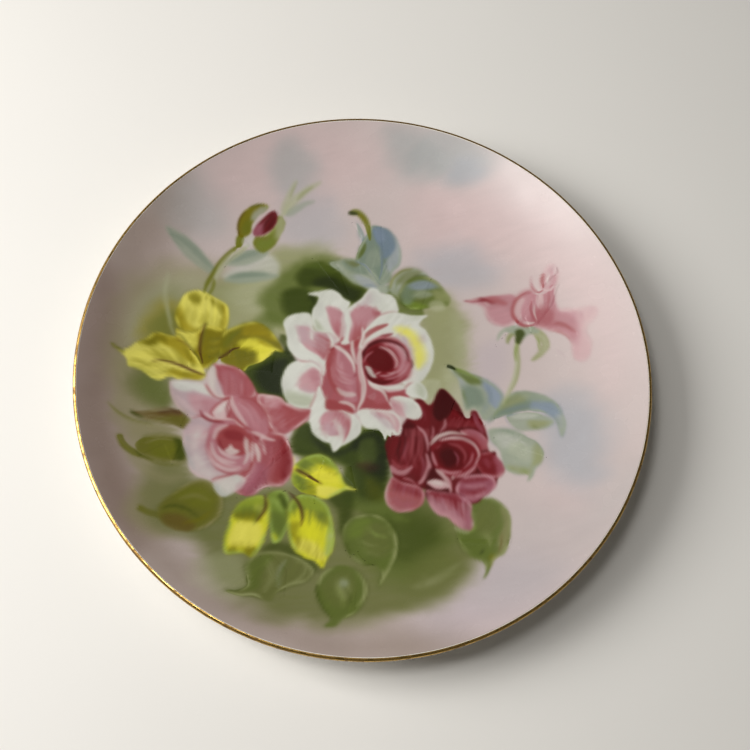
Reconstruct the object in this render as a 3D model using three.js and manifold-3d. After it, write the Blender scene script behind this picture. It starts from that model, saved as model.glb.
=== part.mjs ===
// A hand painted porcelain coupe plate: one fired body with a turned foot ring, its glaze,
// a tinted ground over the face, a gold line round the lip and the enamel flowers and leaves.
// Millimetres, +Z up. The origin is on the table, under the centre of the foot ring.
import * as THREE from "three";
import { mergeVertices } from "three/addons/utils/BufferGeometryUtils.js";
import Module from "manifold-3d";

const wasm = await Module();
wasm.setup();

// Driving dimensions of the plate.
const PLATE_RADIUS = 133;
const PLATE_HEIGHT = 26;
const WELL_RADIUS = 40; // the middle is flat out to here, then the face sweeps up
const WELL_FACE_HEIGHT = 7;
const LIP_SLOPE = THREE.MathUtils.degToRad(25); // of the face where it meets the lip
const WALL_AT_CENTRE = 4.2;
const WALL_AT_LIP = 2.2;

// The foot ring, whose bottom is the only bare clay.
const FOOT_OUTER_RADIUS = 78.4;
const FOOT_INNER_RADIUS = 75.2;
const FOOT_FLARE = 2.6; // how much wider the ring's root is than its bottom, on each side
const FOOT_GLAZE_LINE = 1.0; // height at which the glaze was wiped off

// The coats, each lying on the one before with a hair of clearance.
const CLEARANCE = 0.05;
const GLAZE_THICKNESS = 0.3;
const GROUND_THICKNESS = 0.15;
const ENAMEL_THICKNESS = 0.2;
const GOLD_THICKNESS = 0.12;
const OUTLINE_GAP = 0.35; // between neighbouring enamels
const OUTLINE_STEPS = 2; // straight pieces for each stretch of an outline

const SEGMENTS = 60;
const LIP_STEPS = 6; // straight pieces round the lip's half circle
const FACE_STATIONS = [0, 44, 66, 84, 99, 112, 123];
const BACK_STATIONS = [126, 115, 102, 90];
const UNDERSIDE_STATIONS = [60, 30, 0];

// The lip is a half circle that the face runs into without a corner.
const lipRadius = WALL_AT_LIP / 2;
const noseRadius = PLATE_RADIUS - lipRadius;
const noseHeight = PLATE_HEIGHT - lipRadius;
const faceRise = noseHeight + lipRadius / Math.cos(LIP_SLOPE) - WELL_FACE_HEIGHT;
const sweepWidth = noseRadius - WELL_RADIUS;
const sweepPower = (Math.tan(LIP_SLOPE) * sweepWidth) / faceRise;
const groundLevel = GROUND_THICKNESS + CLEARANCE;

// Height of the finished face and back at a radius. The wall's thickness is square to the face.
function faceHeight(radius) {
  const sweep = Math.max(0, (radius - WELL_RADIUS) / sweepWidth);
  return WELL_FACE_HEIGHT + faceRise * sweep ** sweepPower;
}

function backHeight(radius) {
  const sweep = Math.max(0, (radius - WELL_RADIUS) / sweepWidth);
  const slope = Math.atan(Math.tan(LIP_SLOPE) * sweep ** (sweepPower - 1));
  const wall = THREE.MathUtils.lerp(WALL_AT_CENTRE, WALL_AT_LIP, radius / PLATE_RADIUS);
  return faceHeight(radius) - wall / Math.cos(slope);
}

const at = (radius, height) => new THREE.Vector2(radius, height);

// The finished surface as paths of radius and height: over the face and lip and down to the foot,
// and from the foot in to the middle of the underside.
const facePath = FACE_STATIONS.map((r) => at(r, faceHeight(r)));
const lipPath = Array.from({ length: LIP_STEPS + 1 }, (_, i) => {
  const angle = Math.PI / 2 + LIP_SLOPE - (Math.PI * i) / LIP_STEPS;
  return at(noseRadius + lipRadius * Math.cos(angle), noseHeight + lipRadius * Math.sin(angle));
});
const footRoot = FOOT_OUTER_RADIUS + FOOT_FLARE;
const backPath = [
  ...BACK_STATIONS.map((r) => at(r, backHeight(r))),
  at(footRoot, backHeight(footRoot) - WALL_AT_LIP / 4),
  at(FOOT_OUTER_RADIUS + GLAZE_THICKNESS, FOOT_GLAZE_LINE),
];
const outsidePath = [...facePath, ...lipPath, ...backPath];
const undersidePath = [
  at(FOOT_INNER_RADIUS - GLAZE_THICKNESS, FOOT_GLAZE_LINE),
  at(FOOT_INNER_RADIUS - FOOT_FLARE, backHeight(FOOT_INNER_RADIUS - FOOT_FLARE)),
  ...UNDERSIDE_STATIONS.map((r) => at(r, backHeight(r))),
];

// The path moved out of the clay by a distance, corner by corner. On the axis it moves up or down.
function offsetPath(path, distance) {
  return path.map((point, i) => {
    const before = path[Math.max(i - 1, 0)];
    const after = path[Math.min(i + 1, path.length - 1)];
    if (point.x === 0) {
      return at(0, point.y + distance * Math.sign(after.x - before.x));
    }
    const into = point.clone().sub(before).normalize();
    const out = after.clone().sub(point).normalize();
    const along = into.clone().add(out).normalize();
    const lean = Math.max(along.dot(into.lengthSq() ? into : out), 0.5);
    return at(point.x - (along.y * distance) / lean, point.y + (along.x * distance) / lean);
  });
}

// A solid of revolution about +Z from a profile of radius and height that runs outwards over its top.
function turned(profile) {
  const geometry = new THREE.LatheGeometry([...profile].reverse(), SEGMENTS);
  geometry.rotateX(Math.PI / 2);
  return geometry;
}

// A coat of even thickness over a path, closed at both ends.
function coat(path, inner, outer) {
  const skin = [...offsetPath(path, outer), ...offsetPath(path, inner).reverse()];
  return turned(path[0].x === 0 ? skin : [...skin, skin[0]]);
}

// manifold-3d joins and cuts, and three.js makes and holds the shapes.
function solidFrom(geometry) {
  const bare = geometry.clone();
  bare.deleteAttribute("normal");
  bare.deleteAttribute("uv");
  const merged = mergeVertices(bare.index ? bare.toNonIndexed() : bare, 1e-4);
  return new wasm.Manifold(
    new wasm.Mesh({
      numProp: 3,
      vertProperties: new Float32Array(merged.attributes.position.array),
      triVerts: new Uint32Array(merged.index.array),
    }),
  );
}

function geometryFrom(solid) {
  const mesh = solid.getMesh();
  const geometry = new THREE.BufferGeometry();
  geometry.setAttribute("position", new THREE.BufferAttribute(mesh.vertProperties, mesh.numProp));
  geometry.setIndex(new THREE.BufferAttribute(mesh.triVerts, 1));
  geometry.computeVertexNormals();
  return geometry;
}

// A smooth closed outline through a few points, grown outwards by a margin.
function smoothOutline(points, margin) {
  const curve = new THREE.CatmullRomCurve3(
    points.map(([x, y]) => new THREE.Vector3(x, y, 0)),
    true,
    "centripetal",
  );
  const drawn = curve.getPoints(points.length * OUTLINE_STEPS).slice(0, -1);
  const clockwise = THREE.ShapeUtils.isClockWise(drawn);
  return drawn.map((point, i) => {
    const before = drawn[(i + drawn.length - 1) % drawn.length];
    const after = drawn[(i + 1) % drawn.length];
    const along = after.clone().sub(before).normalize();
    const side = clockwise ? -margin : margin;
    return at(point.x + along.y * side, point.y - along.x * side);
  });
}

// An upright column over an outline, tall enough to pass through the whole plate.
function column(points, margin = 0) {
  const shape = new THREE.Shape(smoothOutline(points, margin));
  const geometry = new THREE.ExtrudeGeometry(shape, { depth: 2 * PLATE_HEIGHT, bevelEnabled: false });
  geometry.translate(0, 0, -PLATE_HEIGHT / 2);
  return solidFrom(geometry);
}

// The enamels, in the order in which they lie over each other: an earlier outline cuts a later one.
const ENAMELS = [
  {
    name: "white_rose_enamel",
    colour: 0xf2dfe0,
    outline: [
      [-34, 42], [-24, 44], [-13, 41], [-7, 45], [0, 47], [8, 45], [13, 37.5], [26, 37.5], [27.5, 33],
      [32, 25], [32.5, 14], [30, 6], [31, 1], [30.5, -5], [29.5, -8], [30, -14], [22, -18], [20.5, -24],
      [14, -29], [7, -25], [2, -27], [-2, -33], [-9, -38], [-18, -34], [-23, -27], [-23, -20.5], [-31, -20.5],
      [-38, -14], [-40, -6], [-36, 2], [-39, 7], [-43, 17], [-42, 25], [-35, 29], [-30, 30], [-29, 36],
    ],
  },
  {
    name: "crimson_rose_enamel",
    colour: 0x8e1c2c,
    outline: [
      [36, 1], [43, -3], [49, -10], [55, -6], [60, -15], [64, -22], [66, -28], [71, -37], [67, -43],
      [64, -51], [61, -56], [58, -66], [49, -63], [41, -58], [36, -55], [33, -61], [25, -64], [17, -60],
      [17, -53], [19, -47], [14, -40], [12, -32], [16, -27], [22, -22], [23, -16], [31, -12],
    ],
  },
  {
    name: "pink_rose_enamel",
    colour: 0xc8707c,
    outline: [
      [-73, -4], [-65, -3], [-57, -8], [-50, -15], [-43, -17], [-35, -15], [-29, -20], [-21, -20],
      [-26, -29], [-33, -33], [-28, -39], [-26, -48], [-27.5, -58], [-36, -61], [-41, -62], [-46, -67],
      [-54, -68], [-60, -62], [-68, -60], [-73, -56], [-76, -47], [-80, -39], [-78, -32], [-84, -30],
      [-89, -23], [-91, -16], [-82, -14], [-75, -15],
    ],
  },
  {
    name: "side_rose_enamel",
    colour: 0xd98590,
    outline: [
      [42, 48], [50, 50.5], [60, 49.5], [68, 54], [73, 60], [77, 69], [85, 70], [88, 61], [88, 50],
      [97, 48], [106, 48], [106, 39], [100, 35], [105, 25], [101, 20], [92, 26], [86, 32], [84, 20],
      [77, 19], [79, 31], [73, 32], [73, 15], [71, 0], [67, -1], [69, 15], [69, 31], [60, 25], [61, 36],
      [53, 40], [50, 46],
    ],
  },
  {
    name: "rosebud_enamel",
    colour: 0xa8a83e,
    outline: [
      [-73, 68], [-70, 77], [-62, 81.5], [-53, 79], [-49, 98], [-44, 93], [-35, 100], [-36, 87],
      [-49.5, 74], [-53, 60], [-61, 55], [-68, 55], [-76, 44], [-80, 29], [-84, 30], [-80, 45], [-73, 56],
      [-72, 62],
    ],
  },
  {
    name: "upper_yellow_leaves_enamel",
    colour: 0xd6c53a,
    outline: [
      [-119, -7], [-108, -4], [-102, 2], [-94, 6], [-94, 16], [-91, 25], [-82, 31], [-72, 28], [-68, 18],
      [-60, 19], [-53, 20], [-47, 14], [-41, 9], [-49, 4], [-56, -3], [-66, 0], [-77, -5], [-76, -12],
      [-86, -16], [-95, -20], [-106, -15], [-112, -11],
    ],
  },
  {
    name: "lower_yellow_leaves_enamel",
    colour: 0xc6c93a,
    outline: [
      [-25, -44], [-16, -40], [-7, -43], [-3, -50], [4, -56], [-5, -59], [-9, -64], [-4, -72], [-1, -82],
      [-3, -94], [-14, -90], [-27, -86], [-36, -94], [-51, -93], [-52, -82], [-49, -70], [-42, -66],
      [-34, -64], [-26, -58],
    ],
  },
  {
    name: "dark_upper_leaf_enamel",
    colour: 0x3f5210,
    outline: [
      [-50, 30], [-47, 40], [-41, 50], [-35, 58], [-23, 59], [-10, 53], [2, 46], [-5, 38], [-20, 36],
      [-31, 24], [-45, 19],
    ],
  },
  {
    name: "dark_left_leaf_enamel",
    colour: 0x24330c,
    outline: [
      [-62, -7], [-52, 1], [-47, 8], [-43, 17], [-36, 9], [-33, -3], [-33, -22], [-44, -20], [-52, -14],
    ],
  },
  {
    name: "dark_centre_leaves_enamel",
    colour: 0x33440e,
    outline: [
      [-32, -38], [-29, -26], [-20, -22], [0, -26], [19, -22], [22, -40], [20, -58], [24, -66], [8, -68],
      [-2, -64], [0, -57], [-8, -45], [-28, -46],
    ],
  },
  {
    name: "slim_olive_leaf_enamel",
    colour: 0x7d7a3c,
    outline: [[-114, -35], [-103, -38], [-90, -33], [-76, -30], [-77, -40], [-92, -43], [-104, -41]],
  },
  {
    name: "middle_olive_leaf_enamel",
    colour: 0x7f8040,
    outline: [[-107, -49], [-98, -50], [-88, -44], [-76, -46], [-70, -60], [-86, -61], [-98, -57]],
  },
  {
    name: "curled_olive_leaf_enamel",
    colour: 0x7d8138,
    outline: [[-90, -80], [-81, -78], [-76, -68], [-66, -61], [-55, -70], [-54, -78], [-62, -87], [-78, -87]],
  },
  {
    name: "left_green_leaf_enamel",
    colour: 0x667b3c,
    outline: [
      [-46, -112], [-37, -107], [-39, -97], [-31, -91], [-19, -90], [-8, -97], [-14, -106], [-26, -112],
    ],
  },
  {
    name: "bottom_green_leaf_enamel",
    colour: 0x617c3c,
    outline: [[0, -121], [-3, -112], [-8, -100], [-1, -92], [10, -91], [16, -98], [14, -108], [7, -116]],
  },
  {
    name: "centre_green_leaf_enamel",
    colour: 0x5c7a36,
    outline: [[3, -84], [1, -74], [8, -66], [18, -66], [26, -74], [26, -88], [19, -99], [17, -89], [9, -89]],
  },
  {
    name: "right_green_leaf_enamel",
    colour: 0x6b8040,
    outline: [
      [58, -53], [67, -50], [76, -56], [76, -72], [70, -81], [66, -88], [60, -80], [52, -72], [52, -66],
    ],
  },
  {
    name: "blue_tip_leaf_enamel",
    colour: 0x8fa7b4,
    outline: [
      [-22, 85], [-15, 87], [-7, 80], [1, 81], [8, 75], [9, 64], [5, 56], [-2, 47], [-9, 47], [-18, 50],
      [-28, 56], [-20, 61], [-14, 63], [-13, 74],
    ],
  },
  {
    name: "upper_green_leaf_enamel",
    colour: 0x8a9a62,
    outline: [[7, 58], [14, 61], [24, 58], [32, 52], [36, 46], [30, 40], [19, 39], [10, 41], [4, 49]],
  },
  {
    name: "inner_blue_leaf_enamel",
    colour: 0x93a6a6,
    outline: [[37, 13], [47, 11], [57, 7], [66, 0], [65, -8], [60, -12], [54, -5], [48, -3], [45, 5]],
  },
  {
    name: "outer_blue_leaf_enamel",
    colour: 0x9aaaa2,
    outline: [[66, -3], [72, 4], [84, 4], [94, -1], [98, -14], [93, -16], [84, -15], [73, -15], [63, -14]],
  },
  {
    name: "pale_green_leaf_enamel",
    colour: 0xa8b098,
    outline: [[63, -19], [74, -17], [84, -20], [89, -28], [85, -41], [76, -38], [67, -34]],
  },
];

const mesh = (name, geometry, material) => {
  const made = new THREE.Mesh(geometry, new THREE.MeshStandardMaterial(material));
  made.name = name;
  return made;
};

// The bare clay, a clearance inside the glaze, standing on the flat bottom of its foot ring.
function porcelainBody() {
  const inside = -GLAZE_THICKNESS - CLEARANCE;
  const profile = [
    ...offsetPath(outsidePath, inside),
    at(FOOT_OUTER_RADIUS, 0),
    at(FOOT_INNER_RADIUS, 0),
    ...offsetPath(undersidePath, inside),
  ];
  return mesh("porcelain_body", turned(profile), { color: 0xf4f1ea, roughness: 0.55, metalness: 0 });
}

function glazeCoats() {
  const look = { color: 0xfbfaf6, roughness: 0.12, metalness: 0 };
  return [
    mesh("glaze_coat", coat(outsidePath, -GLAZE_THICKNESS, 0), look),
    mesh("underside_glaze", coat([...undersidePath].reverse(), 0, GLAZE_THICKNESS), look),
  ];
}

// The ground runs from the middle to the start of the lip, and the gold line covers the lip's nose.
function paintedGround() {
  const geometry = coat([...facePath, lipPath[0]], CLEARANCE, groundLevel);
  return mesh("painted_ground", geometry, { color: 0xd9c6c8, roughness: 0.15, metalness: 0 });
}

function goldRimBand() {
  const geometry = coat(lipPath.slice(1, -1), CLEARANCE, CLEARANCE + GOLD_THICKNESS);
  return mesh("gold_rim_band", geometry, { color: 0xb08a3a, roughness: 0.25, metalness: 1 });
}

// Each enamel is the stretch of one coat over the ground that stands above its outline,
// less the outlines of the enamels that were laid over it.
function enamelCoats() {
  const base = groundLevel + CLEARANCE;
  const layer = solidFrom(coat(facePath, base, base + ENAMEL_THICKNESS));
  return ENAMELS.map(({ name, colour, outline }, i) => {
    let piece = layer.intersect(column(outline));
    for (const above of ENAMELS.slice(0, i)) {
      piece = piece.subtract(column(above.outline, OUTLINE_GAP));
    }
    return mesh(name, geometryFrom(piece), { color: colour, roughness: 0.18, metalness: 0 });
  });
}

const plate = new THREE.Group();
plate.name = "painted_plate";
plate.add(porcelainBody(), ...glazeCoats(), paintedGround(), goldRimBand(), ...enamelCoats());

export default plate;
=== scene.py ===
"""The looks of a hand painted porcelain coupe plate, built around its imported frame.

The decoration is painted stroke by stroke on a sheet of points over the plate's face, in plate
millimetres: x to the right and y to the top of the picture, from the plate's middle. The points then
carry the colour and the thickness of the paint to thin enamel films that lie on the face.
"""

import logging
import math
from dataclasses import dataclass
from enum import Enum
from typing import Sequence

import bpy
import numpy as np
from mathutils import Matrix, Vector
from mathutils.geometry import delaunay_2d_cdt


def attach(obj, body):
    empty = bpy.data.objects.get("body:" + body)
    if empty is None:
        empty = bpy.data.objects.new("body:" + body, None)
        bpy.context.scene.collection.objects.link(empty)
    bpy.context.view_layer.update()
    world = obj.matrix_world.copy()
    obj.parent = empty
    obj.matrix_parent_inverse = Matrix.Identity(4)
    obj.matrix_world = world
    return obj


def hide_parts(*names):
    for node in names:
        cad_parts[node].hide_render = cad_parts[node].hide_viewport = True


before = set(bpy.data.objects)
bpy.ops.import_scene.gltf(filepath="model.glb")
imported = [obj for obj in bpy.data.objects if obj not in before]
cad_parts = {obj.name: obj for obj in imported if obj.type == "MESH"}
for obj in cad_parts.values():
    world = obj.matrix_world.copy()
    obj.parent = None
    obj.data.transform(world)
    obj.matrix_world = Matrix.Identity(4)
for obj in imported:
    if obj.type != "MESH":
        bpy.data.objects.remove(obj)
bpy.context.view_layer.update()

LOG = logging.getLogger("painted_plate")
MM = 0.001

Route = tuple[float, ...]  # x and y in turn, in plate millimetres
Area = tuple[slice, slice]  # rows and columns of the painted sheet


# ---------------------------------------------------------------------------------------- paint box


class Tint(Enum):
    """The china paints, as they look when fired, in 0 to 255 red, green and blue."""

    GROUND = (197, 183, 180)
    GROUND_PINK = (209, 184, 183)
    # Partly the ground's own darker tint and partly painted shade: it darkens the left and lower rim, where
    # the wall turns away from the light.
    GROUND_RIM_TINT_AND_SHADE = (152, 136, 126)
    HAZE = (163, 166, 165)
    HAZE_BLUE = (163, 167, 174)
    LAVENDER = (184, 172, 178)
    MIST_PALE = (171, 173, 140)
    MIST = (143, 147, 100)
    KHAKI = (140, 134, 98)
    MIST_DEEP = (98, 103, 52)
    MOSS = (88, 101, 40)
    FOREST = (48, 60, 8)
    PITCH = (24, 32, 8)
    FERN = (110, 130, 45)
    SPRING = (150, 172, 88)
    OLIVE = (100, 100, 32)
    BRONZE = (96, 76, 32)
    WHITE = (208, 209, 200)
    PEARL = (192, 192, 184)
    CELADON = (172, 177, 155)
    CREAM = (208, 198, 192)
    SHELL = (204, 178, 177)
    LILAC = (182, 160, 165)
    BLUSH = (190, 142, 148)
    ROSE = (172, 112, 120)
    ROSE_DEEP = (158, 82, 88)
    MAUVE = (155, 92, 108)
    BRICK = (146, 58, 60)
    CRIMSON = (112, 20, 27)
    WINE = (90, 8, 13)
    OXBLOOD = (58, 2, 4)
    LEMON = (226, 218, 72)
    BUTTER = (224, 216, 98)
    ACID = (212, 210, 40)
    OCHRE = (146, 130, 18)
    GOLD_OLIVE = (112, 105, 12)
    LEAF_OLIVE = (104, 108, 24)
    UMBER = (60, 30, 16)
    SAGE = (148, 157, 138)
    SEA = (112, 128, 112)
    SKY = (134, 146, 166)
    SLATE = (108, 124, 140)


class Grain:
    """Smooth noise that repeats far away, the same on every run."""

    SIZE = 256

    def __init__(self, seed: int) -> None:
        """Draws the table of values.

        Args:
            seed: picks the table.
        """
        self.table = np.random.default_rng(seed).random((self.SIZE, self.SIZE)).astype(np.float32)

    def at(self, u: np.ndarray, v: np.ndarray) -> np.ndarray:
        """Noise from 0 to 1, one bump for each whole step of u and of v.

        Args:
            u: first coordinates.
            v: second coordinates, shaped like u.

        Returns:
            The noise at each pair.
        """
        column, row = np.floor(u), np.floor(v)
        s, t = u - column, v - row
        s, t = s * s * (3 - 2 * s), t * t * (3 - 2 * t)
        i, j = column.astype(int) % self.SIZE, row.astype(int) % self.SIZE
        k, l = (i + 1) % self.SIZE, (j + 1) % self.SIZE
        near = self.table[j, i] * (1 - s) + self.table[j, k] * s
        far = self.table[l, i] * (1 - s) + self.table[l, k] * s
        return near * (1 - t) + far * t

    def cloud(self, u: np.ndarray, v: np.ndarray, octaves: int = 3) -> np.ndarray:
        """Noise with finer noise on it, from 0 to 1.

        Args:
            u: first coordinates.
            v: second coordinates.
            octaves: how many sizes of bump are added up.

        Returns:
            The noise at each pair.
        """
        total, weight = np.zeros_like(u), 0.0
        for octave in range(octaves):
            share = 0.5**octave
            total += share * self.at(u * 2**octave + 17 * octave, v * 2**octave + 31 * octave)
            weight += share
        return total / weight


def ramp(value: np.ndarray, low: float | np.ndarray, high: float | np.ndarray) -> np.ndarray:
    """An eased step from 0 at low to 1 at high.

    Args:
        value: what is compared.
        low: where the step starts.
        high: where it ends.

    Returns:
        The step's height for each value.
    """
    s = np.clip((value - low) / (high - low), 0, 1)
    return s * s * (3 - 2 * s)


def curve_through(route: Route, closed: bool, step: float = 1.0) -> np.ndarray:
    """A smooth line through a few points.

    Args:
        route: the points, x and y in turn.
        closed: whether the line runs back to its start.
        step: how far apart the line's own points are, in millimetres.

    Returns:
        The line's points, one row each.
    """
    points = np.array(route, float).reshape(-1, 2)
    if closed:
        ring = np.vstack([points[-1:], points, points[:2]])
    else:
        ring = np.vstack([2 * points[0] - points[1], points, 2 * points[-1] - points[-2]])
    line = []
    for before, start, end, after in zip(ring, ring[1:], ring[2:], ring[3:]):
        pairs = ((before, start), (start, end), (end, after))
        first, middle, last = (max(float(np.hypot(*(b - a))) ** 0.5, 1e-3) for a, b in pairs)
        leave = (start - before) / first - (end - before) / (first + middle) + (end - start) / middle
        enter = (end - start) / middle - (after - start) / (middle + last) + (after - end) / last
        leave, enter = leave * middle, enter * middle
        count = max(2, int(np.ceil(np.hypot(*(end - start)) / step)))
        t = (np.arange(count) / count)[:, None]
        line.append(
            (2 * t**3 - 3 * t**2 + 1) * start
            + (t**3 - 2 * t**2 + t) * leave
            + (3 * t**2 - 2 * t**3) * end
            + (t**3 - t**2) * enter
        )
    line.append(points[:1] if closed else points[-1:])
    return np.vstack(line)


def part_way(line: np.ndarray, share: float) -> np.ndarray:
    """The point some way along a line.

    Args:
        line: the line's points, one row each.
        share: how much of its length is passed, 0 to 1.

    Returns:
        The point's x and y.
    """
    passed = np.concatenate([[0], np.hypot(*np.diff(line, axis=0).T).cumsum()])
    return np.array([np.interp(share * passed[-1], passed, side) for side in line.T])


def measure(line: np.ndarray, x: np.ndarray, y: np.ndarray) -> tuple[np.ndarray, np.ndarray]:
    """How far points lie from a line, and how far along it.

    Args:
        line: the line's points, one row each.
        x: across coordinates of the points.
        y: up coordinates of the points.

    Returns:
        The distance, positive on the line's left, and the length of line passed.
    """
    shape = x.shape
    x, y = x.ravel().astype(np.float32), y.ravel().astype(np.float32)
    best = np.full(x.shape, np.inf, np.float32)
    side, along = np.zeros_like(best), np.zeros_like(best)
    passed = 0.0
    for start, end in zip(line, line[1:]):
        run = end - start
        length = float(np.hypot(*run))
        if length < 1e-6:
            continue
        dx, dy = x - np.float32(start[0]), y - np.float32(start[1])
        share = np.clip((dx * run[0] + dy * run[1]) / length**2, 0, 1).astype(np.float32)
        gap = np.hypot(dx - share * run[0], dy - share * run[1])
        nearer = gap < best
        best[nearer] = gap[nearer]
        cross = dy * run[0] - dx * run[1]
        side[nearer] = np.sign(cross)[nearer]
        along[nearer] = passed + share[nearer] * length
        passed += length
    return (best * np.where(side == 0, 1, side)).reshape(shape), along.reshape(shape)


def depth_inside(line: np.ndarray, x: np.ndarray, y: np.ndarray) -> tuple[np.ndarray, np.ndarray]:
    """How deep points lie inside a closed line.

    Args:
        line: the closed line's points, one row each, the first again at the end.
        x: across coordinates of the points.
        y: up coordinates of the points.

    Returns:
        The depth, negative outside, and the length of line passed at the nearest place.
    """
    gap, along = measure(line, x, y)
    inside = np.zeros(x.shape, bool)
    for (x0, y0), (x1, y1) in zip(line, line[1:]):
        if y0 != y1:
            crosses = (y0 > y) != (y1 > y)
            inside ^= crosses & (x < (x1 - x0) * (y - y0) / (y1 - y0) + x0)
    return np.where(inside, np.abs(gap), -np.abs(gap)), along


@dataclass(frozen=True)
class Wash:
    """A filled shape of one paint.

    soft is the width of its edge and ragged how far the edge wanders, in millimetres; lay is the
    direction of the bristle marks in degrees, and body the thickness of the paint in millimetres.
    """

    tint: Tint
    outline: Route
    soft: float = 0.6
    strength: float = 1.0
    lay: float = 60.0
    streak: float = 0.15
    ragged: float = 0.3
    body: float = 0.02


@dataclass(frozen=True)
class Stroke:
    """One pull of a loaded brush along a route.

    width is the stroke's full width and soft the width of its edge; rise and fall are the shares of
    its length over which it swells from a point and thins to one.
    """

    tint: Tint
    width: float
    route: Route
    soft: float = 0.5
    strength: float = 0.9
    rise: float = 0.3
    fall: float = 0.45
    streak: float = 0.35
    body: float = 0.035


@dataclass(frozen=True)
class Fan:
    """Many thin pulls of the brush side by side, from points on one line to points on another.

    uneven is how much shorter some pulls are than others, and bow how far they bend to the left, as a
    share of their length.
    """

    tint: Tint
    start: Route
    end: Route
    pulls: int = 12
    width: float = 1.3
    strength: float = 0.6
    uneven: float = 0.4
    bow: float = 0.0
    soft: float = 0.7


@dataclass(frozen=True)
class Petal:
    """A shape with the marks that are laid inside its outline.

    The wet marks are then dragged over each other along the bristles, as far as drag millimetres.
    """

    shape: Wash
    marks: tuple["Mark", ...] = ()
    drag: float = 2.0


Mark = Wash | Stroke | Fan | Petal


class Canvas:
    """The face as a square sheet of points that holds the paint's colour and thickness."""

    KEPT_EDGE = 0.7  # how far in from an outline the paint isn't dragged, in millimetres

    def __init__(self, half_width: float, pitch: float) -> None:
        """Lays out the points.

        Args:
            half_width: from the middle to the sheet's edge, in millimetres.
            pitch: between neighbouring points, in millimetres.
        """
        steps = int(np.ceil(half_width / pitch))
        self.pitch = pitch
        self.axis = (np.arange(-steps, steps + 1) * pitch).astype(np.float32)
        size = len(self.axis)
        self.colour = np.zeros((size, size, 3), np.float32)
        self.relief = np.zeros((size, size), np.float32)
        self.wet = np.zeros((size, size), np.float32)
        self.clip: np.ndarray | None = None
        self.heart: tuple[float, float] | None = None
        self.rim: Tint | None = None
        self.shadow: Tint | None = None
        self.grain = Grain(7)
        self.laid = 0

    def window(self, line: np.ndarray, reach: float) -> Area | None:
        """The rows and columns that a mark can touch.

        Args:
            line: the mark's line.
            reach: how far paint goes past it.

        Returns:
            The slices of rows and columns, or None when the mark misses the sheet.
        """
        low, high = line.min(0) - reach, line.max(0) + reach
        first = np.clip(np.floor((low - self.axis[0]) / self.pitch).astype(int), 0, len(self.axis))
        last = np.clip(np.ceil((high - self.axis[0]) / self.pitch).astype(int) + 1, 0, len(self.axis))
        if (last <= first).any():
            return None
        return slice(first[1], last[1]), slice(first[0], last[0])

    def lay(self, area: Area, cover: np.ndarray, tint: Tint, bristles: np.ndarray, body: float) -> None:
        """Puts paint over what is there.

        Args:
            area: the rows and columns touched.
            cover: how much of what is beneath is hidden, 0 to 1.
            tint: the paint.
            bristles: the bristle marks, 0 to 1.
            body: how thick the paint stands.
        """
        if self.clip is not None:
            cover = cover * self.clip[area]
        paint = np.array(tint.value, np.float32) / 255 * (1 + 0.09 * (bristles[..., None] - 0.5))
        share = cover[..., None]
        self.colour[area] = self.colour[area] * (1 - share) + paint * share
        self.relief[area] = self.relief[area] * (1 - cover) + body * (0.45 + bristles) * cover
        self.wet[area] = np.maximum(self.wet[area], cover)
        self.laid += 1

    def points(self, area: Area) -> tuple[np.ndarray, np.ndarray]:
        """The x and y of the points in some rows and columns.

        Args:
            area: the rows and columns.

        Returns:
            Two arrays, one of x and one of y.
        """
        return np.meshgrid(self.axis[area[1]], self.axis[area[0]])

    def shape_of(self, wash: Wash) -> tuple[Area, np.ndarray, np.ndarray] | None:
        """Where a wash covers the sheet.

        Args:
            wash: the wash.

        Returns:
            The rows and columns, the cover and the bristle marks, or None when it misses the sheet.
        """
        line = curve_through(wash.outline, True, max(1.0, wash.soft * 0.7))
        area = self.window(line, wash.soft + wash.ragged)
        if area is None:
            return None
        x, y = self.points(area)
        depth, _ = depth_inside(line, x, y)
        turn = math.radians(wash.lay)
        u, v = x * math.cos(turn) + y * math.sin(turn), y * math.cos(turn) - x * math.sin(turn)
        seed = 3.7 * (self.laid % 53)
        bend = 1.6 * self.grain.at(u / 14 + seed, v / 14)
        bristles = self.grain.cloud(u / 9 + seed, (v + bend) / 0.9, 2)
        lump = 2.2 + 1.6 * wash.ragged
        edge = depth + wash.ragged * 2 * (self.grain.cloud(x / lump + seed, y / lump, 3) - 0.5)
        cover = ramp(edge, -wash.soft / 2, wash.soft / 2) * wash.strength
        return area, cover * (1 - wash.streak * 0.4 * (1 - bristles)), bristles

    def wash(self, wash: Wash) -> None:
        """Lays a filled shape.

        Args:
            wash: the wash.
        """
        found = self.shape_of(wash)
        if found:
            area, cover, bristles = found
            self.lay(area, cover, wash.tint, bristles, wash.body)

    def stroke(self, stroke: Stroke) -> None:
        """Lays one pull of the brush.

        Args:
            stroke: the stroke.
        """
        line = curve_through(stroke.route, False, 1.0)
        area = self.window(line, stroke.width / 2 + stroke.soft)
        if area is None:
            return
        x, y = self.points(area)
        gap, along = measure(line, x, y)
        length = float(np.hypot(*np.diff(line, axis=0).T).sum())
        t = along / length
        swell = np.sqrt(np.clip(t / max(stroke.rise, 1e-3), 0, 1))
        swell = swell * np.sqrt(np.clip((1 - t) / max(stroke.fall, 1e-3), 0, 1))
        seed = 5.3 * (self.laid % 47)
        bristles = self.grain.cloud(along / 8 + seed, gap / 0.75 + seed, 2)
        half = stroke.width / 2 * swell
        wander = 0.12 * stroke.width * (self.grain.at(along / 3 + seed, np.sign(gap) + seed) - 0.5)
        cover = ramp(half + wander * swell - np.abs(gap), -stroke.soft / 2, stroke.soft / 2) * stroke.strength
        cover = cover * ramp(swell, 0.0, 0.25) * (1 - stroke.streak * (1 - bristles) * 0.9)
        self.lay(area, cover, stroke.tint, bristles, stroke.body)

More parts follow.
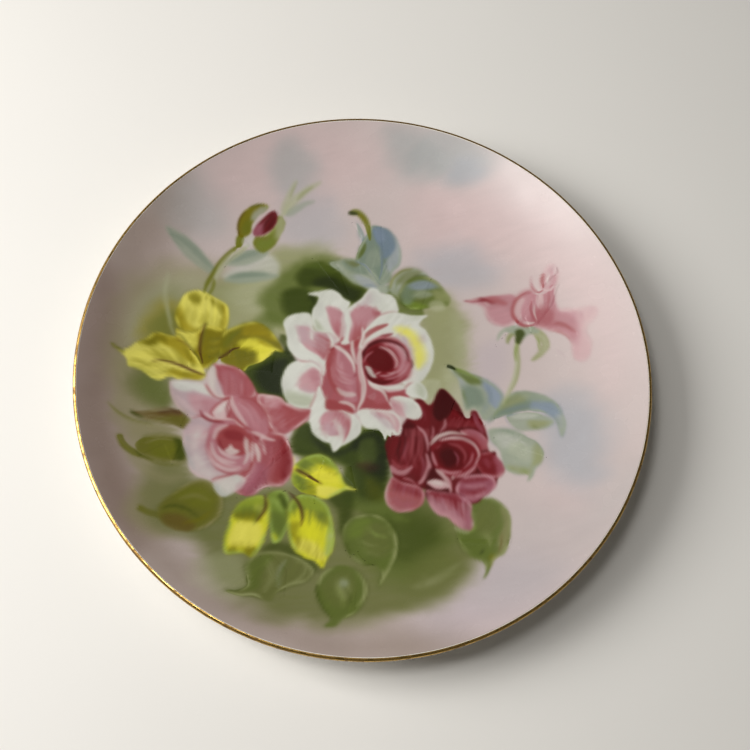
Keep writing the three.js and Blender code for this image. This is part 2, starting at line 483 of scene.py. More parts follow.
    def fan(self, fan: Fan) -> None:
        """Lays the pulls of a fan one after another.

        Args:
            fan: the fan.
        """
        draw = np.random.default_rng(self.laid)
        starts, ends = curve_through(fan.start, False), curve_through(fan.end, False)
        for i in range(fan.pulls):
            share = (i + draw.random()) / fan.pulls
            a, b = part_way(starts, share), part_way(ends, share)
            b = a + (b - a) * (1 - fan.uneven * draw.random())
            bend = (a + b) / 2 + fan.bow * np.array([a[1] - b[1], b[0] - a[0]])
            width = fan.width * (0.65 + 0.7 * draw.random())
            strength = fan.strength * (0.65 + 0.35 * draw.random())
            self.stroke(Stroke(fan.tint, width, (*a, *bend, *b), fan.soft, strength, 0.06, 0.8, 0.3, 0.025))

    def line_edge(self, shape: Wash, tint: Tint, outward: bool) -> None:
        """Lays a fine broken line along an outline: a light just inside it, or a shadow just outside.

        Args:
            shape: the wash with the outline.
            tint: the paint.
            outward: whether it is the shadow.
        """
        line = curve_through(shape.outline, True, 1.0)
        area = self.window(line, 2.0)
        if area is None:
            return
        x, y = self.points(area)
        depth, along = depth_inside(line, x, y)
        depth = 0.2 - depth if outward else depth
        seed = 2.9 * (self.laid % 41)
        loaded = self.grain.cloud(along / 9 + seed, depth / 6 + seed, 2)
        width = 0.4 + 1.5 * loaded
        cover = ramp(depth, -0.2, 0.4) * (1 - ramp(depth, 0.4 * width, width + 0.5)) * ramp(loaded, 0.25, 0.7)
        if outward:
            cover *= 0.75 * np.maximum(self.wet[area], 0.0 if self.heart else 0.3)
        self.lay(area, 0.85 * cover, tint, loaded, 0.03)

    def drag(self, area: Area, lay: float, reach: float) -> None:
        """Drags the wet paint along the bristles, away from the flower's heart if there is one.

        Args:
            area: the rows and columns touched.
            lay: the direction of the bristles where there is no heart, in degrees.
            reach: how far paint is dragged, in millimetres.
        """
        x, y = self.points(area)
        seed = 4.3 * (self.laid % 37)
        if self.heart:
            out_x, out_y = x - self.heart[0], y - self.heart[1]
            away = np.hypot(out_x, out_y) + 1e-3
            turn = np.arctan2(out_y, out_x) + 0.5 * (self.grain.at(x / 9 + seed, y / 9) - 0.5)
            pull = self.grain.cloud(turn * 24 + seed, away / 14, 2)
        else:
            turn = math.radians(lay) + 1.4 * (self.grain.at(x / 16 + seed, y / 16) - 0.5)
            u, v = x * np.cos(turn) + y * np.sin(turn), y * np.cos(turn) - x * np.sin(turn)
            pull = self.grain.cloud(u / 12 + seed, v / 0.8, 2)
        length = reach * ramp(pull, 0.2, 0.8)
        solid = ramp(self.clip, 0.6, 1.0)
        sides = ((-self.KEPT_EDGE, 0), (self.KEPT_EDGE, 0), (0, -self.KEPT_EDGE), (0, self.KEPT_EDGE))
        held = np.minimum.reduce([self.sample(solid, x + i, y + j) for i, j in sides])[..., None]
        total, weight = np.zeros((*x.shape, 3)), np.full((*x.shape, 1), 1e-4)
        for step in np.linspace(-1, 1, 7):
            away_x, away_y = x + step * length * np.cos(turn), y + step * length * np.sin(turn)
            share = self.sample(solid, away_x, away_y)[..., None]
            total += share * self.sample(self.colour, away_x, away_y)
            weight += share
        self.colour[area] = self.colour[area] * (1 - held) + total / weight * held

    def petal(self, petal: Petal) -> None:
        """Lays a petal's shape, then its marks inside the outline, and drags them.

        Args:
            petal: the petal.
        """
        found = self.shape_of(petal.shape)
        if found is None:
            return
        area, cover, bristles = found
        if self.shadow and self.clip is None:
            self.line_edge(petal.shape, self.shadow, True)
        self.lay(area, cover, petal.shape.tint, bristles, petal.shape.body)
        outer, self.clip = self.clip, np.zeros_like(self.relief)
        self.clip[area] = ramp(cover / petal.shape.strength, 0.0, 0.75)
        self.paint(petal.marks)
        if self.rim and outer is None and petal.drag > 1:
            self.line_edge(petal.shape, self.rim, False)
        self.drag(area, petal.shape.lay, petal.drag)
        self.clip = outer

    def paint(self, marks: Sequence[Mark]) -> None:
        """Lays marks in their order.

        Args:
            marks: washes, strokes, fans, and petals with marks of their own.
        """
        for mark in marks:
            if isinstance(mark, Petal):
                self.petal(mark)
            elif isinstance(mark, Wash):
                self.wash(mark)
            elif isinstance(mark, Fan):
                self.fan(mark)
            else:
                self.stroke(mark)

    def sample(self, field_values: np.ndarray, x: np.ndarray, y: np.ndarray) -> np.ndarray:
        """Reads the sheet between its points.

        Args:
            field_values: the sheet's colour or relief.
            x: across coordinates.
            y: up coordinates.

        Returns:
            The value at each pair.
        """
        last = len(self.axis) - 1.001
        u = np.clip((x - self.axis[0]) / self.pitch, 0, last)
        v = np.clip((y - self.axis[0]) / self.pitch, 0, last)
        i, j = u.astype(int), v.astype(int)
        s, t = u - i, v - j
        if field_values.ndim == 3:
            s, t = s[..., None], t[..., None]
        near = field_values[j, i] * (1 - s) + field_values[j, i + 1] * s
        far = field_values[j + 1, i] * (1 - s) + field_values[j + 1, i + 1] * s
        return near * (1 - t) + far * t


# --------------------------------------------------------------------------- the painted flowers

# The ground: soft clouds of tint, a darker left and lower rim that is partly painted shade, then the green
# mist round the flowers.
GROUND_MARKS: tuple[Mark, ...] = (
    Wash(Tint.GROUND_PINK, (20, 70, 60, 66, 100, 40, 115, 10, 118, 50, 90, 95, 50, 112, 10, 104), 40, 0.75,
        20, 0.1),
    Wash(Tint.GROUND_PINK, (-75, 118, -30, 128, -5, 112, -22, 92, -60, 80, -95, 78), 34, 0.6, 30, 0.1),
    Wash(Tint.GROUND_PINK, (95, -40, 115, -55, 95, -95, 60, -112, 70, -80), 34, 0.45, 30, 0.1),
    # Painted shade, partly the ground's own tint: brown and umber washes darken the left and lower rim, where
    # the wall turns from the window light.
    Wash(Tint.GROUND_RIM_TINT_AND_SHADE, (-132, 40, -122, 68, -104, 84, -98, 66, -104, 40, -106, 0, -98, -40, -80, -80,
        -50, -106, 0, -118, 50, -112, 64, -122, 0, -136, -80, -110, -124, -50), 26, 0.85, 120, 0.2, 4),
    Wash(Tint.UMBER, (-136, 36, -126, 30, -116, 0, -112, -40, -92, -76, -84, -100, -112, -84, -138, -30),
        12, 0.2, 90, 0.2),
    Wash(Tint.LAVENDER, (45, -70, 75, -75, 100, -80, 85, -102, 50, -118, 35, -108), 24, 0.6, 20, 0.15),
    Wash(Tint.HAZE, (78, -52, 104, -50, 128, -30, 112, -74, 84, -98, 62, -100, 70, -76), 24, 0.32, 20, 0.3),
    Wash(Tint.HAZE, (-8, 128, 5, 104, 18, 108, 34, 106, 48, 118, 40, 128, 15, 131), 13, 0.75, 40, 0.6, 3),
    Wash(Tint.HAZE, (4, 112, 9, 109, 14, 114, 19, 107, 24, 112, 22, 122, 10, 124), 4, 0.6, 60, 0.6, 2),
    Wash(Tint.HAZE_BLUE, (26, 108, 36, 106, 45, 113, 40, 120, 29, 118), 6, 0.6, 60, 0.4, 2),
    Stroke(Tint.HAZE, 1.4, (23, 113, 28, 121, 33, 126), 1.2, 0.5),
    Wash(Tint.HAZE, (-60, 112, -48, 114, -38, 104, -42, 92, -54, 88, -62, 98), 12, 0.7, 70, 0.5, 3),
    Wash(Tint.HAZE, (-112, 70, -98, 86, -86, 80, -80, 66, -90, 58, -104, 60), 18, 0.5, 40, 0.5, 4),
    Wash(Tint.HAZE_BLUE, (16, 62, 24, 74, 44, 76, 58, 66, 48, 54, 30, 52), 16, 0.6, 10, 0.5, 4),
    Wash(Tint.HAZE_BLUE, (86, 4, 98, 6, 112, -2, 116, -22, 108, -42, 94, -40, 86, -22), 18, 0.75, 80, 0.5,
        4),
    Wash(Tint.HAZE_BLUE, (-48, 88, -30, 90, -22, 72, -40, 60, -54, 74), 18, 0.45, 80, 0.5, 4),
    Wash(Tint.LAVENDER, (52, 22, 66, 30, 66, 8, 54, 6), 10, 0.5, 80, 0.3, 2),
    Wash(Tint.KHAKI, (-118, 26, -98, 42, -74, 40, -76, 4, -100, -8, -114, -24, -120, 0), 16, 0.75, 70, 0.35,
        5),
    Wash(Tint.MIST_DEEP, (-106, 18, -98, 30, -90, 26, -88, 4, -98, -4, -108, 2), 10, 0.6, 80, 0.4, 3),
    Wash(Tint.MIST_PALE, (-112, 14, -100, 34, -84, 40, -80, 30, -92, 18, -98, 2, -110, -4), 9, 0.5, 100,
        0.5),
    Wash(Tint.OCHRE, (-108, 8, -102, 22, -92, 22, -90, 6, -98, -4, -106, -2), 7, 0.5, 80, 0.4, 3),
    Wash(Tint.MOSS, (-104, 6, -98, 18, -92, 14, -94, 2, -100, -2), 5, 0.5, 80, 0.4, 3),
    Wash(Tint.KHAKI, (-114, -12, -98, -14, -86, -30, -84, -44, -108, -44, -112, -28), 6, 0.8, 100, 0.4),
    Wash(Tint.KHAKI, (-104, -46, -84, -40, -70, -60, -76, -92, -94, -84, -92, -64), 8, 0.9, 120, 0.4),
    Wash(Tint.MIST, (-80, 36, -66, 44, -50, 60, -38, 64, -24, 62, -16, 56, -30, 20, -60, 8, -82, 14), 9,
        0.9, 20, 0.45, 4),
    Wash(Tint.MIST_PALE, (-74, 32, -62, 40, -48, 44, -42, 34, -58, 24), 6, 0.55, 20, 0.6),
    Wash(Tint.MIST, (24, 50, 36, 48, 45, 38, 48, 22, 46, 8, 38, -4, 24, -6, 22, 20), 6, 0.95, 95, 0.5, 3),
    Wash(Tint.MIST_PALE, (38, 12, 47, 12, 54, 2, 52, -12, 44, -8, 38, 0), 4, 0.85, 60, 0.4),
    Wash(Tint.MIST_PALE, (38, 40, 46, 30, 46, 16, 42, 12, 40, 26), 4, 0.6, 95, 0.6),
    Wash(Tint.MIST_DEEP, (-60, -94, -74, -70, -52, -62, 0, -50, 56, -52, 62, -78, 50, -98, 24, -112, 0,
        -119, -24, -118, -46, -113), 12, 0.92, 12, 0.4, 4),
    Wash(Tint.MIST_DEEP, (-104, -14, -88, -14, -86, -30, -98, -32, -108, -24), 4, 0.7, 60, 0.4),
    Wash(Tint.MOSS, (-102, -17, -90, -18, -88, -30, -96, -30, -103, -24), 4, 0.6, 40, 0.4),
    Wash(Tint.MIST_DEEP, (-86, -56, -72, -58, -62, -90, -82, -88, -90, -74), 6, 0.6, 120, 0.4),
    Wash(Tint.MIST_PALE, (-58, -98, -42, -94, -36, -112, -48, -114, -60, -108), 6, 0.45, 40, 0.4),
    Wash(Tint.MOSS, (18, -58, 36, -60, 52, -70, 50, -84, 36, -94, 22, -96, 14, -82), 14, 0.8, 12, 0.45, 4),
    Wash(Tint.FOREST, (24, -62, 40, -62, 46, -72, 38, -82, 28, -86, 22, -74), 12, 0.6, 12, 0.4, 4),
    Wash(Tint.MIST_DEEP, (44, -76, 58, -80, 52, -94, 38, -100, 30, -98), 8, 0.7, 14, 0.6),
    Stroke(Tint.MIST_PALE, 3, (34, -97, 44, -92, 54, -83), 3, 0.35),
    Stroke(Tint.MIST_DEEP, 5, (14, -112, 30, -106, 46, -97), 5, 0.5),
)
# Ghost leaves that were wiped nearly away.
GHOST_MARKS: tuple[Mark, ...] = (
    Wash(Tint.MOSS, (2, 38, 6, 48, 14, 46, 22, 42, 24, 35, 14, 34, 6, 32), 2, 0.9, 20, 0.4),
    Wash(Tint.MIST_PALE, (26, 2, 36, 4, 36, -6, 31, -10, 27, -6), 2, 0.9, 60, 0.4),
    Petal(Wash(Tint.SAGE, (-106, 57, -98, 56, -90, 52, -84, 47, -79, 42, -82, 40, -90, 43, -98, 48), 2,
        0.85, -35), (
        Stroke(Tint.SEA, 3.4, (-104, 55, -95, 52, -87, 47, -80, 42), 2.5, 0.55),)),
    Stroke(Tint.SEA, 1, (-105, 57, -101, 52, -96, 49), 0.8, 0.5),
    Wash(Tint.PEARL, (-76, 40, -68, 48, -56, 56, -50, 52, -50, 46, -60, 41), 4, 0.8, 25, 0.4),
    Petal(Wash(Tint.SAGE, (-76, 46, -72, 52, -64, 57, -56, 57, -60, 52, -68, 47), 2, 0.9, 35), (
        Stroke(Tint.SEA, 3.4, (-74, 48, -67, 53, -60, 56), 2, 0.6),)),
    Petal(Wash(Tint.SAGE, (-75, 38, -70, 43, -58, 46.5, -49, 46, -56, 42, -66, 38.5), 2, 0.95, 18), (
        Stroke(Tint.SEA, 2.6, (-73, 40, -64, 43.5, -54, 45.5), 2, 0.7),)),
    Stroke(Tint.MIST_PALE, 1.6, (-99, 24, -96, 12, -90, 2), 1.5, 0.5),
    Stroke(Tint.MIST_PALE, 2.4, (-101, 36, -100, 22, -94, 10), 2.2, 0.5),
)

# The darkest greens, between and behind the roses.
UPPER_SHADE_MARKS: tuple[Mark, ...] = (
    Wash(Tint.MOSS, (-56, 30, -50, 46, -42, 56, -28, 60, -14, 56, -4, 46, -8, 36, -24, 36, -38, 22, -50,
        18), 8, 0.9, 10, 0.5, 4),
    Petal(Wash(Tint.FOREST, (-38, 53, -30, 57, -20, 53, -13, 48, -6, 46.5, -6, 42, -9, 38, -13, 38, -22, 43,
        -30, 44, -36, 42, -41, 46), 3, 0.95, 12, 0.5), (
        Wash(Tint.PITCH, (-32, 47, -24, 50, -14, 46, -8, 44, -10, 39, -16, 40, -26, 44, -31, 43), 2.5, 0.6,
            12),
        Stroke(Tint.FERN, 3, (-38, 53, -30, 55, -22, 52), 2.5, 0.4))),
    Wash(Tint.FOREST, (-46, 38, -38, 42, -31, 40, -28, 34, -30, 27, -38, 24, -44, 28), 3.5, 0.92, 20, 0.5),
    Stroke(Tint.PITCH, 3.4, (-33.5, 39, -29.5, 36, -29.5, 31, -31.5, 27), 2, 0.55),
    Stroke(Tint.MOSS, 4, (-58, 20, -50, 24, -42, 22), 3, 0.5),
    Stroke(Tint.MIST_PALE, 1.2, (-47, 20, -42, 13, -38, 8), 0.8, 0.6),
)
LEFT_SHADE_MARKS: tuple[Mark, ...] = (
    Petal(Wash(Tint.FOREST, (-58, -5, -53, -1, -48, 4, -45, 7, -40, 8, -36, 6, -34, 2, -36, -4, -36, -12,
        -33, -18, -42, -17, -50, -16, -56, -10), 1, 1, 30, 0.3), (
        Wash(Tint.PITCH, (-52, -6, -44, 2, -37, 4, -38, -4, -37, -14, -46, -14), 4, 0.9, 30),
        Stroke(Tint.MOSS, 2, (-57, -6, -51, 0, -45, 5), 1.5, 0.5))),
    Stroke(Tint.FOREST, 4.5, (-43, 16, -40, 11, -36, 6), 2.5, 0.9, 0.2, 0.2),
    Stroke(Tint.PITCH, 2.4, (-40, 10, -36, 5, -33, 3), 1.5, 0.7),
)
CENTRE_SHADE_MARKS: tuple[Mark, ...] = (
    Wash(Tint.MOSS, (-28, -26, -18, -28, 4, -24, 16, -26, 18, -44, 20, -60, 30, -66, 10, -66, -2, -60, -4,
        -46, -24, -44), 3, 0.97, 75, 0.4),
    Petal(Wash(Tint.FOREST, (-30, -37, -27, -29, -22, -26, -16, -32, -8, -36, -2, -33, 2, -28, 8, -24, 14,
        -27, 17, -36, 18, -46, 14, -58, 6, -57, 2, -48, -6, -43, -20, -42, -28, -42), 2, 0.95, 70), (
        Wash(Tint.PITCH, (-2, -34, 3, -28, 10, -26, 14, -30, 17, -42, 14, -52, 8, -46, 4, -38), 4, 0.9, 80),
        Wash(Tint.MOSS, (2, -38, 3, -31, 8, -29, 11, -34, 10, -42, 5, -43), 2.5, 0.6, 75, 0.6),
        Stroke(Tint.PITCH, 3, (-22, -27, -18, -34, -8, -39, 2, -34), 2, 0.7),
        Stroke(Tint.MOSS, 3, (-29, -35, -22, -38, -15, -39), 2.5, 0.2),
        Wash(Tint.UMBER, (2, -43, 8, -41, 13, -43, 8, -46), 3, 0.55))),
    Wash(Tint.FOREST, (-2, -45, 8, -46, 16, -48, 17, -58, 4, -60, -2, -54), 5, 0.6, 80, 0.5),
    Wash(Tint.GOLD_OLIVE, (8, -48, 14, -50, 16, -58, 10, -58), 5, 0.3, 80),
    Wash(Tint.FOREST, (-4, -58, 2, -56, 4, -66, 0, -78, -3, -66, -8, -61), 3, 0.8, 90),
    Stroke(Tint.FOREST, 3, (19, -64, 24, -72, 27, -84), 3, 0.5),
    Stroke(Tint.FOREST, 5, (-34, -90, -26, -87, -16, -90, -6, -96), 2.5, 0.7),
)

WHITE_ROSE_MARKS: tuple[Mark, ...] = (
    Wash(Tint.ROSE_DEEP, (-18, 13, -14, 17, -9, 19, -3, 18, 0, 8, 2, -2, 12, -4, 21, -3, 22, -8, 14, -14, 5,
        -17, -2, -18, -9, -19, -16, -19, -20, -9, -20, 3), 1, 1, 80),
    Wash(Tint.BRICK, (-15, 17, -10, 21, -6, 23, -4, 18, -8, 14, -13, 14), 1.5, 0.75, 60),
    Wash(Tint.BRICK, (2, -9, 8, -12, 14, -10, 16, -13, 6, -15, 0, -15), 2, 0.6, 10, 0.5),
    Petal(Wash(Tint.WHITE, (-38.5, -3.5, -37, 0.8, -33, 3.6, -28, 4.3, -24, 3, -20.5, 0, -19.5, -5, -20.5,
        -12, -22.5, -18, -26, -19.6, -31, -19.4, -35, -17, -38, -11, -39, -7), 0.5), (
        Wash(Tint.CELADON, (-37, -12, -30, -12.5, -22, -14, -22, -19, -30, -20.5, -37, -17), 4, 0.9, 10),
        Wash(Tint.PEARL, (-40, -6, -37, -6, -35, -14, -39, -12), 3, 0.6),
        Petal(Wash(Tint.BLUSH, (-28, -1.5, -25, 1.6, -22, 0.6, -20, -3, -20.3, -9, -24, -11.4, -29, -10.6,
            -31.2, -7, -30, -4), 1.6, 0.95, 60, 0.5), (
            Wash(Tint.ROSE, (-27, -1, -23, 0.5, -21, -3, -22, -7, -25, -5), 2.5, 0.7, 60),
            Stroke(Tint.LILAC, 2.2, (-29, -9, -26, -11, -22, -11), 1.2, 0.7))),
        Fan(Tint.BLUSH, (-21, 1, -20, -10), (-33, 0, -32, -11), 10, 1.8, 0.45),
        Fan(Tint.ROSE, (-20.6, 0, -20.4, -8), (-26, 0, -26, -8), 6, 1.2, 0.4),
        Stroke(Tint.WHITE, 2, (-28, 0.5, -31, -3, -31.5, -8), 1.5, 0.5))),
    Petal(Wash(Tint.WHITE, (-43, 22, -41.2, 25.8, -37, 28.2, -31, 28.8, -29.5, 26, -27.5, 20.5, -22, 20.5,
        -19.5, 19, -17.5, 14.5, -18.6, 8, -18.6, 2, -19.4, -2.2, -21.3, 2, -25, 4.8, -31, 4.4, -35, 6, -39,
        10.5, -40.3, 16), 0.5), (
        Wash(Tint.PEARL, (-41, 20, -38, 24, -34, 23, -36, 17, -37, 12, -40, 13), 2.5, 0.5),
        Petal(Wash(Tint.BLUSH, (-35.8, 21.2, -33, 21.8, -30, 21.6, -28.2, 18.4, -27, 19.6, -22, 20.2, -20,
            18.2, -18.5, 14, -18.6, 9, -20, 5.8, -24, 8.2, -29, 10.2, -32.5, 13, -35, 17), 0.9, 1, 75,
            0.45), (
            Wash(Tint.LILAC, (-36, 21, -32, 22, -30, 15, -33, 12, -36, 16), 3, 0.65, 75),
            Wash(Tint.ROSE_DEEP, (-26, 19, -22, 20, -19, 15, -18, 8, -20, 6, -24, 9, -26, 13), 2, 0.7, 75,
                0.6),
            Stroke(Tint.BRICK, 1.1, (-20.5, 19, -19.2, 13, -19.4, 7), 0.6, 0.55),
            Stroke(Tint.SHELL, 1.2, (-22.5, 19, -21.2, 14, -22, 9), 0.8, 0.45))),
        Fan(Tint.LILAC, (-20, 8, -19, 19), (-37, 17, -34, 24), 10, 2, 0.4),
        Fan(Tint.BRICK, (-19, 7, -18.6, 17), (-29, 13, -25, 20), 7, 1, 0.45),
        Stroke(Tint.WHITE, 1.7, (-28.6, 22, -28.4, 18, -27.6, 14.5), 0.7, 0.9),
        Stroke(Tint.WHITE, 2.6, (-37, 12.5, -32, 7.6, -26, 6.8, -21.5, 4, -19.3, -1.6), 0.9, 0.95, 0.15,
            0.3),
        Stroke(Tint.SHELL, 0.7, (-24, 5.4, -21, 2.8, -19.6, -1), 0.5, 0.7))),
    Petal(Wash(Tint.WHITE, (-34, 39, -31, 40.6, -28, 41.7, -22, 43.3, -18.5, 42, -15.8, 39.4, -12.5, 38.2,
        -13, 35, -14.5, 30, -13.8, 24, -14.8, 16.5, -17, 18.5, -19.5, 20.6, -23, 20.2, -27, 21, -29.6, 26,
        -30.1, 31, -28.6, 35.6, -28.4, 38.2, -31, 38.6), 0.5), (
        Wash(Tint.CELADON, (-29, 26, -27, 26, -23, 22, -19, 21, -20, 19, -28, 19, -31, 24), 2.6, 0.9, 100),
        Wash(Tint.PEARL, (-29, 36, -25, 35, -25, 28, -29, 27), 3, 0.6, 90),
        Petal(Wash(Tint.ROSE, (-23.6, 33.6, -19.5, 34, -15, 31.6, -13.8, 25, -14.2, 17.6, -16.6, 18, -18.4,
            21.6, -21, 26, -22.6, 30), 1, 0.95, 105, 0.5), (
            Wash(Tint.BLUSH, (-24, 34, -19, 34.5, -17.5, 28, -20, 26, -23, 29), 2.5, 0.7, 105),
            Wash(Tint.ROSE_DEEP, (-17, 24, -14, 25, -14, 17, -16.5, 18), 2, 0.6, 100),
            Stroke(Tint.BRICK, 0.8, (-20.5, 27, -18, 22, -16.5, 18), 0.6, 0.6))),
        Fan(Tint.BLUSH, (-17, 18, -14.6, 18), (-25, 35, -15, 35), 8, 1.8, 0.45),
        Fan(Tint.ROSE_DEEP, (-16.6, 18, -14.6, 18), (-20, 30, -15, 29), 6, 1, 0.5),
        Stroke(Tint.SHELL, 1.6, (-20.8, 20, -18.6, 17.5, -17.2, 14.6), 0.8, 0.85),
        Stroke(Tint.WHITE, 1.4, (-23.5, 32, -21.2, 26, -19, 21.6), 0.9, 0.5))),
    Petal(Wash(Tint.WHITE, (-13.4, 34, -10.5, 37.6, -7.4, 41, -6, 44, -3.4, 47.4, 0, 47, 2, 45.2, 5.8, 45.6,
        9, 43.6, 10.6, 40, 11.4, 36.8, 8, 35.8, 4.4, 33.6, 0, 29.4, -2.8, 26, -4.5, 22, -7.5, 18, -11, 15.6,
        -14.2, 15.6, -12.6, 19, -12.2, 25, -14.6, 30), 0.5), (
        Wash(Tint.LILAC, (-12, 37, -6, 44, -3, 45, -1, 40, -8, 36), 4, 0.55, 60),
        Wash(Tint.PEARL, (-2, 47, 2, 45, 2, 40, -3, 40), 3, 0.6, 80),
        Petal(Wash(Tint.ROSE, (-11.2, 33.4, -8.4, 36.2, -5, 37.4, 0, 36.8, 3.6, 34, 2, 30.6, -1, 28, -3.2,
            25, -5, 21.6, -7.4, 18.6, -9.6, 16.8, -10.4, 22, -9.6, 27, -11.2, 30.4), 0.9, 1, 60, 0.5), (
            Wash(Tint.BLUSH, (-11, 33, -7, 36, -1, 36, -3, 32, -9, 30), 2.5, 0.6, 60),
            Wash(Tint.BRICK, (-10, 21, -6, 25, -3, 24, -7, 17.5, -10, 16), 3, 0.75, 70, 0.5),
            Wash(Tint.ROSE_DEEP, (0, 37, 3.6, 34, 1.5, 31, -1, 34), 1.5, 0.8, 40))),
        Fan(Tint.BLUSH, (-10, 17, -4, 22), (-11, 39, 3, 38), 10, 1.8, 0.4),
        Fan(Tint.BRICK, (-9, 17, -4, 22), (-9, 31, 1, 31), 8, 1, 0.45),
        Stroke(Tint.WHITE, 2, (-13.6, 34.6, -12.8, 29, -11.6, 24, -11.8, 19, -14, 15.8), 0.7, 0.95, 0.1,
            0.45),
        Stroke(Tint.LILAC, 0.6, (-14.4, 34, -14.2, 29, -13.6, 25), 0.5, 0.7),
        Stroke(Tint.WHITE, 3, (2, 43, 6, 42, 9, 39), 2, 0.7))),
    Petal(Wash(Tint.WHITE, (-3.4, 24, -0.4, 29, 3, 33, 7, 35.4, 11, 36.3, 17, 36, 21, 36.4, 25.8, 37, 23.6,
        34.4, 22.4, 31.6, 26, 29, 29.4, 23.6, 31.3, 17.6, 31, 11.6, 29.6, 6.8, 27, 2.6, 23, 0.4, 20, -0.6,
        14, 4, 6, 8, 0, 13, -4.4, 15, -4.2, 20), 0.5), (
        Wash(Tint.LEMON, (10.6, 27.6, 12.4, 29, 17, 29, 20.6, 27.4, 24.6, 22.4, 27.6, 16.6, 27.4, 12, 25.4,
            8.6, 23.8, 9.4, 22.6, 14, 21, 19.4, 18, 23.6, 14.6, 25.6), 4, 0.8, 110, 0.3),
        Stroke(Tint.BUTTER, 2.6, (12, 26.6, 17, 26, 21, 22, 23, 17, 23.6, 11), 2, 0.5),
        Wash(Tint.LILAC, (23, 24, 24.6, 27, 26.4, 24, 25, 21.6), 2.5, 0.5),
        Wash(Tint.PEARL, (27, 12, 30, 14, 31, 10, 29, 4, 26, 2, 25, 6), 2.5, 0.5),
        Wash(Tint.CELADON, (14, 37, 22, 37, 22, 34, 15, 35), 2, 0.5),
        Wash(Tint.LILAC, (12, 25, 16, 24.4, 20, 20, 22.6, 12, 21.6, 6, 20, 12, 17, 19), 2, 0.8, 110),
        Fan(Tint.SHELL, (-2, 18, 8, 23), (1, 27, 12, 30), 7, 1.2, 0.5),
        Stroke(Tint.CREAM, 2.6, (20.6, 0.6, 22.6, 5, 23.2, 10), 1.6, 0.8))),
    Stroke(Tint.BRICK, 2.6, (-3.6, 16, -2, 21.6, 2, 26, 7.6, 29.6), 0.7, 0.9, 0.3, 0.3),
    Stroke(Tint.WHITE, 2.4, (-3.8, 15, -1, 20, 3.4, 24.2, 9.6, 28.4), 0.7, 0.9, 0.25, 0.35),
    Stroke(Tint.CRIMSON, 2, (-2.4, 12, 1, 18, 5, 22, 10.6, 25), 0.7, 0.9, 0.3, 0.25),
    Stroke(Tint.SHELL, 2, (-4, 12.4, -1.6, 17, 2.4, 20.6, 6.4, 22.6), 0.6, 0.8, 0.2, 0.4),
    Petal(Wash(Tint.ROSE_DEEP, (-3.2, 11, -1.4, 16, 2, 20, 7, 22, 12, 22, 17, 19.4, 20, 15, 21.4, 9, 20.6,
        4, 17, 0.4, 12, -1.8, 6, -2.2, 1.6, 0, -1.6, 5), 0.7), (
        Wash(Tint.ROSE, (9, 20, 14, 20, 18.4, 15, 20, 9, 17.6, 5, 15.6, 8, 15.4, 12, 13, 16), 2, 0.85, 110,
            0.5),
        Wash(Tint.LILAC, (13, 18.6, 16, 17.6, 18.4, 13, 17.6, 12, 15.6, 15.6), 2, 0.45, 120),
        Wash(Tint.CRIMSON, (-3, 10, -1, 15, 3, 19, 6, 18.6, 9, 15, 14, 7, 16, 3, 10, -2, 4, -2, 0, 2), 1.8,
            0.95, 40),
        Wash(Tint.WINE, (-1.4, 11, 1, 15.6, 4.6, 17.2, 9, 15.4, 12.6, 11, 12.6, 7, 9, 4.6, 4, 5.2, 0.4,
            7.6), 1.4, 1, 40),
        Stroke(Tint.OXBLOOD, 1.7, (-2.8, 9, -1.6, 15, 3, 19.4, 9, 20.8, 14.6, 19.6, 18.2, 15.8, 19.8, 11),
            0.7, 0.85, 0.15, 0.5),
        Stroke(Tint.OXBLOOD, 1.8, (-2.6, 8, -0.4, 3, 4, -0.6, 9, -1.2, 14, 0.8), 0.9, 0.8, 0.2, 0.5),
        Stroke(Tint.SHELL, 1.6, (4.2, 17, 8.6, 16.4, 12.4, 13.6, 14.4, 10, 13.2, 6.6), 0.6, 0.85, 0.25,
            0.5),
        Stroke(Tint.CRIMSON, 1, (6, 17.6, 11, 16.6, 14.8, 12.6, 15.6, 9), 0.5, 0.85),
        Stroke(Tint.BLUSH, 1.3, (6.6, 19, 11.6, 18.8, 16, 15.6, 17.4, 11, 15.6, 6.6), 0.6, 0.85, 0.2, 0.4),
        Stroke(Tint.SHELL, 0.8, (12, 19.4, 16.6, 17.2, 18.8, 12.6), 0.5, 0.6),
        Stroke(Tint.BLUSH, 1.3, (6.4, 2.2, 10.6, 2.8, 15.6, 6, 18.4, 10), 0.6, 0.85, 0.2, 0.4),
        Stroke(Tint.BLUSH, 1.2, (9, 0.6, 14, 2.4, 18.4, 6.4, 20.2, 11), 0.6, 0.75, 0.3, 0.3),
        Stroke(Tint.SHELL, 0.8, (10, 4.2, 12.6, 4.6, 14.2, 6.4), 0.4, 0.7),
        Stroke(Tint.CRIMSON, 1.6, (12.8, -1, 17, 0.6, 20, 4.4), 0.9, 0.6),
        Stroke(Tint.BLUSH, 1, (-1.4, 7.6, -0.6, 11.2, 2.4, 14.4), 0.5, 0.85),
        Stroke(Tint.SHELL, 0.8, (4.6, 2.4, 6, 3.4, 7.4, 4.4), 0.4, 0.8),
        Wash(Tint.PEARL, (-0.6, 6, 1.8, 5.8, 4, 3.4, 5.6, 0.8, 4, 0.6, 1.6, 2.6), 0.5, 0.9, 130),
        Wash(Tint.WINE, (1, -1.6, 6, -2.2, 10, -1.4, 12.6, 0, 8, 0.6, 3, 0.2), 1.2, 0.8)), 0.3),
    Stroke(Tint.OXBLOOD, 1, (20.8, 13, 21.8, 10.4, 21.6, 8), 0.6, 0.6),
    Stroke(Tint.BRICK, 3.4, (10, -6, 15, -6.6, 20, -5), 1.5, 0.8),
    Stroke(Tint.WHITE, 2.5, (1.4, -1.8, 5, -3.6, 10, -4.3, 16, -3, 21, -1, 24, -0.4), 0.7, 0.95, 0.2, 0.25),
    Stroke(Tint.BLUSH, 1, (7, -5.4, 13, -5, 18, -3.4), 0.6, 0.7),
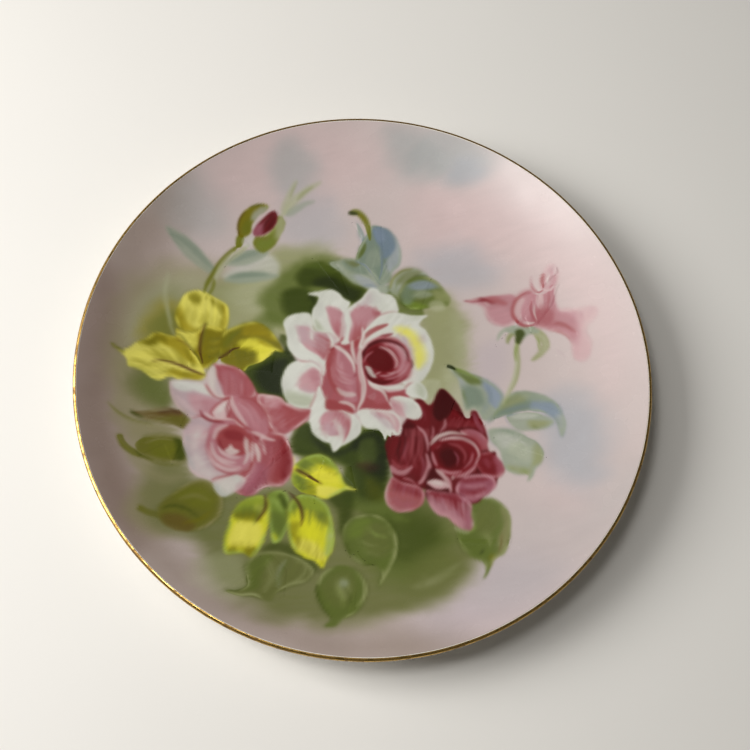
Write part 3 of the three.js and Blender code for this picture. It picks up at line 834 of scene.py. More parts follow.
    Petal(Wash(Tint.WHITE, (20.4, -2.4, 22.4, 0.4, 26, 2, 28.6, 0.6, 30.8, -3.6, 30, -6.6, 26.6, -6.2, 23,
        -6, 20.6, -4.6), 0.6), (
        Wash(Tint.CELADON, (25, 1, 30, 0, 31, -7, 27, -6), 2.5, 0.8, 110),)),
    Petal(Wash(Tint.WHITE, (12.8, -9.8, 14.6, -7.6, 18.6, -6.4, 23, -6.9, 26.8, -8.8, 29.2, -12.4, 29.2,
        -15.4, 27, -17, 22, -16.8, 18, -15.4, 14.6, -13), 0.5), (
        Wash(Tint.BLUSH, (13, -10, 16, -10, 20, -11, 21, -14, 22, -17, 15, -15, 12, -12), 2.2, 0.85, 160),
        Wash(Tint.PEARL, (21, -9, 24, -9, 25, -14, 22, -15), 2.5, 0.6),
        Fan(Tint.ROSE, (12, -8, 12, -14), (21, -9, 22, -15), 8, 1.2, 0.45),
        Stroke(Tint.LILAC, 1.4, (20, -8.6, 21.4, -12, 20.8, -15.6), 1.2, 0.6))),
    Petal(Wash(Tint.WHITE, (-1.2, -17.8, 2, -15.4, 7, -14.8, 13, -14.4, 17, -15.4, 20, -18.4, 21, -22, 20.2,
        -25.8, 18, -26, 16.6, -24.8, 16.2, -27.4, 14.6, -26.6, 13.8, -29.2, 12.4, -26.6, 10, -24.8, 6, -25,
        3, -24.4, 1, -22), 0.5, 1, 60, 0.25, 0.4), (
        Wash(Tint.BLUSH, (8, -15, 14, -14, 19, -17, 21.4, -22, 20.4, -26, 17, -23, 14, -19, 9, -18), 3, 0.8,
            130),
        Wash(Tint.LILAC, (5, -17, 10, -17, 14, -20, 16, -24, 12, -22, 7, -19), 2.5, 0.6, 130),
        Fan(Tint.ROSE, (4, -15, 16, -15), (12, -21, 20, -23), 8, 1.2, 0.4),
        Stroke(Tint.WHITE, 3.4, (0.6, -18, 5, -19.6, 10, -22.4, 13, -26), 1.5, 0.8),
        Stroke(Tint.WHITE, 1.8, (10, -15.8, 15, -17.4, 18, -22), 1.2, 0.6),
        Stroke(Tint.LILAC, 1, (15.4, -20, 16.6, -23, 16.2, -26), 0.8, 0.8))),
    Petal(Wash(Tint.WHITE, (-20.8, -7.4, -19, -9.6, -17, -13.6, -16, -18, -12, -18, -8, -17.8, -3.4, -18.8,
        0, -21, 2, -25, 1.6, -28.6, -1.4, -32, -6, -35.6, -9, -38.6, -11.4, -35.2, -15.8, -33.8, -20, -31,
        -22.3, -26, -22.8, -20, -21.6, -14), 0.5), (
        Wash(Tint.PEARL, (-1, -21, 2, -25, 0, -31, -5, -35, -4, -28), 2.4, 0.6, 100),
        Petal(Wash(Tint.ROSE, (-16.2, -20.4, -13, -18.4, -6.4, -19, -3.6, -21.6, -3.4, -26, -5, -31.6, -7.6,
            -30.4, -12, -31, -16, -28, -17.6, -24), 1.2, 0.95, 100, 0.5), (
            Wash(Tint.BLUSH, (-17, -22, -11, -22, -8, -27, -12, -31, -17, -28), 2.6, 0.85, 100),
            Wash(Tint.LILAC, (-16, -25, -12, -25, -9, -30, -13, -31), 2.5, 0.6, 110),
            Wash(Tint.ROSE_DEEP, (-12, -18, -6, -18.6, -3.6, -22, -4, -26, -7, -22), 1.6, 0.7, 120))),
        Fan(Tint.BLUSH, (-15, -19, -4, -20), (-18, -30, -3, -33), 9, 1.8, 0.45),
        Fan(Tint.ROSE_DEEP, (-12, -18.6, -4, -20), (-13, -27, -5, -28), 6, 0.9, 0.45),
        Stroke(Tint.WHITE, 2.6, (-12.4, -22.6, -9, -25.4, -6.6, -30, -7.6, -36), 1, 0.85, 0.3, 0.3),
        Stroke(Tint.ROSE_DEEP, 0.8, (-3.8, -22, -3.6, -27, -5.2, -32.6), 0.6, 0.8),
        Stroke(Tint.CREAM, 1.4, (-3, -20.2, -4, -21, -7.6, -19.4), 0.8, 0.7),
        Stroke(Tint.ROSE, 0.7, (-16.8, -24, -16, -29, -13, -32.6), 0.5, 0.6))),
    Stroke(Tint.CELADON, 1.2, (-16.6, -11, -16.2, -15, -16.6, -19), 0.8, 0.5),
    Wash(Tint.BRICK, (-16, -14, -10, -13.6, -5, -14.6, -2.4, -18.6, -8, -17.8, -15.4, -18.4), 1.2, 0.85, 10,
        0.4),
    Petal(Wash(Tint.ROSE, (-18.6, 10, -17.4, 13.4, -15.6, 14.2, -12, 12.6, -8, 9, -5, 4, -3.8, -1, -3, -6,
        -2, -12.4, -6, -12.8, -11, -11, -15, -7, -18, -1, -19.3, 5), 0.7, 1, 110, 0.4), (
        Stroke(Tint.BRICK, 4.4, (-17, 14, -18.6, 7, -17.6, 0, -14, -7, -8, -11.6), 2.2, 0.9, 0.1, 0.3),
        Stroke(Tint.ROSE_DEEP, 2.4, (-15, 8, -14.6, 1, -11, -5, -6, -8), 1.8, 0.6),
        Stroke(Tint.BLUSH, 2.4, (-12, 7, -11.4, 1, -8, -2.6, -4, -3), 1.8, 0.75),
        Stroke(Tint.SHELL, 0.7, (-14, -0.6, -10.4, -3.6, -4.6, -4), 0.5, 0.6),
        Stroke(Tint.SHELL, 0.6, (-13.4, 2.6, -10.6, -1.4, -5.6, -2), 0.5, 0.5),
        Stroke(Tint.CREAM, 2.6, (-12.6, -6.8, -9, -9.4, -2.6, -9.2), 1.2, 0.9, 0.4, 0.2),
        Fan(Tint.BLUSH, (-14, 12, -17, 3), (-5, -1, -3, -9), 9, 0.9, 0.5, 0.3, -0.24),
        Fan(Tint.BRICK, (-15, 12, -18, 4), (-6, 1, -4, -11), 6, 0.7, 0.45, 0.3, -0.26),
        Stroke(Tint.CRIMSON, 1, (-4.4, 6, -4, 1.4, -5.6, -0.6), 0.6, 0.6)), 0.4),
    Stroke(Tint.CRIMSON, 0.9, (-18.8, 11.4, -16.6, 13.2), 0.5, 0.6),
    Stroke(Tint.CREAM, 2.3, (-17.4, 14.2, -12.6, 12.6, -8.6, 9.4, -6, 5.6, -5.2, 1.6), 0.7, 0.95, 0.15,
        0.5),
    Stroke(Tint.CRIMSON, 0.6, (-14, 14, -9, 11.6, -6.2, 8, -4.8, 4.6), 0.5, 0.55),
    Stroke(Tint.CREAM, 2, (-8.6, 18.2, -8, 14, -6.4, 9.6, -4.8, 6), 0.7, 0.9, 0.15, 0.5),
    Stroke(Tint.CREAM, 1.8, (-4.8, 26, -3.6, 21, -4.6, 16.6, -5, 14), 0.7, 0.9, 0.3, 0.4),
    Stroke(Tint.CREAM, 2.7, (-4.4, 15, -3.6, 8, -2, 2, 0.2, -4, 0.6, -10, -1.2, -17.4), 0.8, 0.95, 0.15,
        0.35),
    Stroke(Tint.ROSE_DEEP, 0.8, (-2.2, 9, -0.6, 3, 1.8, -3, 2, -10, 0.4, -15), 0.6, 0.75),
    Stroke(Tint.BLUSH, 0.9, (-4.2, 12, -3.8, 6, -2.4, -1, -1.2, -8), 0.7, 0.5),
    Stroke(Tint.CRIMSON, 1, (7.6, -3.4, 11, -5.8, 13.6, -10.6), 0.6, 0.8),
    Stroke(Tint.CREAM, 1.9, (2.6, -2.2, 7.6, -3.8, 11, -7, 12.6, -10.4), 0.6, 0.95, 0.2, 0.4),
    Stroke(Tint.CREAM, 1.7, (-10.6, -13.9, -6.4, -13.8, -3.4, -15, -1.8, -17.4), 0.6, 0.9, 0.25, 0.3),
    Stroke(Tint.BLUSH, 0.8, (2.4, -9.4, 5, -8, 6, -6.2), 0.5, 0.7),
    Stroke(Tint.BLUSH, 0.8, (3, -9.8, 5.8, -9.6, 6.4, -7), 0.5, 0.6),
)

CRIMSON_ROSE_MARKS: tuple[Mark, ...] = (
    Wash(Tint.WINE, (25, -7.4, 28, -6.4, 32, -9, 34, -6.4, 35, -2.6, 36.6, 0, 38.2, 0.2, 41, -1.6, 44.6, -5,
        47.4, -8.4, 50, -12.4, 52, -12.2, 52.4, -8.6, 54.4, -8.4, 57, -12, 59.4, -16, 61.4, -21, 61.6, -25,
        63, -28, 65.4, -27.2, 66.4, -30.6, 69, -33, 70.4, -36.6, 68, -40, 67.2, -44, 64.6, -47.6, 62, -50,
        60, -53, 57.4, -54, 50, -54, 40, -52, 35, -50, 31, -49.6, 24, -48, 20, -46, 18, -42, 15.4, -36,
        14.2, -31, 15.2, -27.4, 19, -25.6, 21, -21, 22.4, -17.4), 0.8, 1, 80, 0.3),
    Wash(Tint.OXBLOOD, (34.4, -7, 35, -3, 36.6, -0.2, 38.4, 0, 41, -2, 43.6, -6, 42.6, -12, 38, -16, 34.6,
        -13), 1.5, 0.95, 100),
    Stroke(Tint.OXBLOOD, 2.2, (41, -2, 45.6, -8, 50, -13.6), 1.5, 0.6),
    Wash(Tint.CRIMSON, (26, -9, 30, -9, 33, -13, 33, -20, 28, -20, 23, -17), 2.5, 0.6, 80, 0.6),
    Stroke(Tint.MAUVE, 0.8, (26.4, -8.2, 30, -12, 31.6, -17), 0.7, 0.35),
    Wash(Tint.CRIMSON, (44, -10, 50, -14, 56, -12, 60, -19, 56, -18, 48, -18, 42, -18), 2.5, 0.7, 150, 0.6),
    Stroke(Tint.MAUVE, 2.2, (53.4, -9, 55.6, -14, 59.6, -19.4), 1.2, 0.75, 0.3, 0.3, 0.7),
    Wash(Tint.OXBLOOD, (23, -18, 27, -20, 26, -26, 20, -25), 3, 0.6, 80),
    Wash(Tint.CRIMSON, (17, -29, 24, -26, 31, -28, 33, -36, 31, -45, 26, -42, 20, -42, 17, -36), 3, 0.55,
        85, 0.6),
    Fan(Tint.ROSE_DEEP, (22, -22, 34, -20), (20, -44, 32, -46), 12, 1.3, 0.4, 0.5, 0.08),
    Fan(Tint.OXBLOOD, (20, -26, 34, -24), (18, -40, 33, -44), 9, 1.2, 0.5, 0.5, 0.08),
    Fan(Tint.ROSE_DEEP, (42, -18, 54, -18), (46, -10, 57, -12), 8, 1.2, 0.4),
    Fan(Tint.MAUVE, (56, -24, 58, -36), (64, -26, 69, -38), 9, 1.3, 0.4),
    Stroke(Tint.ROSE_DEEP, 2.6, (27.4, -20.6, 26.4, -27, 27, -34, 30.4, -41), 2, 0.45, 0.3, 0.4, 0.8),
    Stroke(Tint.ROSE_DEEP, 2.4, (30.8, -24, 30.6, -31, 32.4, -38), 1.6, 0.5, 0.3, 0.4, 0.8),
    Stroke(Tint.MAUVE, 1.6, (24.6, -28, 23.6, -34, 26, -40), 1.4, 0.4, 0.3, 0.4, 0.8),
    Stroke(Tint.OXBLOOD, 1.6, (21.6, -27, 20.6, -34, 22.6, -40), 1.4, 0.55),
    Stroke(Tint.BLUSH, 1.6, (27.6, -20, 31.4, -22.6, 33.6, -27, 34.4, -32), 0.8, 0.9, 0.2, 0.4),
    Stroke(Tint.BLUSH, 2.5, (33.6, -32.6, 35.6, -37, 35, -42.6, 33, -46.6, 30, -49.8), 0.8, 0.9, 0.2, 0.45),
    Stroke(Tint.MAUVE, 1.4, (31.6, -34, 33.4, -39, 32.4, -44.6), 1, 0.5),
    Stroke(Tint.BLUSH, 2.6, (17.8, -40.8, 20.6, -43.6, 24.4, -43.6, 28.4, -39.6), 0.9, 0.9, 0.2, 0.4),
    Stroke(Tint.ROSE_DEEP, 2, (18, -38, 21.6, -41.2, 26, -40), 1.4, 0.6),
    Stroke(Tint.BLUSH, 1.5, (40.6, -14.2, 40.8, -18, 38.6, -21.6), 0.8, 0.8, 0.3, 0.5),
    Stroke(Tint.BLUSH, 1.2, (35.2, -18.8, 35.8, -22.6, 34.8, -25.8), 0.7, 0.75),
    Petal(Wash(Tint.ROSE_DEEP, (48, -19.4, 53, -17.8, 58, -19.2, 61.4, -22.4, 61.6, -26, 63.4, -29, 59, -30,
        56, -26, 52, -22), 1.2, 0.95, 160, 0.5), (
        Stroke(Tint.MAUVE, 2.6, (51, -18.6, 57, -20, 61, -25), 1.6, 0.7),
        Stroke(Tint.CRIMSON, 1.8, (49, -21.6, 55, -23, 59, -28.4), 1.2, 0.6))),
    Petal(Wash(Tint.CRIMSON, (58, -30, 64, -28, 69, -33, 70.4, -36.6, 68, -40, 62, -40, 58, -36), 1.5, 0.9,
        120, 0.6), (
        Stroke(Tint.MAUVE, 3.4, (65, -29, 68, -33.6, 67.6, -38.6), 1.8, 0.8, 0.2, 0.3, 0.7),
        Stroke(Tint.MAUVE, 2.2, (61, -31, 63.6, -36), 1.8, 0.5))),
    Petal(Wash(Tint.MAUVE, (52, -42, 58, -39.6, 65, -39.6, 67.4, -43.6, 64.6, -47.8, 61, -51, 58, -53.6, 52,
        -53.4, 49, -48), 1.6, 0.9, 20, 0.6), (
        Stroke(Tint.CRIMSON, 2.4, (50, -44, 57, -42.4, 64, -41), 1.6, 0.75, 0.3, 0.3, 0.6),
        Stroke(Tint.CRIMSON, 2.2, (50, -48.4, 57, -48.6, 63, -46), 1.4, 0.7, 0.3, 0.3, 0.6),
        Stroke(Tint.BLUSH, 2, (53, -51.6, 59, -50.4, 64, -46.6), 1.4, 0.7, 0.3, 0.3, 0.6),
        Stroke(Tint.BLUSH, 1.2, (52, -45.8, 58, -45.6, 63, -43.6), 1, 0.6, 0.3, 0.3, 0.6))),
    Petal(Wash(Tint.MAUVE, (35.4, -50.6, 37, -55.4, 40, -59.4, 43, -61.4, 47, -62.2, 50.6, -65, 54, -66.8,
        57.6, -67, 58.8, -64, 57.4, -59.4, 57.2, -54.6, 52, -51, 44, -49.6), 1.2, 1, 150, 0.5), (
        Wash(Tint.CRIMSON, (36, -50, 44, -49, 52, -51, 51, -56, 44, -53, 38, -53), 3, 0.75, 150, 0.6),
        Wash(Tint.BLUSH, (37, -56, 41, -61, 48, -63, 54, -67, 54, -63, 46, -59, 40, -56), 2.6, 0.65, 155,
            0.6),
        Wash(Tint.HAZE_BLUE, (35, -54, 38, -58, 42, -61.6, 40, -62, 36, -58), 2, 0.6, 140),
        Stroke(Tint.CRIMSON, 2.4, (48, -53, 52, -58, 55.4, -62.4), 1.8, 0.6, 0.3, 0.4, 0.7),
        Stroke(Tint.BLUSH, 2.2, (45, -55, 49, -59.4, 52, -63.4), 1.6, 0.6, 0.3, 0.4, 0.7),
        Stroke(Tint.CELADON, 1.8, (57.4, -58, 59, -61.4, 57.6, -65.4), 1.4, 0.7))),
    Stroke(Tint.MIST_PALE, 2, (50, -66.2, 54, -67.6, 57.6, -67.8), 1.2, 0.7, 0.3, 0.3, 0.7),
    Petal(Wash(Tint.ROSE_DEEP, (19.4, -46.6, 17.6, -51, 17.2, -55.6, 18.6, -59.6, 22.4, -62.4, 27.6, -62.2,
        32, -60.2, 35, -57, 35.2, -52, 33, -49.4, 29, -48.4, 24, -48), 0.7, 1, 0, 0.4), (
        Wash(Tint.CRIMSON, (20, -47, 27, -46.6, 35, -49, 34, -54, 27, -52.6, 21, -52), 3, 0.75, 0, 0.6),
        Stroke(Tint.CREAM, 1.5, (19, -48, 17.6, -53.4, 18.6, -58.6, 22, -61.8), 0.8, 0.85, 0.3, 0.4),
        Stroke(Tint.BLUSH, 1.8, (20, -60, 25.6, -62, 31.6, -59.8), 1.2, 0.75),
        Stroke(Tint.MAUVE, 3, (20.4, -56, 26, -59, 32.4, -56.6), 2.4, 0.5))),
    Fan(Tint.BLUSH, (38, -52, 54, -54), (40, -60, 57, -66), 10, 1.3, 0.4),
    Fan(Tint.CRIMSON, (38, -51, 55, -53), (42, -58, 56, -62), 8, 1.1, 0.5),
    Fan(Tint.MAUVE, (21, -49, 33, -50), (19, -59, 33, -58), 8, 1.3, 0.4),
    Stroke(Tint.CRIMSON, 2, (20, -46, 26, -46.8, 33, -48.6), 1, 0.8),
    Stroke(Tint.BLUSH, 1.4, (24, -46.2, 28, -46.6, 31, -48.6), 0.9, 0.6),
    Wash(Tint.CRIMSON, (35, -31, 38, -25, 44, -21.6, 52, -21.4, 57.6, -25, 59.4, -31, 57, -37.6, 51, -41.6,
        44, -42, 38, -38.6), 1.5, 1, 30),
    Wash(Tint.WINE, (37, -32, 39.6, -27.4, 44.6, -25.4, 50, -27, 53.4, -31, 52, -36.4, 47, -39, 41, -37.6),
        1.6, 1, 30),
    Wash(Tint.OXBLOOD, (40, -31.4, 44, -28.6, 48.4, -31, 48, -36, 43.6, -37.6), 3, 0.8, 30),
    Stroke(Tint.OXBLOOD, 1.5, (36.4, -27.4, 41.6, -23.6, 48, -22.6, 54, -24.2, 57, -28), 0.8, 0.7),
    Stroke(Tint.CREAM, 2, (34.8, -28.6, 38, -24, 44, -21, 51.6, -20.8), 0.7, 0.92, 0.2, 0.5),
    Stroke(Tint.SHELL, 1.9, (38.6, -25.8, 44.6, -23.4, 51, -23.2, 56, -25.8, 58.2, -30, 56.8, -34.6), 0.7,
        0.92, 0.25, 0.5),
    Stroke(Tint.BLUSH, 1.5, (58, -31.4, 56.4, -36.4, 52, -40.4, 47.4, -41.8), 0.7, 0.85, 0.2, 0.5),
    Stroke(Tint.BLUSH, 1.3, (55.4, -29, 54.6, -33.6, 51.4, -38), 0.8, 0.65),
    Stroke(Tint.ROSE_DEEP, 1.8, (43, -26.2, 48.6, -27.2, 52, -31, 51.4, -35.6), 0.9, 0.75),
    Stroke(Tint.MAUVE, 1, (46.2, -29.6, 48.6, -32.8, 48.4, -37), 0.6, 0.75),
    Stroke(Tint.ROSE_DEEP, 1, (37.6, -30, 40.4, -27.4), 0.6, 0.6),
    Stroke(Tint.BLUSH, 1.8, (36.2, -31.4, 37.6, -35, 39.6, -38.4), 0.6, 0.85, 0.3, 0.4),
    Stroke(Tint.BLUSH, 1.5, (40.4, -39.2, 45.6, -40.6, 51.6, -39), 0.7, 0.88, 0.3, 0.3),
    Stroke(Tint.BLUSH, 1.6, (48, -42.6, 53, -40.4, 57.4, -36.2), 0.8, 0.7),
    Stroke(Tint.OXBLOOD, 1.4, (35.4, -29.6, 35.6, -34, 38.4, -39.6), 0.8, 0.7),
    Wash(Tint.OXBLOOD, (36, -40, 40, -40, 47, -50, 44, -50.4, 36, -49.6), 2, 0.7),
    Petal(Wash(Tint.SHELL, (35.4, -46.6, 38, -44.8, 41.6, -44.6, 44.6, -45.6, 46.2, -47.4, 43.4, -48.6,
        39.6, -49), 0.7, 0.95, 0), (
        Stroke(Tint.CREAM, 1.8, (36, -46.2, 40, -46, 44, -47), 1, 0.8),)),
    Stroke(Tint.SHELL, 2.3, (38.8, -39.6, 42.6, -42.2, 45.4, -45.8, 47.6, -49.6), 0.8, 0.9, 0.2, 0.4),
    Stroke(Tint.BLUSH, 1.4, (44.6, -42, 46.4, -45.6, 46.8, -50.6), 0.8, 0.75),
    Stroke(Tint.SHELL, 1.6, (47.8, -41.6, 46.8, -43.8), 0.8, 0.85),
)

PINK_ROSE_MARKS: tuple[Mark, ...] = (
    Wash(Tint.ROSE_DEEP, (-70, -5, -64, -4.4, -58, -6, -53, -10.4, -49, -15.4, -43, -15.8, -38, -16, -34,
        -19, -28, -20.2, -22, -20.4, -23, -24.4, -28, -30, -33, -33, -36, -40, -38, -56, -48, -62, -58, -60,
        -68, -52, -70, -40, -70, -32, -66, -22), 1.2, 1, 60, 0.3),
    Petal(Wash(Tint.LILAC, (-89.6, -18, -86, -16.4, -80, -15.6, -74.6, -15.4, -70, -17.4, -65, -20.4, -62,
        -24, -64, -31, -70, -33, -76, -33.6, -82, -31, -86.4, -27, -88.6, -22.6), 1.2, 0.95, 20, 0.3), (
        Wash(Tint.BLUSH, (-80, -22, -72, -21.4, -66, -22, -64, -30, -70, -33, -77, -29), 3, 0.8, 25, 0.5),
        Wash(Tint.ROSE, (-73, -24, -66, -23, -63, -27, -66, -31, -71, -30), 3, 0.5, 25, 0.5),
        Wash(Tint.WHITE, (-89, -17, -82, -16, -74, -15.2, -69, -18, -66, -20.4, -72, -20.8, -78, -20, -84,
            -21.4, -88, -20), 1.6, 0.92, 10),
        Stroke(Tint.PEARL, 1.4, (-84, -18.6, -83, -20.4, -79, -20.6), 1, 0.6),
        Stroke(Tint.SHELL, 2.4, (-86, -24, -80, -28, -74, -31), 2, 0.6),
        Stroke(Tint.ROSE, 0.8, (-78, -26.6, -73, -24.6, -68, -24), 0.7, 0.5),
        Wash(Tint.MIST_DEEP, (-90, -24, -84, -29, -79, -32, -84, -34, -92, -30), 4, 0.6, 40, 0.5))),
    Petal(Wash(Tint.ROSE_DEEP, (-71.6, -4.8, -68, -3.9, -64, -4, -58.6, -5.4, -54, -9, -50, -14, -49.4, -17,
        -53, -18.8, -60, -19.6, -64.6, -21, -68, -20.4, -72.6, -15.8, -73.8, -11, -73, -7.4), 0.7, 1, 120,
        0.4), (
        Wash(Tint.ROSE, (-67, -7, -60, -8, -55, -14, -58, -19, -65, -20, -67.6, -13), 3, 0.6, 120, 0.6),
        Stroke(Tint.BRICK, 1.7, (-70.6, -6.2, -65, -4.8, -59, -6.2, -54, -10.4), 1, 0.85),
        Fan(Tint.BRICK, (-66, -19, -52, -17), (-68, -6, -54, -9), 10, 1.2, 0.4),
        Fan(Tint.BLUSH, (-66, -19, -52, -17), (-68, -6, -54, -9), 8, 1, 0.35),
        Stroke(Tint.BRICK, 1.2, (-69.6, -7.4, -67.6, -12, -66, -15), 0.8, 0.5),
        Wash(Tint.WHITE, (-74.4, -10, -72, -5.4, -70.4, -6.4, -69, -11, -66.6, -16, -63.6, -20.6, -67.6,
            -20.8, -72.6, -15.4), 1.1, 0.85, 110),
        Wash(Tint.LILAC, (-69.6, -12, -68, -12, -64.6, -19, -67, -20), 1.4, 0.6, 110))),
    Stroke(Tint.CREAM, 0.9, (-70.4, -4.4, -67.6, -3.8, -66, -4.2), 0.6, 0.8),
    Petal(Wash(Tint.ROSE_DEEP, (-48.6, -16.2, -43, -15.4, -38, -15.8, -34, -18.4, -28, -20, -22, -20.4, -23,
        -24, -27.6, -29.4, -32.6, -33.4, -37, -34, -41, -30, -44, -24, -48, -20), 1, 1, 150, 0.4), (
        Wash(Tint.BRICK, (-36, -19, -28, -20, -22, -20.4, -26, -27, -33, -30, -33, -24), 3, 0.55, 150, 0.6),
        Wash(Tint.BLUSH, (-46, -17, -42, -16, -38, -17.6, -38, -21, -42, -22.6, -45, -20), 2.4, 0.85, 0,
            0.7),
        Stroke(Tint.SHELL, 1, (-45.6, -17.6, -42, -16.8, -39.4, -17.2), 0.8, 0.8),
        Stroke(Tint.SHELL, 0.9, (-45.2, -19.2, -42, -18.8, -39.4, -19.6), 0.8, 0.7),
        Stroke(Tint.SHELL, 0.8, (-44, -21.4, -41.6, -20.8, -40, -21.6), 0.7, 0.6),
        Stroke(Tint.ROSE, 3, (-40, -24, -35, -28, -34, -32), 2.4, 0.6, 0.3, 0.3, 0.7),
        Fan(Tint.BRICK, (-44, -24, -36, -32), (-42, -17, -24, -22), 10, 1.2, 0.45),
        Fan(Tint.BLUSH, (-44, -24, -36, -32), (-44, -17, -26, -23), 8, 0.9, 0.4),
        Stroke(Tint.BRICK, 1, (-37.4, -18, -34, -22, -32.6, -28), 0.9, 0.6))),
    Petal(Wash(Tint.ROSE_DEEP, (-42, -33.6, -37, -33.4, -33.2, -33.6, -30, -37.6, -27.4, -43.4, -26.3, -49,
        -27.2, -54.6, -30, -58.4, -34.6, -59.6, -38, -61, -41.4, -64.8, -45.4, -66, -50.2, -64.6, -48, -59,
        -45, -52, -44.6, -42), 0.8, 1, 85, 0.4), (
        Wash(Tint.BRICK, (-37, -34, -32, -35, -28, -43, -26.4, -50, -29, -58, -34, -58, -35, -48), 4, 0.85,
            80, 0.6),
        Wash(Tint.CRIMSON, (-31, -40, -28, -44, -26, -50, -28.6, -57, -31.6, -54, -30.6, -47), 3, 0.75, 80,
            0.6),
        Wash(Tint.MAUVE, (-44, -50, -38, -50, -38, -60, -42, -65, -48, -64.6, -47, -58), 4, 0.75, 80, 0.5),
        Fan(Tint.CRIMSON, (-41, -36, -32, -36), (-42, -62, -29, -57), 12, 1.2, 0.45, 0.4, 0.08),
        Fan(Tint.ROSE, (-43, -36, -34, -36), (-46, -63, -33, -58), 9, 1.1, 0.4, 0.4, 0.08),
        Stroke(Tint.ROSE, 1.6, (-39.6, -36, -37.6, -44, -39, -53), 1.4, 0.5, 0.3, 0.3, 0.7),
        Stroke(Tint.BLUSH, 0.8, (-42.6, -50, -44, -57, -46.4, -63), 0.8, 0.5),
        Stroke(Tint.CRIMSON, 1, (-35, -36, -32, -42, -31, -50), 1, 0.5),
        Stroke(Tint.CRIMSON, 0.8, (-32.6, -58.4, -30, -57, -27.6, -54), 0.7, 0.6))),
    Petal(Wash(Tint.LILAC, (-73.6, -32.6, -77, -36, -78.6, -41, -78, -45.4, -76, -49.6, -73.6, -54.6, -71.8,
        -58.6, -68, -61, -63, -61.6, -59.6, -63, -55, -60, -50, -56, -46, -52, -50, -40, -60, -34, -66,
        -33), 0.9, 1, 120, 0.3), (
        Wash(Tint.SHELL, (-76, -38, -72, -36, -68, -38, -70, -46, -74, -50, -77, -46), 3, 0.55, 100, 0.3),
        Wash(Tint.CREAM, (-70, -50, -64, -56, -56, -58, -52, -62, -62, -63, -71, -60, -74, -55), 3, 0.6, 40,
            0.3),
        Wash(Tint.HAZE, (-79, -44, -76, -42, -74, -50, -70, -58, -73, -60, -79, -48), 3, 0.6, 110, 0.3),
        Fan(Tint.WHITE, (-66, -38, -60, -56), (-77, -40, -66, -61), 9, 2, 0.4),
        Fan(Tint.BLUSH, (-68, -36, -58, -56), (-73, -42, -60, -61), 9, 1.1, 0.4),
        Stroke(Tint.BLUSH, 1.2, (-68.6, -36, -69.4, -43, -66, -50.6), 1, 0.6),
        Stroke(Tint.WHITE, 2, (-72, -38, -72.6, -46, -69, -54), 2, 0.5))),
    Petal(Wash(Tint.PEARL, (-60.6, -62, -55, -58.6, -50, -56.6, -46.4, -58.6, -47.6, -62.6, -50.6, -65.4,
        -53, -67.6, -56, -68.4, -58.6, -66.4), 0.9, 1, 120, 0.3), (
        Wash(Tint.CREAM, (-58, -61, -52, -58, -50, -62, -54, -66), 2.5, 0.6, 120),
        Wash(Tint.MAUVE, (-50, -63, -47, -60, -45, -64, -49, -66.6), 1.8, 0.8, 120),
        Stroke(Tint.HAZE, 1.2, (-60, -62.4, -57, -66.6, -52.6, -68.4), 1, 0.6))),
    Petal(Wash(Tint.ROSE, (-61, -19.4, -58.6, -18.6, -54, -18.4, -49.6, -19.2, -45, -22.6, -41.8, -27.4,
        -40.4, -33, -41.6, -35.4, -46, -35.6, -50.4, -33.4, -55, -29.6, -59, -25), 0.7, 1, 130, 0.4), (
        Wash(Tint.ROSE_DEEP, (-57, -19, -50, -19.4, -44, -24, -44, -28, -50, -24, -55, -22), 2.4, 0.8, 130,
            0.6),
        Stroke(Tint.BRICK, 1, (-57.4, -18.8, -51, -19.2, -45.4, -22.6, -41.8, -28, -40.4, -33), 0.7, 0.8),
        Stroke(Tint.BLUSH, 1, (-55.6, -22.6, -50, -27, -46.6, -33.6), 0.8, 0.6),
        Fan(Tint.BLUSH, (-57, -19.6, -58, -25), (-42, -33, -50, -33), 8, 0.9, 0.5, 0.4, 0.12),
        Stroke(Tint.BLUSH, 0.8, (-53, -21, -47.6, -26, -44.6, -33), 0.8, 0.5)), 0.4),
    Petal(Wash(Tint.SHELL, (-67.6, -29.4, -66.4, -26, -63.4, -22.4, -60.4, -20.6, -60.2, -25, -61.4, -30.4,
        -64, -31.4), 0.7, 1, 120, 0.2), (
        Wash(Tint.BLUSH, (-62, -28, -60.4, -25, -60, -30, -62, -32), 1.4, 0.85),
        Stroke(Tint.WHITE, 2.6, (-66, -29, -64.6, -26, -62, -22.6), 1.4, 0.8))),
    Stroke(Tint.CRIMSON, 1, (-60.8, -20, -61.6, -25, -60.2, -30), 0.7, 0.6),
    Stroke(Tint.SHELL, 2.3, (-60.4, -18.8, -59.4, -23, -56, -27.6, -50.4, -32.8), 0.7, 0.92, 0.25, 0.4),
    Stroke(Tint.ROSE_DEEP, 0.9, (-61, -20.2, -60.2, -24.6, -56.6, -29.2, -51.6, -33.8), 0.6, 0.7),
    Petal(Wash(Tint.ROSE, (-67.6, -39, -66.4, -34.4, -62.4, -31.8, -57, -31, -52, -33.2, -47, -36, -44.4,
        -40, -45, -47, -48, -53, -54, -56, -61, -54.6, -65.6, -50, -67.4, -44.6), 1, 1, 30, 0.4), (
        Wash(Tint.BRICK, (-64, -40, -62.4, -35.8, -57.6, -33, -51.4, -34.6, -47.6, -38, -47, -44, -50.4,
            -47, -56, -47.4, -61.4, -45), 1.6, 0.95, 20, 0.4),
        Wash(Tint.CRIMSON, (-61, -37.6, -57, -35.6, -52, -36.6, -50, -40, -54, -40.6, -59, -40), 2.2, 0.5,
            20),
        Wash(Tint.SHELL, (-66, -46, -62, -50, -56, -52.6, -49.6, -53, -54, -56.4, -61, -55, -65, -51), 2,
            0.8, 30),
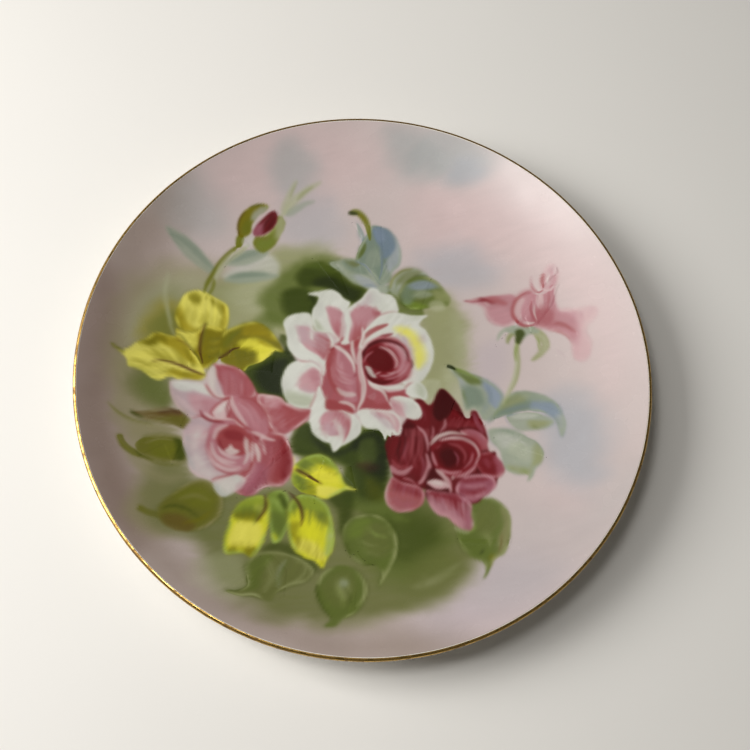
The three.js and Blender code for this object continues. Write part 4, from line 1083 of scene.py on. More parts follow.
        Stroke(Tint.SHELL, 2.2, (-64.6, -42, -63.6, -36.8, -59, -33.4), 0.8, 0.9, 0.2, 0.4),
        Stroke(Tint.ROSE_DEEP, 0.9, (-66, -38, -66.4, -44, -63, -50.4, -57, -53.6, -50.6, -53.4), 0.7, 0.7),
        Stroke(Tint.SHELL, 2.4, (-65.4, -43, -63, -48.4, -57.6, -51.4, -52, -51), 0.9, 0.85, 0.3, 0.3),
        Stroke(Tint.ROSE_DEEP, 0.8, (-63.6, -44.6, -60.6, -48.6, -55.6, -50), 0.6, 0.7),
        Stroke(Tint.SHELL, 2.2, (-62, -44.6, -59, -47.6, -54, -48.8, -50.6, -48), 0.9, 0.8, 0.3, 0.3),
        Stroke(Tint.CRIMSON, 1.1, (-62, -41, -60.4, -45, -56.4, -47.2), 0.7, 0.7),
        Wash(Tint.CREAM, (-58.6, -46, -57.2, -44.6, -56.4, -42.6, -54.6, -44.4, -51.8, -45, -53, -47, -55.6,
            -47.8), 0.8, 0.85, 0),
        Stroke(Tint.CREAM, 1.5, (-50.6, -37.6, -49.8, -42, -48.4, -46), 0.8, 0.85, 0.3, 0.4)), 0.3),
    Stroke(Tint.CRIMSON, 1.3, (-73.4, -28.6, -71.6, -31.6, -67, -33.2, -61, -32.6), 0.7, 0.75),
    Stroke(Tint.SHELL, 1.6, (-71.4, -29.4, -67.4, -31.4, -61.4, -30.8, -56.6, -30.6), 0.7, 0.9, 0.2, 0.3),
    Stroke(Tint.BRICK, 1.4, (-56.8, -31.2, -53.4, -33.4, -50.4, -34.2), 0.7, 0.8),
    Stroke(Tint.SHELL, 1, (-57.4, -30.4, -54, -32.8, -51.6, -33.6), 0.6, 0.85),
    Stroke(Tint.BRICK, 3.6, (-49, -35.6, -46.4, -39.6, -46.6, -45), 2.2, 0.7),
    Stroke(Tint.SHELL, 2, (-48.6, -34.8, -44.6, -35.8, -40.6, -37, -36.4, -37.4), 0.7, 0.92, 0.25, 0.4),
    Stroke(Tint.CREAM, 1.9, (-49.4, -38.4, -48.6, -43, -47.8, -47, -48.8, -51.6), 0.7, 0.92, 0.3, 0.4),
    Stroke(Tint.CREAM, 1.3, (-47.2, -39.4, -46, -44.6, -45.2, -49.8), 0.6, 0.9, 0.3, 0.4),
    Stroke(Tint.CREAM, 2.4, (-45.8, -40, -43.8, -44, -42, -49.2), 0.7, 0.9, 0.35, 0.4),
    Stroke(Tint.SHELL, 1.7, (-44.6, -37.8, -41.8, -41, -39.6, -45.2), 0.7, 0.9, 0.3, 0.45),
    Stroke(Tint.CRIMSON, 0.9, (-47, -36.4, -43.4, -39, -41.6, -42.6), 0.6, 0.6),
    Stroke(Tint.BUTTER, 0.8, (-27, -43, -25.8, -48, -26.4, -52), 0.5, 0.6),
)

SIDE_ROSE_MARKS: tuple[Mark, ...] = (
    Stroke(Tint.MIST_PALE, 2.6, (71, 34, 70.6, 26, 71.8, 17, 71, 9, 68.6, 2, 66.4, -4), 0.9, 0.9, 0.05,
        0.3),
    Stroke(Tint.MIST, 1.3, (71.6, 33, 71.4, 26, 72.6, 17, 71.8, 9, 69.2, 2), 0.7, 0.75, 0.05, 0.3),
    Stroke(Tint.SAGE, 1.7, (61, 28.4, 62.2, 32.6, 65.6, 36.4), 0.9, 0.85, 0.4, 0.2),
    Stroke(Tint.MIST, 2.6, (65.6, 27.6, 66.6, 31.6, 70, 35), 1, 0.9, 0.4, 0.2),
    Stroke(Tint.MOSS, 0.8, (66.4, 27, 66.8, 31.4, 69.8, 34.6), 0.5, 0.5),
    Stroke(Tint.MIST, 4, (73, 35.6, 78.6, 35.4, 82.6, 32.4, 84, 28, 80.6, 22.6, 78, 20), 1.2, 0.95, 0.15,
        0.4),
    Stroke(Tint.MIST_PALE, 1.6, (78, 35.6, 83, 32, 84, 27.4, 81, 23), 1, 0.6),
    Stroke(Tint.FERN, 1.1, (78.4, 33.4, 80.6, 30.6, 81, 26), 0.6, 0.85),
    Wash(Tint.SAGE, (64, 34, 66, 36.6, 72, 37.6, 79, 37.4, 80.6, 35, 76, 33.6, 73.6, 31, 71, 29.6, 69, 33),
        1, 0.9, 20),
    Wash(Tint.FOREST, (69.4, 35, 72, 36, 74, 34, 73, 31, 71.6, 28, 70.2, 28.4, 69.4, 31.6), 1.3, 0.9, 90),
    Stroke(Tint.FERN, 1.2, (70.6, 29, 70.2, 24, 70.8, 19), 0.7, 0.7),
    Petal(Wash(Tint.ROSE, (42.4, 47.4, 46, 48.6, 50, 50, 57, 51.8, 67, 52.6, 68.4, 46, 68.6, 39, 66.4, 37,
        60.6, 36.6, 56.4, 38.6, 54, 41.8, 52.8, 45, 50, 46.8, 46, 46.9), 0.9, 0.88, 20, 0.4), (
        Wash(Tint.BLUSH, (56, 44, 62, 46, 67, 44, 67, 38, 61, 37.4, 56.6, 39.4), 3, 0.7, 20),
        Stroke(Tint.CRIMSON, 2.4, (42.6, 47.4, 48, 49, 54, 48.8, 58, 47.4), 0.9, 0.9, 0.3, 0.5),
        Stroke(Tint.BRICK, 3.4, (52, 49.6, 58, 49.6, 64, 48), 2.4, 0.55),
        Stroke(Tint.MAUVE, 0.7, (54, 41.6, 57, 38.2, 62, 36.8, 66.6, 37.4), 0.5, 0.7),
        Stroke(Tint.CREAM, 1, (52.4, 48.4, 54, 47.6, 55, 45.8), 0.7, 0.6))),
    Petal(Wash(Tint.BLUSH, (84, 36.6, 82.6, 40, 85, 47.6, 90, 47.6, 96, 48.2, 105.4, 48.2, 105.2, 44, 102.4,
        40.4, 101.6, 36.6, 104.6, 31, 104, 24.6, 102, 22.2, 98.6, 22.8, 97, 26.6, 95.8, 31, 92.6, 34.4, 88,
        36), 1.6, 0.85, 170, 0.4), (
        Wash(Tint.ROSE, (84, 38, 86, 46, 92, 46, 97, 42, 98, 34, 96, 30, 92, 35, 87, 36.4), 3, 0.7, 160,
            0.5),
        Wash(Tint.SHELL, (98, 48, 106, 48.4, 104, 40, 102, 36, 104.6, 30, 103, 22, 99, 24, 100, 34, 99, 42),
            4, 0.6, 90),
        Stroke(Tint.BRICK, 2.2, (83, 37.6, 87, 40, 92, 39.4, 97.4, 36), 1.2, 0.75, 0.2, 0.5),
        Stroke(Tint.BRICK, 1.5, (84.6, 36, 90, 36, 94, 32.6, 96.4, 26.6), 0.8, 0.85, 0.2, 0.4),
        Stroke(Tint.MAUVE, 0.8, (96, 47.4, 95.4, 43, 94, 39.6), 0.7, 0.5),
        Stroke(Tint.MAUVE, 0.7, (99, 47, 99.6, 42), 0.7, 0.35))),
    Stroke(Tint.LILAC, 1, (89, 27, 92, 25, 94.4, 22.8), 0.8, 0.4),
    Petal(Wash(Tint.ROSE, (67, 49, 69, 54, 73.6, 56.6, 77, 54.4, 81, 55, 84.6, 58, 86, 52, 87.6, 48, 87.6,
        42, 84.6, 38, 80, 37.4, 76, 38.6, 72, 37.2, 68.6, 39.6, 66.4, 44), 0.9, 0.95, 95, 0.4), (
        Wash(Tint.BLUSH, (70, 50, 73.6, 54, 76, 52, 75.6, 45, 73, 41, 70, 43), 2.4, 0.7, 95, 0.5),
        Wash(Tint.ROSE_DEEP, (77, 46, 82, 48, 86, 46, 87, 41, 83, 38, 77, 39.4), 3, 0.8, 95, 0.5),
        Stroke(Tint.SHELL, 3, (71.6, 52.4, 69.6, 48.6, 69.4, 44, 71.6, 40.4), 1.2, 0.85, 0.2, 0.3),
        Stroke(Tint.SHELL, 4, (78.6, 55, 79, 51, 79, 47.6), 1.4, 0.85, 0.3, 0.3),
        Stroke(Tint.ROSE_DEEP, 1.2, (75.2, 51, 75.4, 45.6, 77.6, 40.4), 0.7, 0.8),
        Stroke(Tint.CREAM, 0.9, (77, 49, 77.2, 45, 78.8, 41), 0.6, 0.7),
        Stroke(Tint.ROSE_DEEP, 1.4, (83, 57, 83, 51, 81, 45), 1.2, 0.6))),
    Stroke(Tint.BRICK, 1.6, (74.6, 55.6, 70.4, 53.6, 67.4, 49.6, 66.8, 44, 69, 40.2, 73, 37.8, 78, 38.4),
        0.8, 0.85, 0.3, 0.3),
    Stroke(Tint.CREAM, 1.2, (72, 39.6, 75.6, 39.4, 78, 40), 0.8, 0.7),
    Petal(Wash(Tint.BLUSH, (79.4, 56.6, 78.2, 61, 79.4, 66, 81.4, 69.6, 84, 69.8, 85.6, 66, 85.4, 60, 84,
        56.6), 1.4, 0.75, 90), (
        Stroke(Tint.LILAC, 2, (81, 69, 84, 68.6, 85, 64), 1.4, 0.7),)),
    Stroke(Tint.BRICK, 1.7, (79.6, 65.4, 79, 62, 80.2, 57.6), 0.8, 0.85),
    Stroke(Tint.ROSE, 1.4, (85, 65, 84.8, 61, 83, 57.6), 0.8, 0.75),
    Stroke(Tint.ROSE_DEEP, 1.3, (74, 60.4, 75, 57.4, 78, 55.4, 80.4, 57), 0.7, 0.8),
    Stroke(Tint.ROSE, 0.9, (73.8, 63.6, 74, 60, 76, 56.6), 0.6, 0.6),
    Stroke(Tint.CREAM, 1.4, (82, 66, 81.6, 62, 82.2, 59), 0.9, 0.6),
)

ROSEBUD_MARKS: tuple[Mark, ...] = (
    Stroke(Tint.MIST_PALE, 3.6, (-53, 76, -51.6, 84, -50, 91, -48.4, 96), 2.2, 0.75, 0.2, 0.6),
    Stroke(Tint.MIST, 1.2, (-50.4, 86, -49.4, 91, -48, 95.4), 0.9, 0.5),
    Stroke(Tint.MIST_PALE, 4.2, (-52, 77, -48.4, 84.6, -43, 91.6, -36, 97.8), 2.2, 0.8, 0.2, 0.6),
    Stroke(Tint.MIST, 1.8, (-47, 86, -43.4, 91, -39.6, 94.6), 1.2, 0.65),
    Stroke(Tint.SAGE, 3.6, (-51, 77, -46, 82, -41.6, 85.6, -37.6, 87.4), 2, 0.75, 0.2, 0.6),
    Stroke(Tint.MIST_PALE, 3, (-66, 59, -71, 53, -75.6, 47.6, -78, 42, -79, 36), 1.4, 0.85, 0.2, 0.3),
    Stroke(Tint.LEAF_OLIVE, 2.2, (-71, 57, -75.4, 51.6, -78.4, 46, -80.6, 40, -82.4, 34, -83, 29), 0.9,
        0.95, 0.1, 0.2),
    Stroke(Tint.OLIVE, 0.8, (-72, 56.4, -76.2, 51, -79.2, 45.6, -81.4, 39, -83.4, 33), 0.5, 0.7),
    Stroke(Tint.MIST_PALE, 1, (-72.6, 54, -76, 49.4, -78.4, 44, -80, 38), 0.6, 0.7),
    Stroke(Tint.LEAF_OLIVE, 1.8, (-79.4, 38, -79.4, 33, -80.6, 29), 0.8, 0.75, 0.3, 0.2),
    Wash(Tint.LEAF_OLIVE, (-72.8, 61, -71, 63, -69, 61.6, -69, 58.6, -70.4, 56.2, -72, 56, -72.8, 58.4),
        0.7, 0.95, 90),
    Wash(Tint.PEARL, (-68, 64, -65, 63, -63, 61, -64.6, 58, -68, 57, -70, 59), 1.8, 0.55),
    Petal(Wash(Tint.GOLD_OLIVE, (-60, 80, -63, 80.6, -66.6, 79.4, -70, 76.4, -72.6, 72.4, -73.4, 68.4, -73,
        64.6, -71.4, 61.4, -69, 62, -66.4, 64.6, -66.4, 69, -64.4, 73.6, -61.4, 77), 0.6, 1, 60, 0.3), (
        Wash(Tint.LEAF_OLIVE, (-70, 70, -67, 72, -66, 66, -68.6, 63, -71, 65), 2, 0.8, 70),
        Wash(Tint.HAZE, (-67.6, 74, -64, 78.6, -60, 79.4, -61.6, 76, -65, 71.6, -67, 71), 1.8, 0.75, 60),
        Stroke(Tint.UMBER, 1, (-71.4, 62, -73, 66, -72.8, 70.6, -70.4, 75.4), 0.7, 0.6),
        Stroke(Tint.FOREST, 1.5, (-70, 77, -66.6, 79.4, -62.6, 80.2), 0.9, 0.6),
        Stroke(Tint.SPRING, 0.8, (-62, 79.4, -60, 79.6, -59, 78.6), 0.6, 0.5))),
    Petal(Wash(Tint.LEAF_OLIVE, (-54.6, 76.4, -54.8, 72, -57, 67.6, -60.4, 64.8, -64, 63.2, -64.4, 60,
        -62.6, 57.2, -59, 56.2, -56, 58, -53.4, 62, -52, 66.4, -50.8, 70.4, -50.6, 74, -52.4, 76), 0.8,
        0.95, 60, 0.3), (
        Wash(Tint.FERN, (-62, 62, -58, 63, -55, 67, -54, 62, -58, 58, -62, 58), 2.4, 0.5, 60),
        Wash(Tint.MIST_PALE, (-54, 76, -51, 75, -51, 69, -53.4, 64, -54.6, 68), 2, 0.75, 80),
        Stroke(Tint.SPRING, 1, (-60, 64.4, -56.6, 67, -54.4, 71.6), 0.6, 0.6))),
    Petal(Wash(Tint.WINE, (-57, 78.3, -55.2, 77, -54.8, 74, -55.8, 70.4, -58, 67, -61, 64.8, -64.4, 63.8,
        -65.4, 65.4, -64.4, 69, -62, 73, -59.4, 76.8), 0.6, 1, 55, 0.4), (
        Wash(Tint.MAUVE, (-65.6, 65, -64, 70, -61, 70, -61, 65, -64, 63), 2, 0.85, 55, 0.5),
        Stroke(Tint.ROSE, 0.7, (-63.6, 66, -61.8, 70, -59, 75), 0.5, 0.6),
        Stroke(Tint.ROSE, 0.7, (-62, 65.6, -60.6, 69.6, -58.4, 73), 0.5, 0.5),
        Stroke(Tint.OXBLOOD, 1.2, (-61.4, 67, -59.6, 72, -57, 77), 0.7, 0.6),
        Stroke(Tint.OXBLOOD, 1, (-58.6, 68, -57, 72, -56, 76), 0.7, 0.6))),
    Stroke(Tint.SHELL, 0.7, (-64.4, 70, -61.6, 74.6, -58.6, 78.2), 0.5, 0.75),
    Stroke(Tint.SHELL, 0.7, (-63, 63.8, -59, 65.6, -56, 69.4), 0.5, 0.75),
)

UPPER_YELLOW_MARKS: tuple[Mark, ...] = (
    Petal(Wash(Tint.BUTTER, (-94, 16, -93, 22, -91.6, 26.4, -88, 29.4, -83, 30.2, -79, 29, -75, 27.6, -71,
        25.6, -69.4, 21, -69, 16, -70.6, 11.6, -76, 9, -83, 8.4, -89, 8.4, -92.6, 12), 1, 1, 100, 0.35), (
        Wash(Tint.OCHRE, (-94, 12, -92, 20, -89, 14, -84, 11, -77, 12, -71, 13, -69, 9, -80, 7, -91, 7),
            3.5, 0.85, 20, 0.5),
        Wash(Tint.OCHRE, (-74, 26, -71, 26, -68.6, 19, -69, 12, -72, 14, -72, 20), 2.4, 0.8, 90, 0.5),
        Wash(Tint.GOLD_OLIVE, (-89.6, 28, -86, 29, -83.4, 27, -84, 23.6, -87, 23.4, -89.4, 25), 2, 0.75,
            60),
        Wash(Tint.GOLD_OLIVE, (-80, 30, -75, 28, -72, 25, -72.6, 20, -76, 24, -79, 26), 2, 0.6, 60, 0.6),
        Fan(Tint.GOLD_OLIVE, (-93, 13, -70, 14), (-90, 22, -71, 22), 12, 1.6, 0.4),
        Stroke(Tint.GOLD_OLIVE, 2.6, (-92.6, 25, -94, 19, -92.6, 12.6, -88.4, 9), 1.4, 0.8),
        Stroke(Tint.GOLD_OLIVE, 1, (-79, 30, -78, 26, -77.4, 23), 0.7, 0.7),
        Stroke(Tint.GOLD_OLIVE, 1, (-81, 30, -81.6, 26), 0.7, 0.6),
        Stroke(Tint.CREAM, 1, (-77.6, 29, -76, 25.6), 0.8, 0.4))),
    Petal(Wash(Tint.OCHRE, (-92, 9, -88, 7.6, -83, 9, -79, 13.6, -73, 13.4, -68.4, 12.6, -67.6, 6, -69, 0,
        -72, -5, -75.6, -8.4, -79, -8, -84, -3, -90, 2.6), 1, 1, 60, 0.35), (
        Wash(Tint.BUTTER, (-91, 8, -86, 8.6, -82, 8, -81, 2, -84, -2, -89, 3), 2.6, 0.95, 60),
        Wash(Tint.GOLD_OLIVE, (-79, 12, -73, 12.6, -68, 11, -69, 2, -73, -5, -77, -6, -78.6, 2), 3, 0.8, 80,
            0.5),
        Fan(Tint.GOLD_OLIVE, (-80, 6, -78, -6), (-90, 7, -82, -4), 8, 1.6, 0.4),
        Wash(Tint.BRONZE, (-88, 0, -85, 0, -83, -5, -86, -6), 2, 0.6),
        Stroke(Tint.OLIVE, 1.1, (-77, 7.2, -73.6, 7.2, -70.4, 9), 0.7, 0.8),
        Stroke(Tint.OLIVE, 1.1, (-76.6, 3.2, -73.6, 3, -70.6, 4.8), 0.7, 0.8),
        Stroke(Tint.OLIVE, 1.1, (-76.6, -1.4, -73.6, -1.6, -69.6, 2), 0.7, 0.8),
        Stroke(Tint.BUTTER, 0.7, (-76, 6, -73, 6, -71, 7), 0.5, 0.5),
        Stroke(Tint.BUTTER, 0.7, (-76, 1.8, -73, 1.8, -71, 3.2), 0.5, 0.5))),
    Petal(Wash(Tint.BUTTER, (-118, -6.6, -113.6, -8.4, -110.6, -6.4, -108, -3, -104, 0.6, -101.6, 3.6, -98,
        4.8, -94, 4.4, -90, 5.4, -85.6, 2, -81, -2.4, -77.4, -6.6, -74.4, -11.4, -76, -14, -82, -14.8, -86,
        -16, -90, -15.4, -94, -18.2, -98, -18, -101, -16.6, -105, -15.4, -109, -15, -110.4, -12), 0.8, 1,
        10, 0.35), (
        Wash(Tint.OCHRE, (-103, 4, -96, 5, -90, 5, -84, 1, -78, -6, -84, -6, -90, -2, -97, 0), 3, 0.9, 150,
            0.5),
        Wash(Tint.GOLD_OLIVE, (-108, -2, -103, 2, -99, 4, -98, 0, -103, -3), 2.4, 0.8, 30),
        Wash(Tint.OCHRE, (-92, -16, -86, -16, -76, -14, -75, -11, -82, -11.6, -90, -12), 2.4, 0.85, 10,
            0.5),
        Wash(Tint.BUTTER, (-108, -8, -98, -4, -90, -4, -92, -10, -100, -14, -107, -12), 3, 0.6, 15),
        Fan(Tint.GOLD_OLIVE, (-98, -8, -78, -9), (-109, -4, -86, 4), 11, 1.8, 0.42),
        Fan(Tint.GOLD_OLIVE, (-98, -10, -78, -12), (-106, -15, -84, -16), 9, 1.5, 0.42),
        Fan(Tint.GOLD_OLIVE, (-107, -2, -95, 5), (-103, -4, -93, 0), 5, 3, 0.6),
        Stroke(Tint.GOLD_OLIVE, 1.4, (-109, -11.6, -104, -11.6, -99, -12.6), 1.2, 0.55),
        Stroke(Tint.LEAF_OLIVE, 1.6, (-110, -14, -102, -15.6, -94, -17.6), 1, 0.6))),
    Stroke(Tint.OLIVE, 1.4, (-118.6, -6.6, -115, -7.8, -111.4, -9.6), 0.7, 0.9, 0.1, 0.5),
    Petal(Wash(Tint.GOLD_OLIVE, (-70, 12, -66, 15.4, -61.6, 18.2, -57, 20, -52.6, 19.6, -48, 16.8, -44,
        12.4, -40.4, 7, -44.6, 7, -46.4, 4.2, -49.6, 0.4, -53, -1.6, -55.4, -3, -57, -5.8, -62, -4.4, -68,
        -3.4, -70.4, 3), 0.8, 1, 30, 0.35), (
        Wash(Tint.OCHRE, (-62, 15, -57, 19, -52, 18.6, -48, 15.4, -46, 12, -54, 13, -60, 12), 2.4, 0.9, 20,
            0.5),
        Wash(Tint.LEMON, (-63, 8, -58, 11, -52, 11.6, -46, 9, -42, 7, -47, 4.6, -50, 1.6, -56, 4, -61, 5),
            2.2, 0.95, 20, 0.3),
        Wash(Tint.LEMON, (-47, 8, -46, 4, -50, 0.6, -53, 1.6, -50, 5), 1.5, 0.8, 40),
        Wash(Tint.GOLD_OLIVE, (-60, 5, -54, 5.6, -52, 3, -57, -4, -61, 0), 2.2, 0.7, 60),
        Fan(Tint.GOLD_OLIVE, (-66, 2, -58, 5), (-60, 18, -46, 14), 9, 1.5, 0.45),
        Fan(Tint.OLIVE, (-64, 4, -54, 5), (-60, -4, -49, 1), 8, 1.4, 0.5),
        Stroke(Tint.LEMON, 4, (-61, 7, -54, 8.6, -46, 6.4), 2.4, 0.85),
        Stroke(Tint.OCHRE, 1.6, (-54, 11.6, -50, 9.6, -46, 8.6), 1, 0.7),
        Stroke(Tint.LEAF_OLIVE, 3, (-68.6, 4, -66.6, 10, -62.6, 14.6), 1.6, 0.8),
        Stroke(Tint.OLIVE, 1, (-66.6, 5, -65.6, 10, -61.4, 15), 0.7, 0.7),
        Stroke(Tint.FERN, 1.6, (-57, -5, -54, -2.6, -51.6, -1.2), 1, 0.7))),
    Stroke(Tint.UMBER, 1.4, (-79.4, 15, -80, 8, -79.4, 1, -76.6, -6), 0.6, 0.8, 0.5, 0.4),
    Stroke(Tint.OLIVE, 1.2, (-78.4, 16, -79, 9, -78.4, 2), 0.7, 0.6),
    Stroke(Tint.UMBER, 1.4, (-100, -10, -94.6, -8.6, -88, -8.8, -81, -10.2, -74, -11.6), 0.6, 0.9, 0.5,
        0.3),
    Stroke(Tint.UMBER, 1.2, (-70.4, -2, -67, 1, -64.4, 4, -61, 5.8), 0.6, 0.85, 0.2, 0.5),
    Stroke(Tint.OLIVE, 1.4, (-75, -11.6, -72, -4, -69, 2), 0.8, 0.7),
    Stroke(Tint.UMBER, 0.9, (-92, 4, -86, 2, -81, -2.6), 0.8, 0.35),
)

LOWER_YELLOW_MARKS: tuple[Mark, ...] = (
    Petal(Wash(Tint.FERN, (-35.4, -64, -32, -61, -28, -61, -25, -65.6, -23.6, -72, -24.4, -79, -26.4, -84.6,
        -29, -86, -31.4, -80, -33.6, -72), 0.9, 1, 100, 0.4), (
        Wash(Tint.FOREST, (-31, -62.6, -27.6, -62, -25, -68, -26.6, -69, -29.6, -65.6), 1.4, 0.75, 120),
        Wash(Tint.MOSS, (-33, -72, -29, -71, -25, -76, -26, -82, -29, -80, -32, -78), 2.4, 0.8, 110, 0.5),
        Stroke(Tint.SPRING, 1.8, (-34, -65, -30.4, -67, -27.4, -71), 1.2, 0.85),
        Stroke(Tint.ACID, 2.4, (-30.4, -81, -28.4, -84, -27.4, -85.4), 1.4, 0.7))),
    Petal(Wash(Tint.ACID, (-49.4, -76, -47.6, -71, -43.6, -66.8, -38, -64.6, -34.4, -67, -33, -74, -33, -83,
        -34.6, -90, -37.6, -94, -41, -92.6, -44.6, -93.6, -48.8, -94, -50.4, -87, -50, -81), 0.9, 1, 90,
        0.35), (
        Wash(Tint.FERN, (-48, -70, -43, -66, -37, -65, -34, -69, -36, -73, -42, -75, -48, -76), 2.8, 0.8,
            20, 0.4),
        Wash(Tint.GOLD_OLIVE, (-49, -76, -44, -73, -38, -73, -36, -76, -44, -78), 2.4, 0.75, 10),
        Wash(Tint.BUTTER, (-47, -79, -42, -77.6, -36, -78, -34.4, -84, -37, -89, -43, -90, -48, -90), 2.6,
            0.9, 90, 0.4),
        Wash(Tint.GOLD_OLIVE, (-41, -91, -36, -89, -35.4, -92, -38, -94.6), 1.6, 0.8),
        Wash(Tint.GOLD_OLIVE, (-48, -91.6, -45, -91, -43.6, -93, -47, -94.4), 1.2, 0.75),
        Fan(Tint.MOSS, (-49, -72, -35, -68), (-47, -80, -37, -80), 10, 1.8, 0.5),
        Fan(Tint.GOLD_OLIVE, (-48, -94, -36, -94), (-46, -87, -38, -86), 8, 1.4, 0.5),
        Stroke(Tint.FERN, 1.2, (-49, -79, -50, -86, -49, -93), 0.9, 0.6),
        Stroke(Tint.BUTTER, 3, (-41, -70, -37, -71, -35, -76), 2.4, 0.35))),
    Petal(Wash(Tint.ACID, (-25, -70, -24, -64, -20, -61, -15, -60.8, -10, -62.8, -6.6, -66.6, -4.4, -72,
        -2.4, -79, -2.4, -84.6, -4, -88.6, -5.6, -93.8, -9.4, -91, -14, -90.2, -18.6, -88, -22, -83.6, -24,
        -77.4), 0.8, 1, 90, 0.35), (
        Wash(Tint.FERN, (-24, -62, -16, -60, -9, -62, -5, -69, -9, -69.6, -15, -68, -21, -68, -25, -74),
            2.8, 0.85, 20, 0.4),
        Wash(Tint.MOSS, (-15, -70, -10, -68.8, -5, -71, -3.6, -76, -7, -74, -11, -71.6), 2, 0.6, 150),
        Wash(Tint.ACID, (-17.4, -70, -13, -70, -11, -76, -12, -82, -16, -80, -18, -75), 2.2, 0.9, 100),
        Wash(Tint.BUTTER, (-18, -82, -12, -82, -8, -84, -5, -90, -9, -90, -15, -88, -20, -86), 3, 0.85, 60),
        Wash(Tint.SPRING, (-6, -74, -3.4, -76, -2.4, -85, -5, -88, -6, -82), 2.2, 0.75, 90),
        Wash(Tint.GOLD_OLIVE, (-24, -76, -19.4, -74, -19.6, -80, -22, -84, -24, -80), 2, 0.6),
        Fan(Tint.MOSS, (-23, -66, -6, -68), (-21, -76, -7, -78), 11, 1.7, 0.5),
        Fan(Tint.GOLD_OLIVE, (-21, -84, -6, -92), (-18, -78, -8, -82), 8, 1.3, 0.4),
        Fan(Tint.CELADON, (-3, -76, -4, -88), (-7, -77, -8, -88), 6, 1.4, 0.4),
        Stroke(Tint.ACID, 2, (-12, -73, -9.6, -79, -7.4, -86), 1.6, 0.6),
        Stroke(Tint.GOLD_OLIVE, 2.2, (-22, -80, -18, -83, -18.6, -88), 1.8, 0.5))),
    Petal(Wash(Tint.ACID, (-26.6, -49.4, -23.6, -45, -19.6, -42, -15, -40.6, -10.4, -42, -6.6, -45.4, -3.6,
        -49.6, -1, -53.4, 3.6, -54.8, -1.4, -56, -5, -58.8, -9.4, -61.4, -15, -60.4, -20.6, -60, -25.2,
        -56.4), 0.8, 1, 20, 0.35), (
        Wash(Tint.FERN, (-26, -47, -20, -42, -14, -40.6, -8, -43, -5, -47, -10, -46, -16, -45.6, -21, -49),
            2.6, 0.85, 20, 0.4),
        Wash(Tint.FERN, (-26, -51, -21, -53, -20, -60, -25, -57), 2.4, 0.85, 100, 0.4),
        Wash(Tint.LEMON, (-18, -49, -12, -48, -6, -50, -3, -53, -8, -54, -14, -53), 2.6, 0.6, 0),
        Wash(Tint.BUTTER, (-14, -56, -8, -55, -3, -56, -8, -60.4, -14, -60), 2.4, 0.8, 20),
        Wash(Tint.LEAF_OLIVE, (-21, -55, -16, -55, -14, -60, -20, -60), 2.4, 0.6, 90),
        Fan(Tint.MOSS, (-25, -50, -22, -44), (-17, -53, -12, -47), 8, 1.5, 0.5),
        Fan(Tint.MOSS, (-25, -52, -22, -58), (-16, -54, -15, -58), 6, 1.5, 0.5),
        Fan(Tint.GOLD_OLIVE, (-18, -42, -5, -48), (-16, -47, -8, -51), 8, 1.2, 0.45),
        Stroke(Tint.SPRING, 0.9, (-19.6, -53, -19.4, -57, -18, -60), 0.8, 0.5))),
    Stroke(Tint.BUTTER, 0.9, (-1.4, -54.6, 1.6, -55, 4.6, -55), 0.5, 0.9, 0.1, 0.6),
    Stroke(Tint.UMBER, 1.5, (-25.4, -49.4, -19.6, -51.4, -15.6, -53.2, -11.6, -54.8), 0.6, 0.9, 0.2, 0.5),
    Stroke(Tint.UMBER, 1.4, (-26.4, -60.6, -21, -65.4, -18.4, -71, -18.2, -76.6), 0.6, 0.85, 0.3, 0.5),
    Stroke(Tint.UMBER, 1.4, (-37, -63.6, -35.4, -70, -38.4, -77.6), 0.6, 0.8, 0.3, 0.5),
    Stroke(Tint.GOLD_OLIVE, 1, (-35.6, -63, -34.4, -69, -36.6, -76), 0.7, 0.6),
)

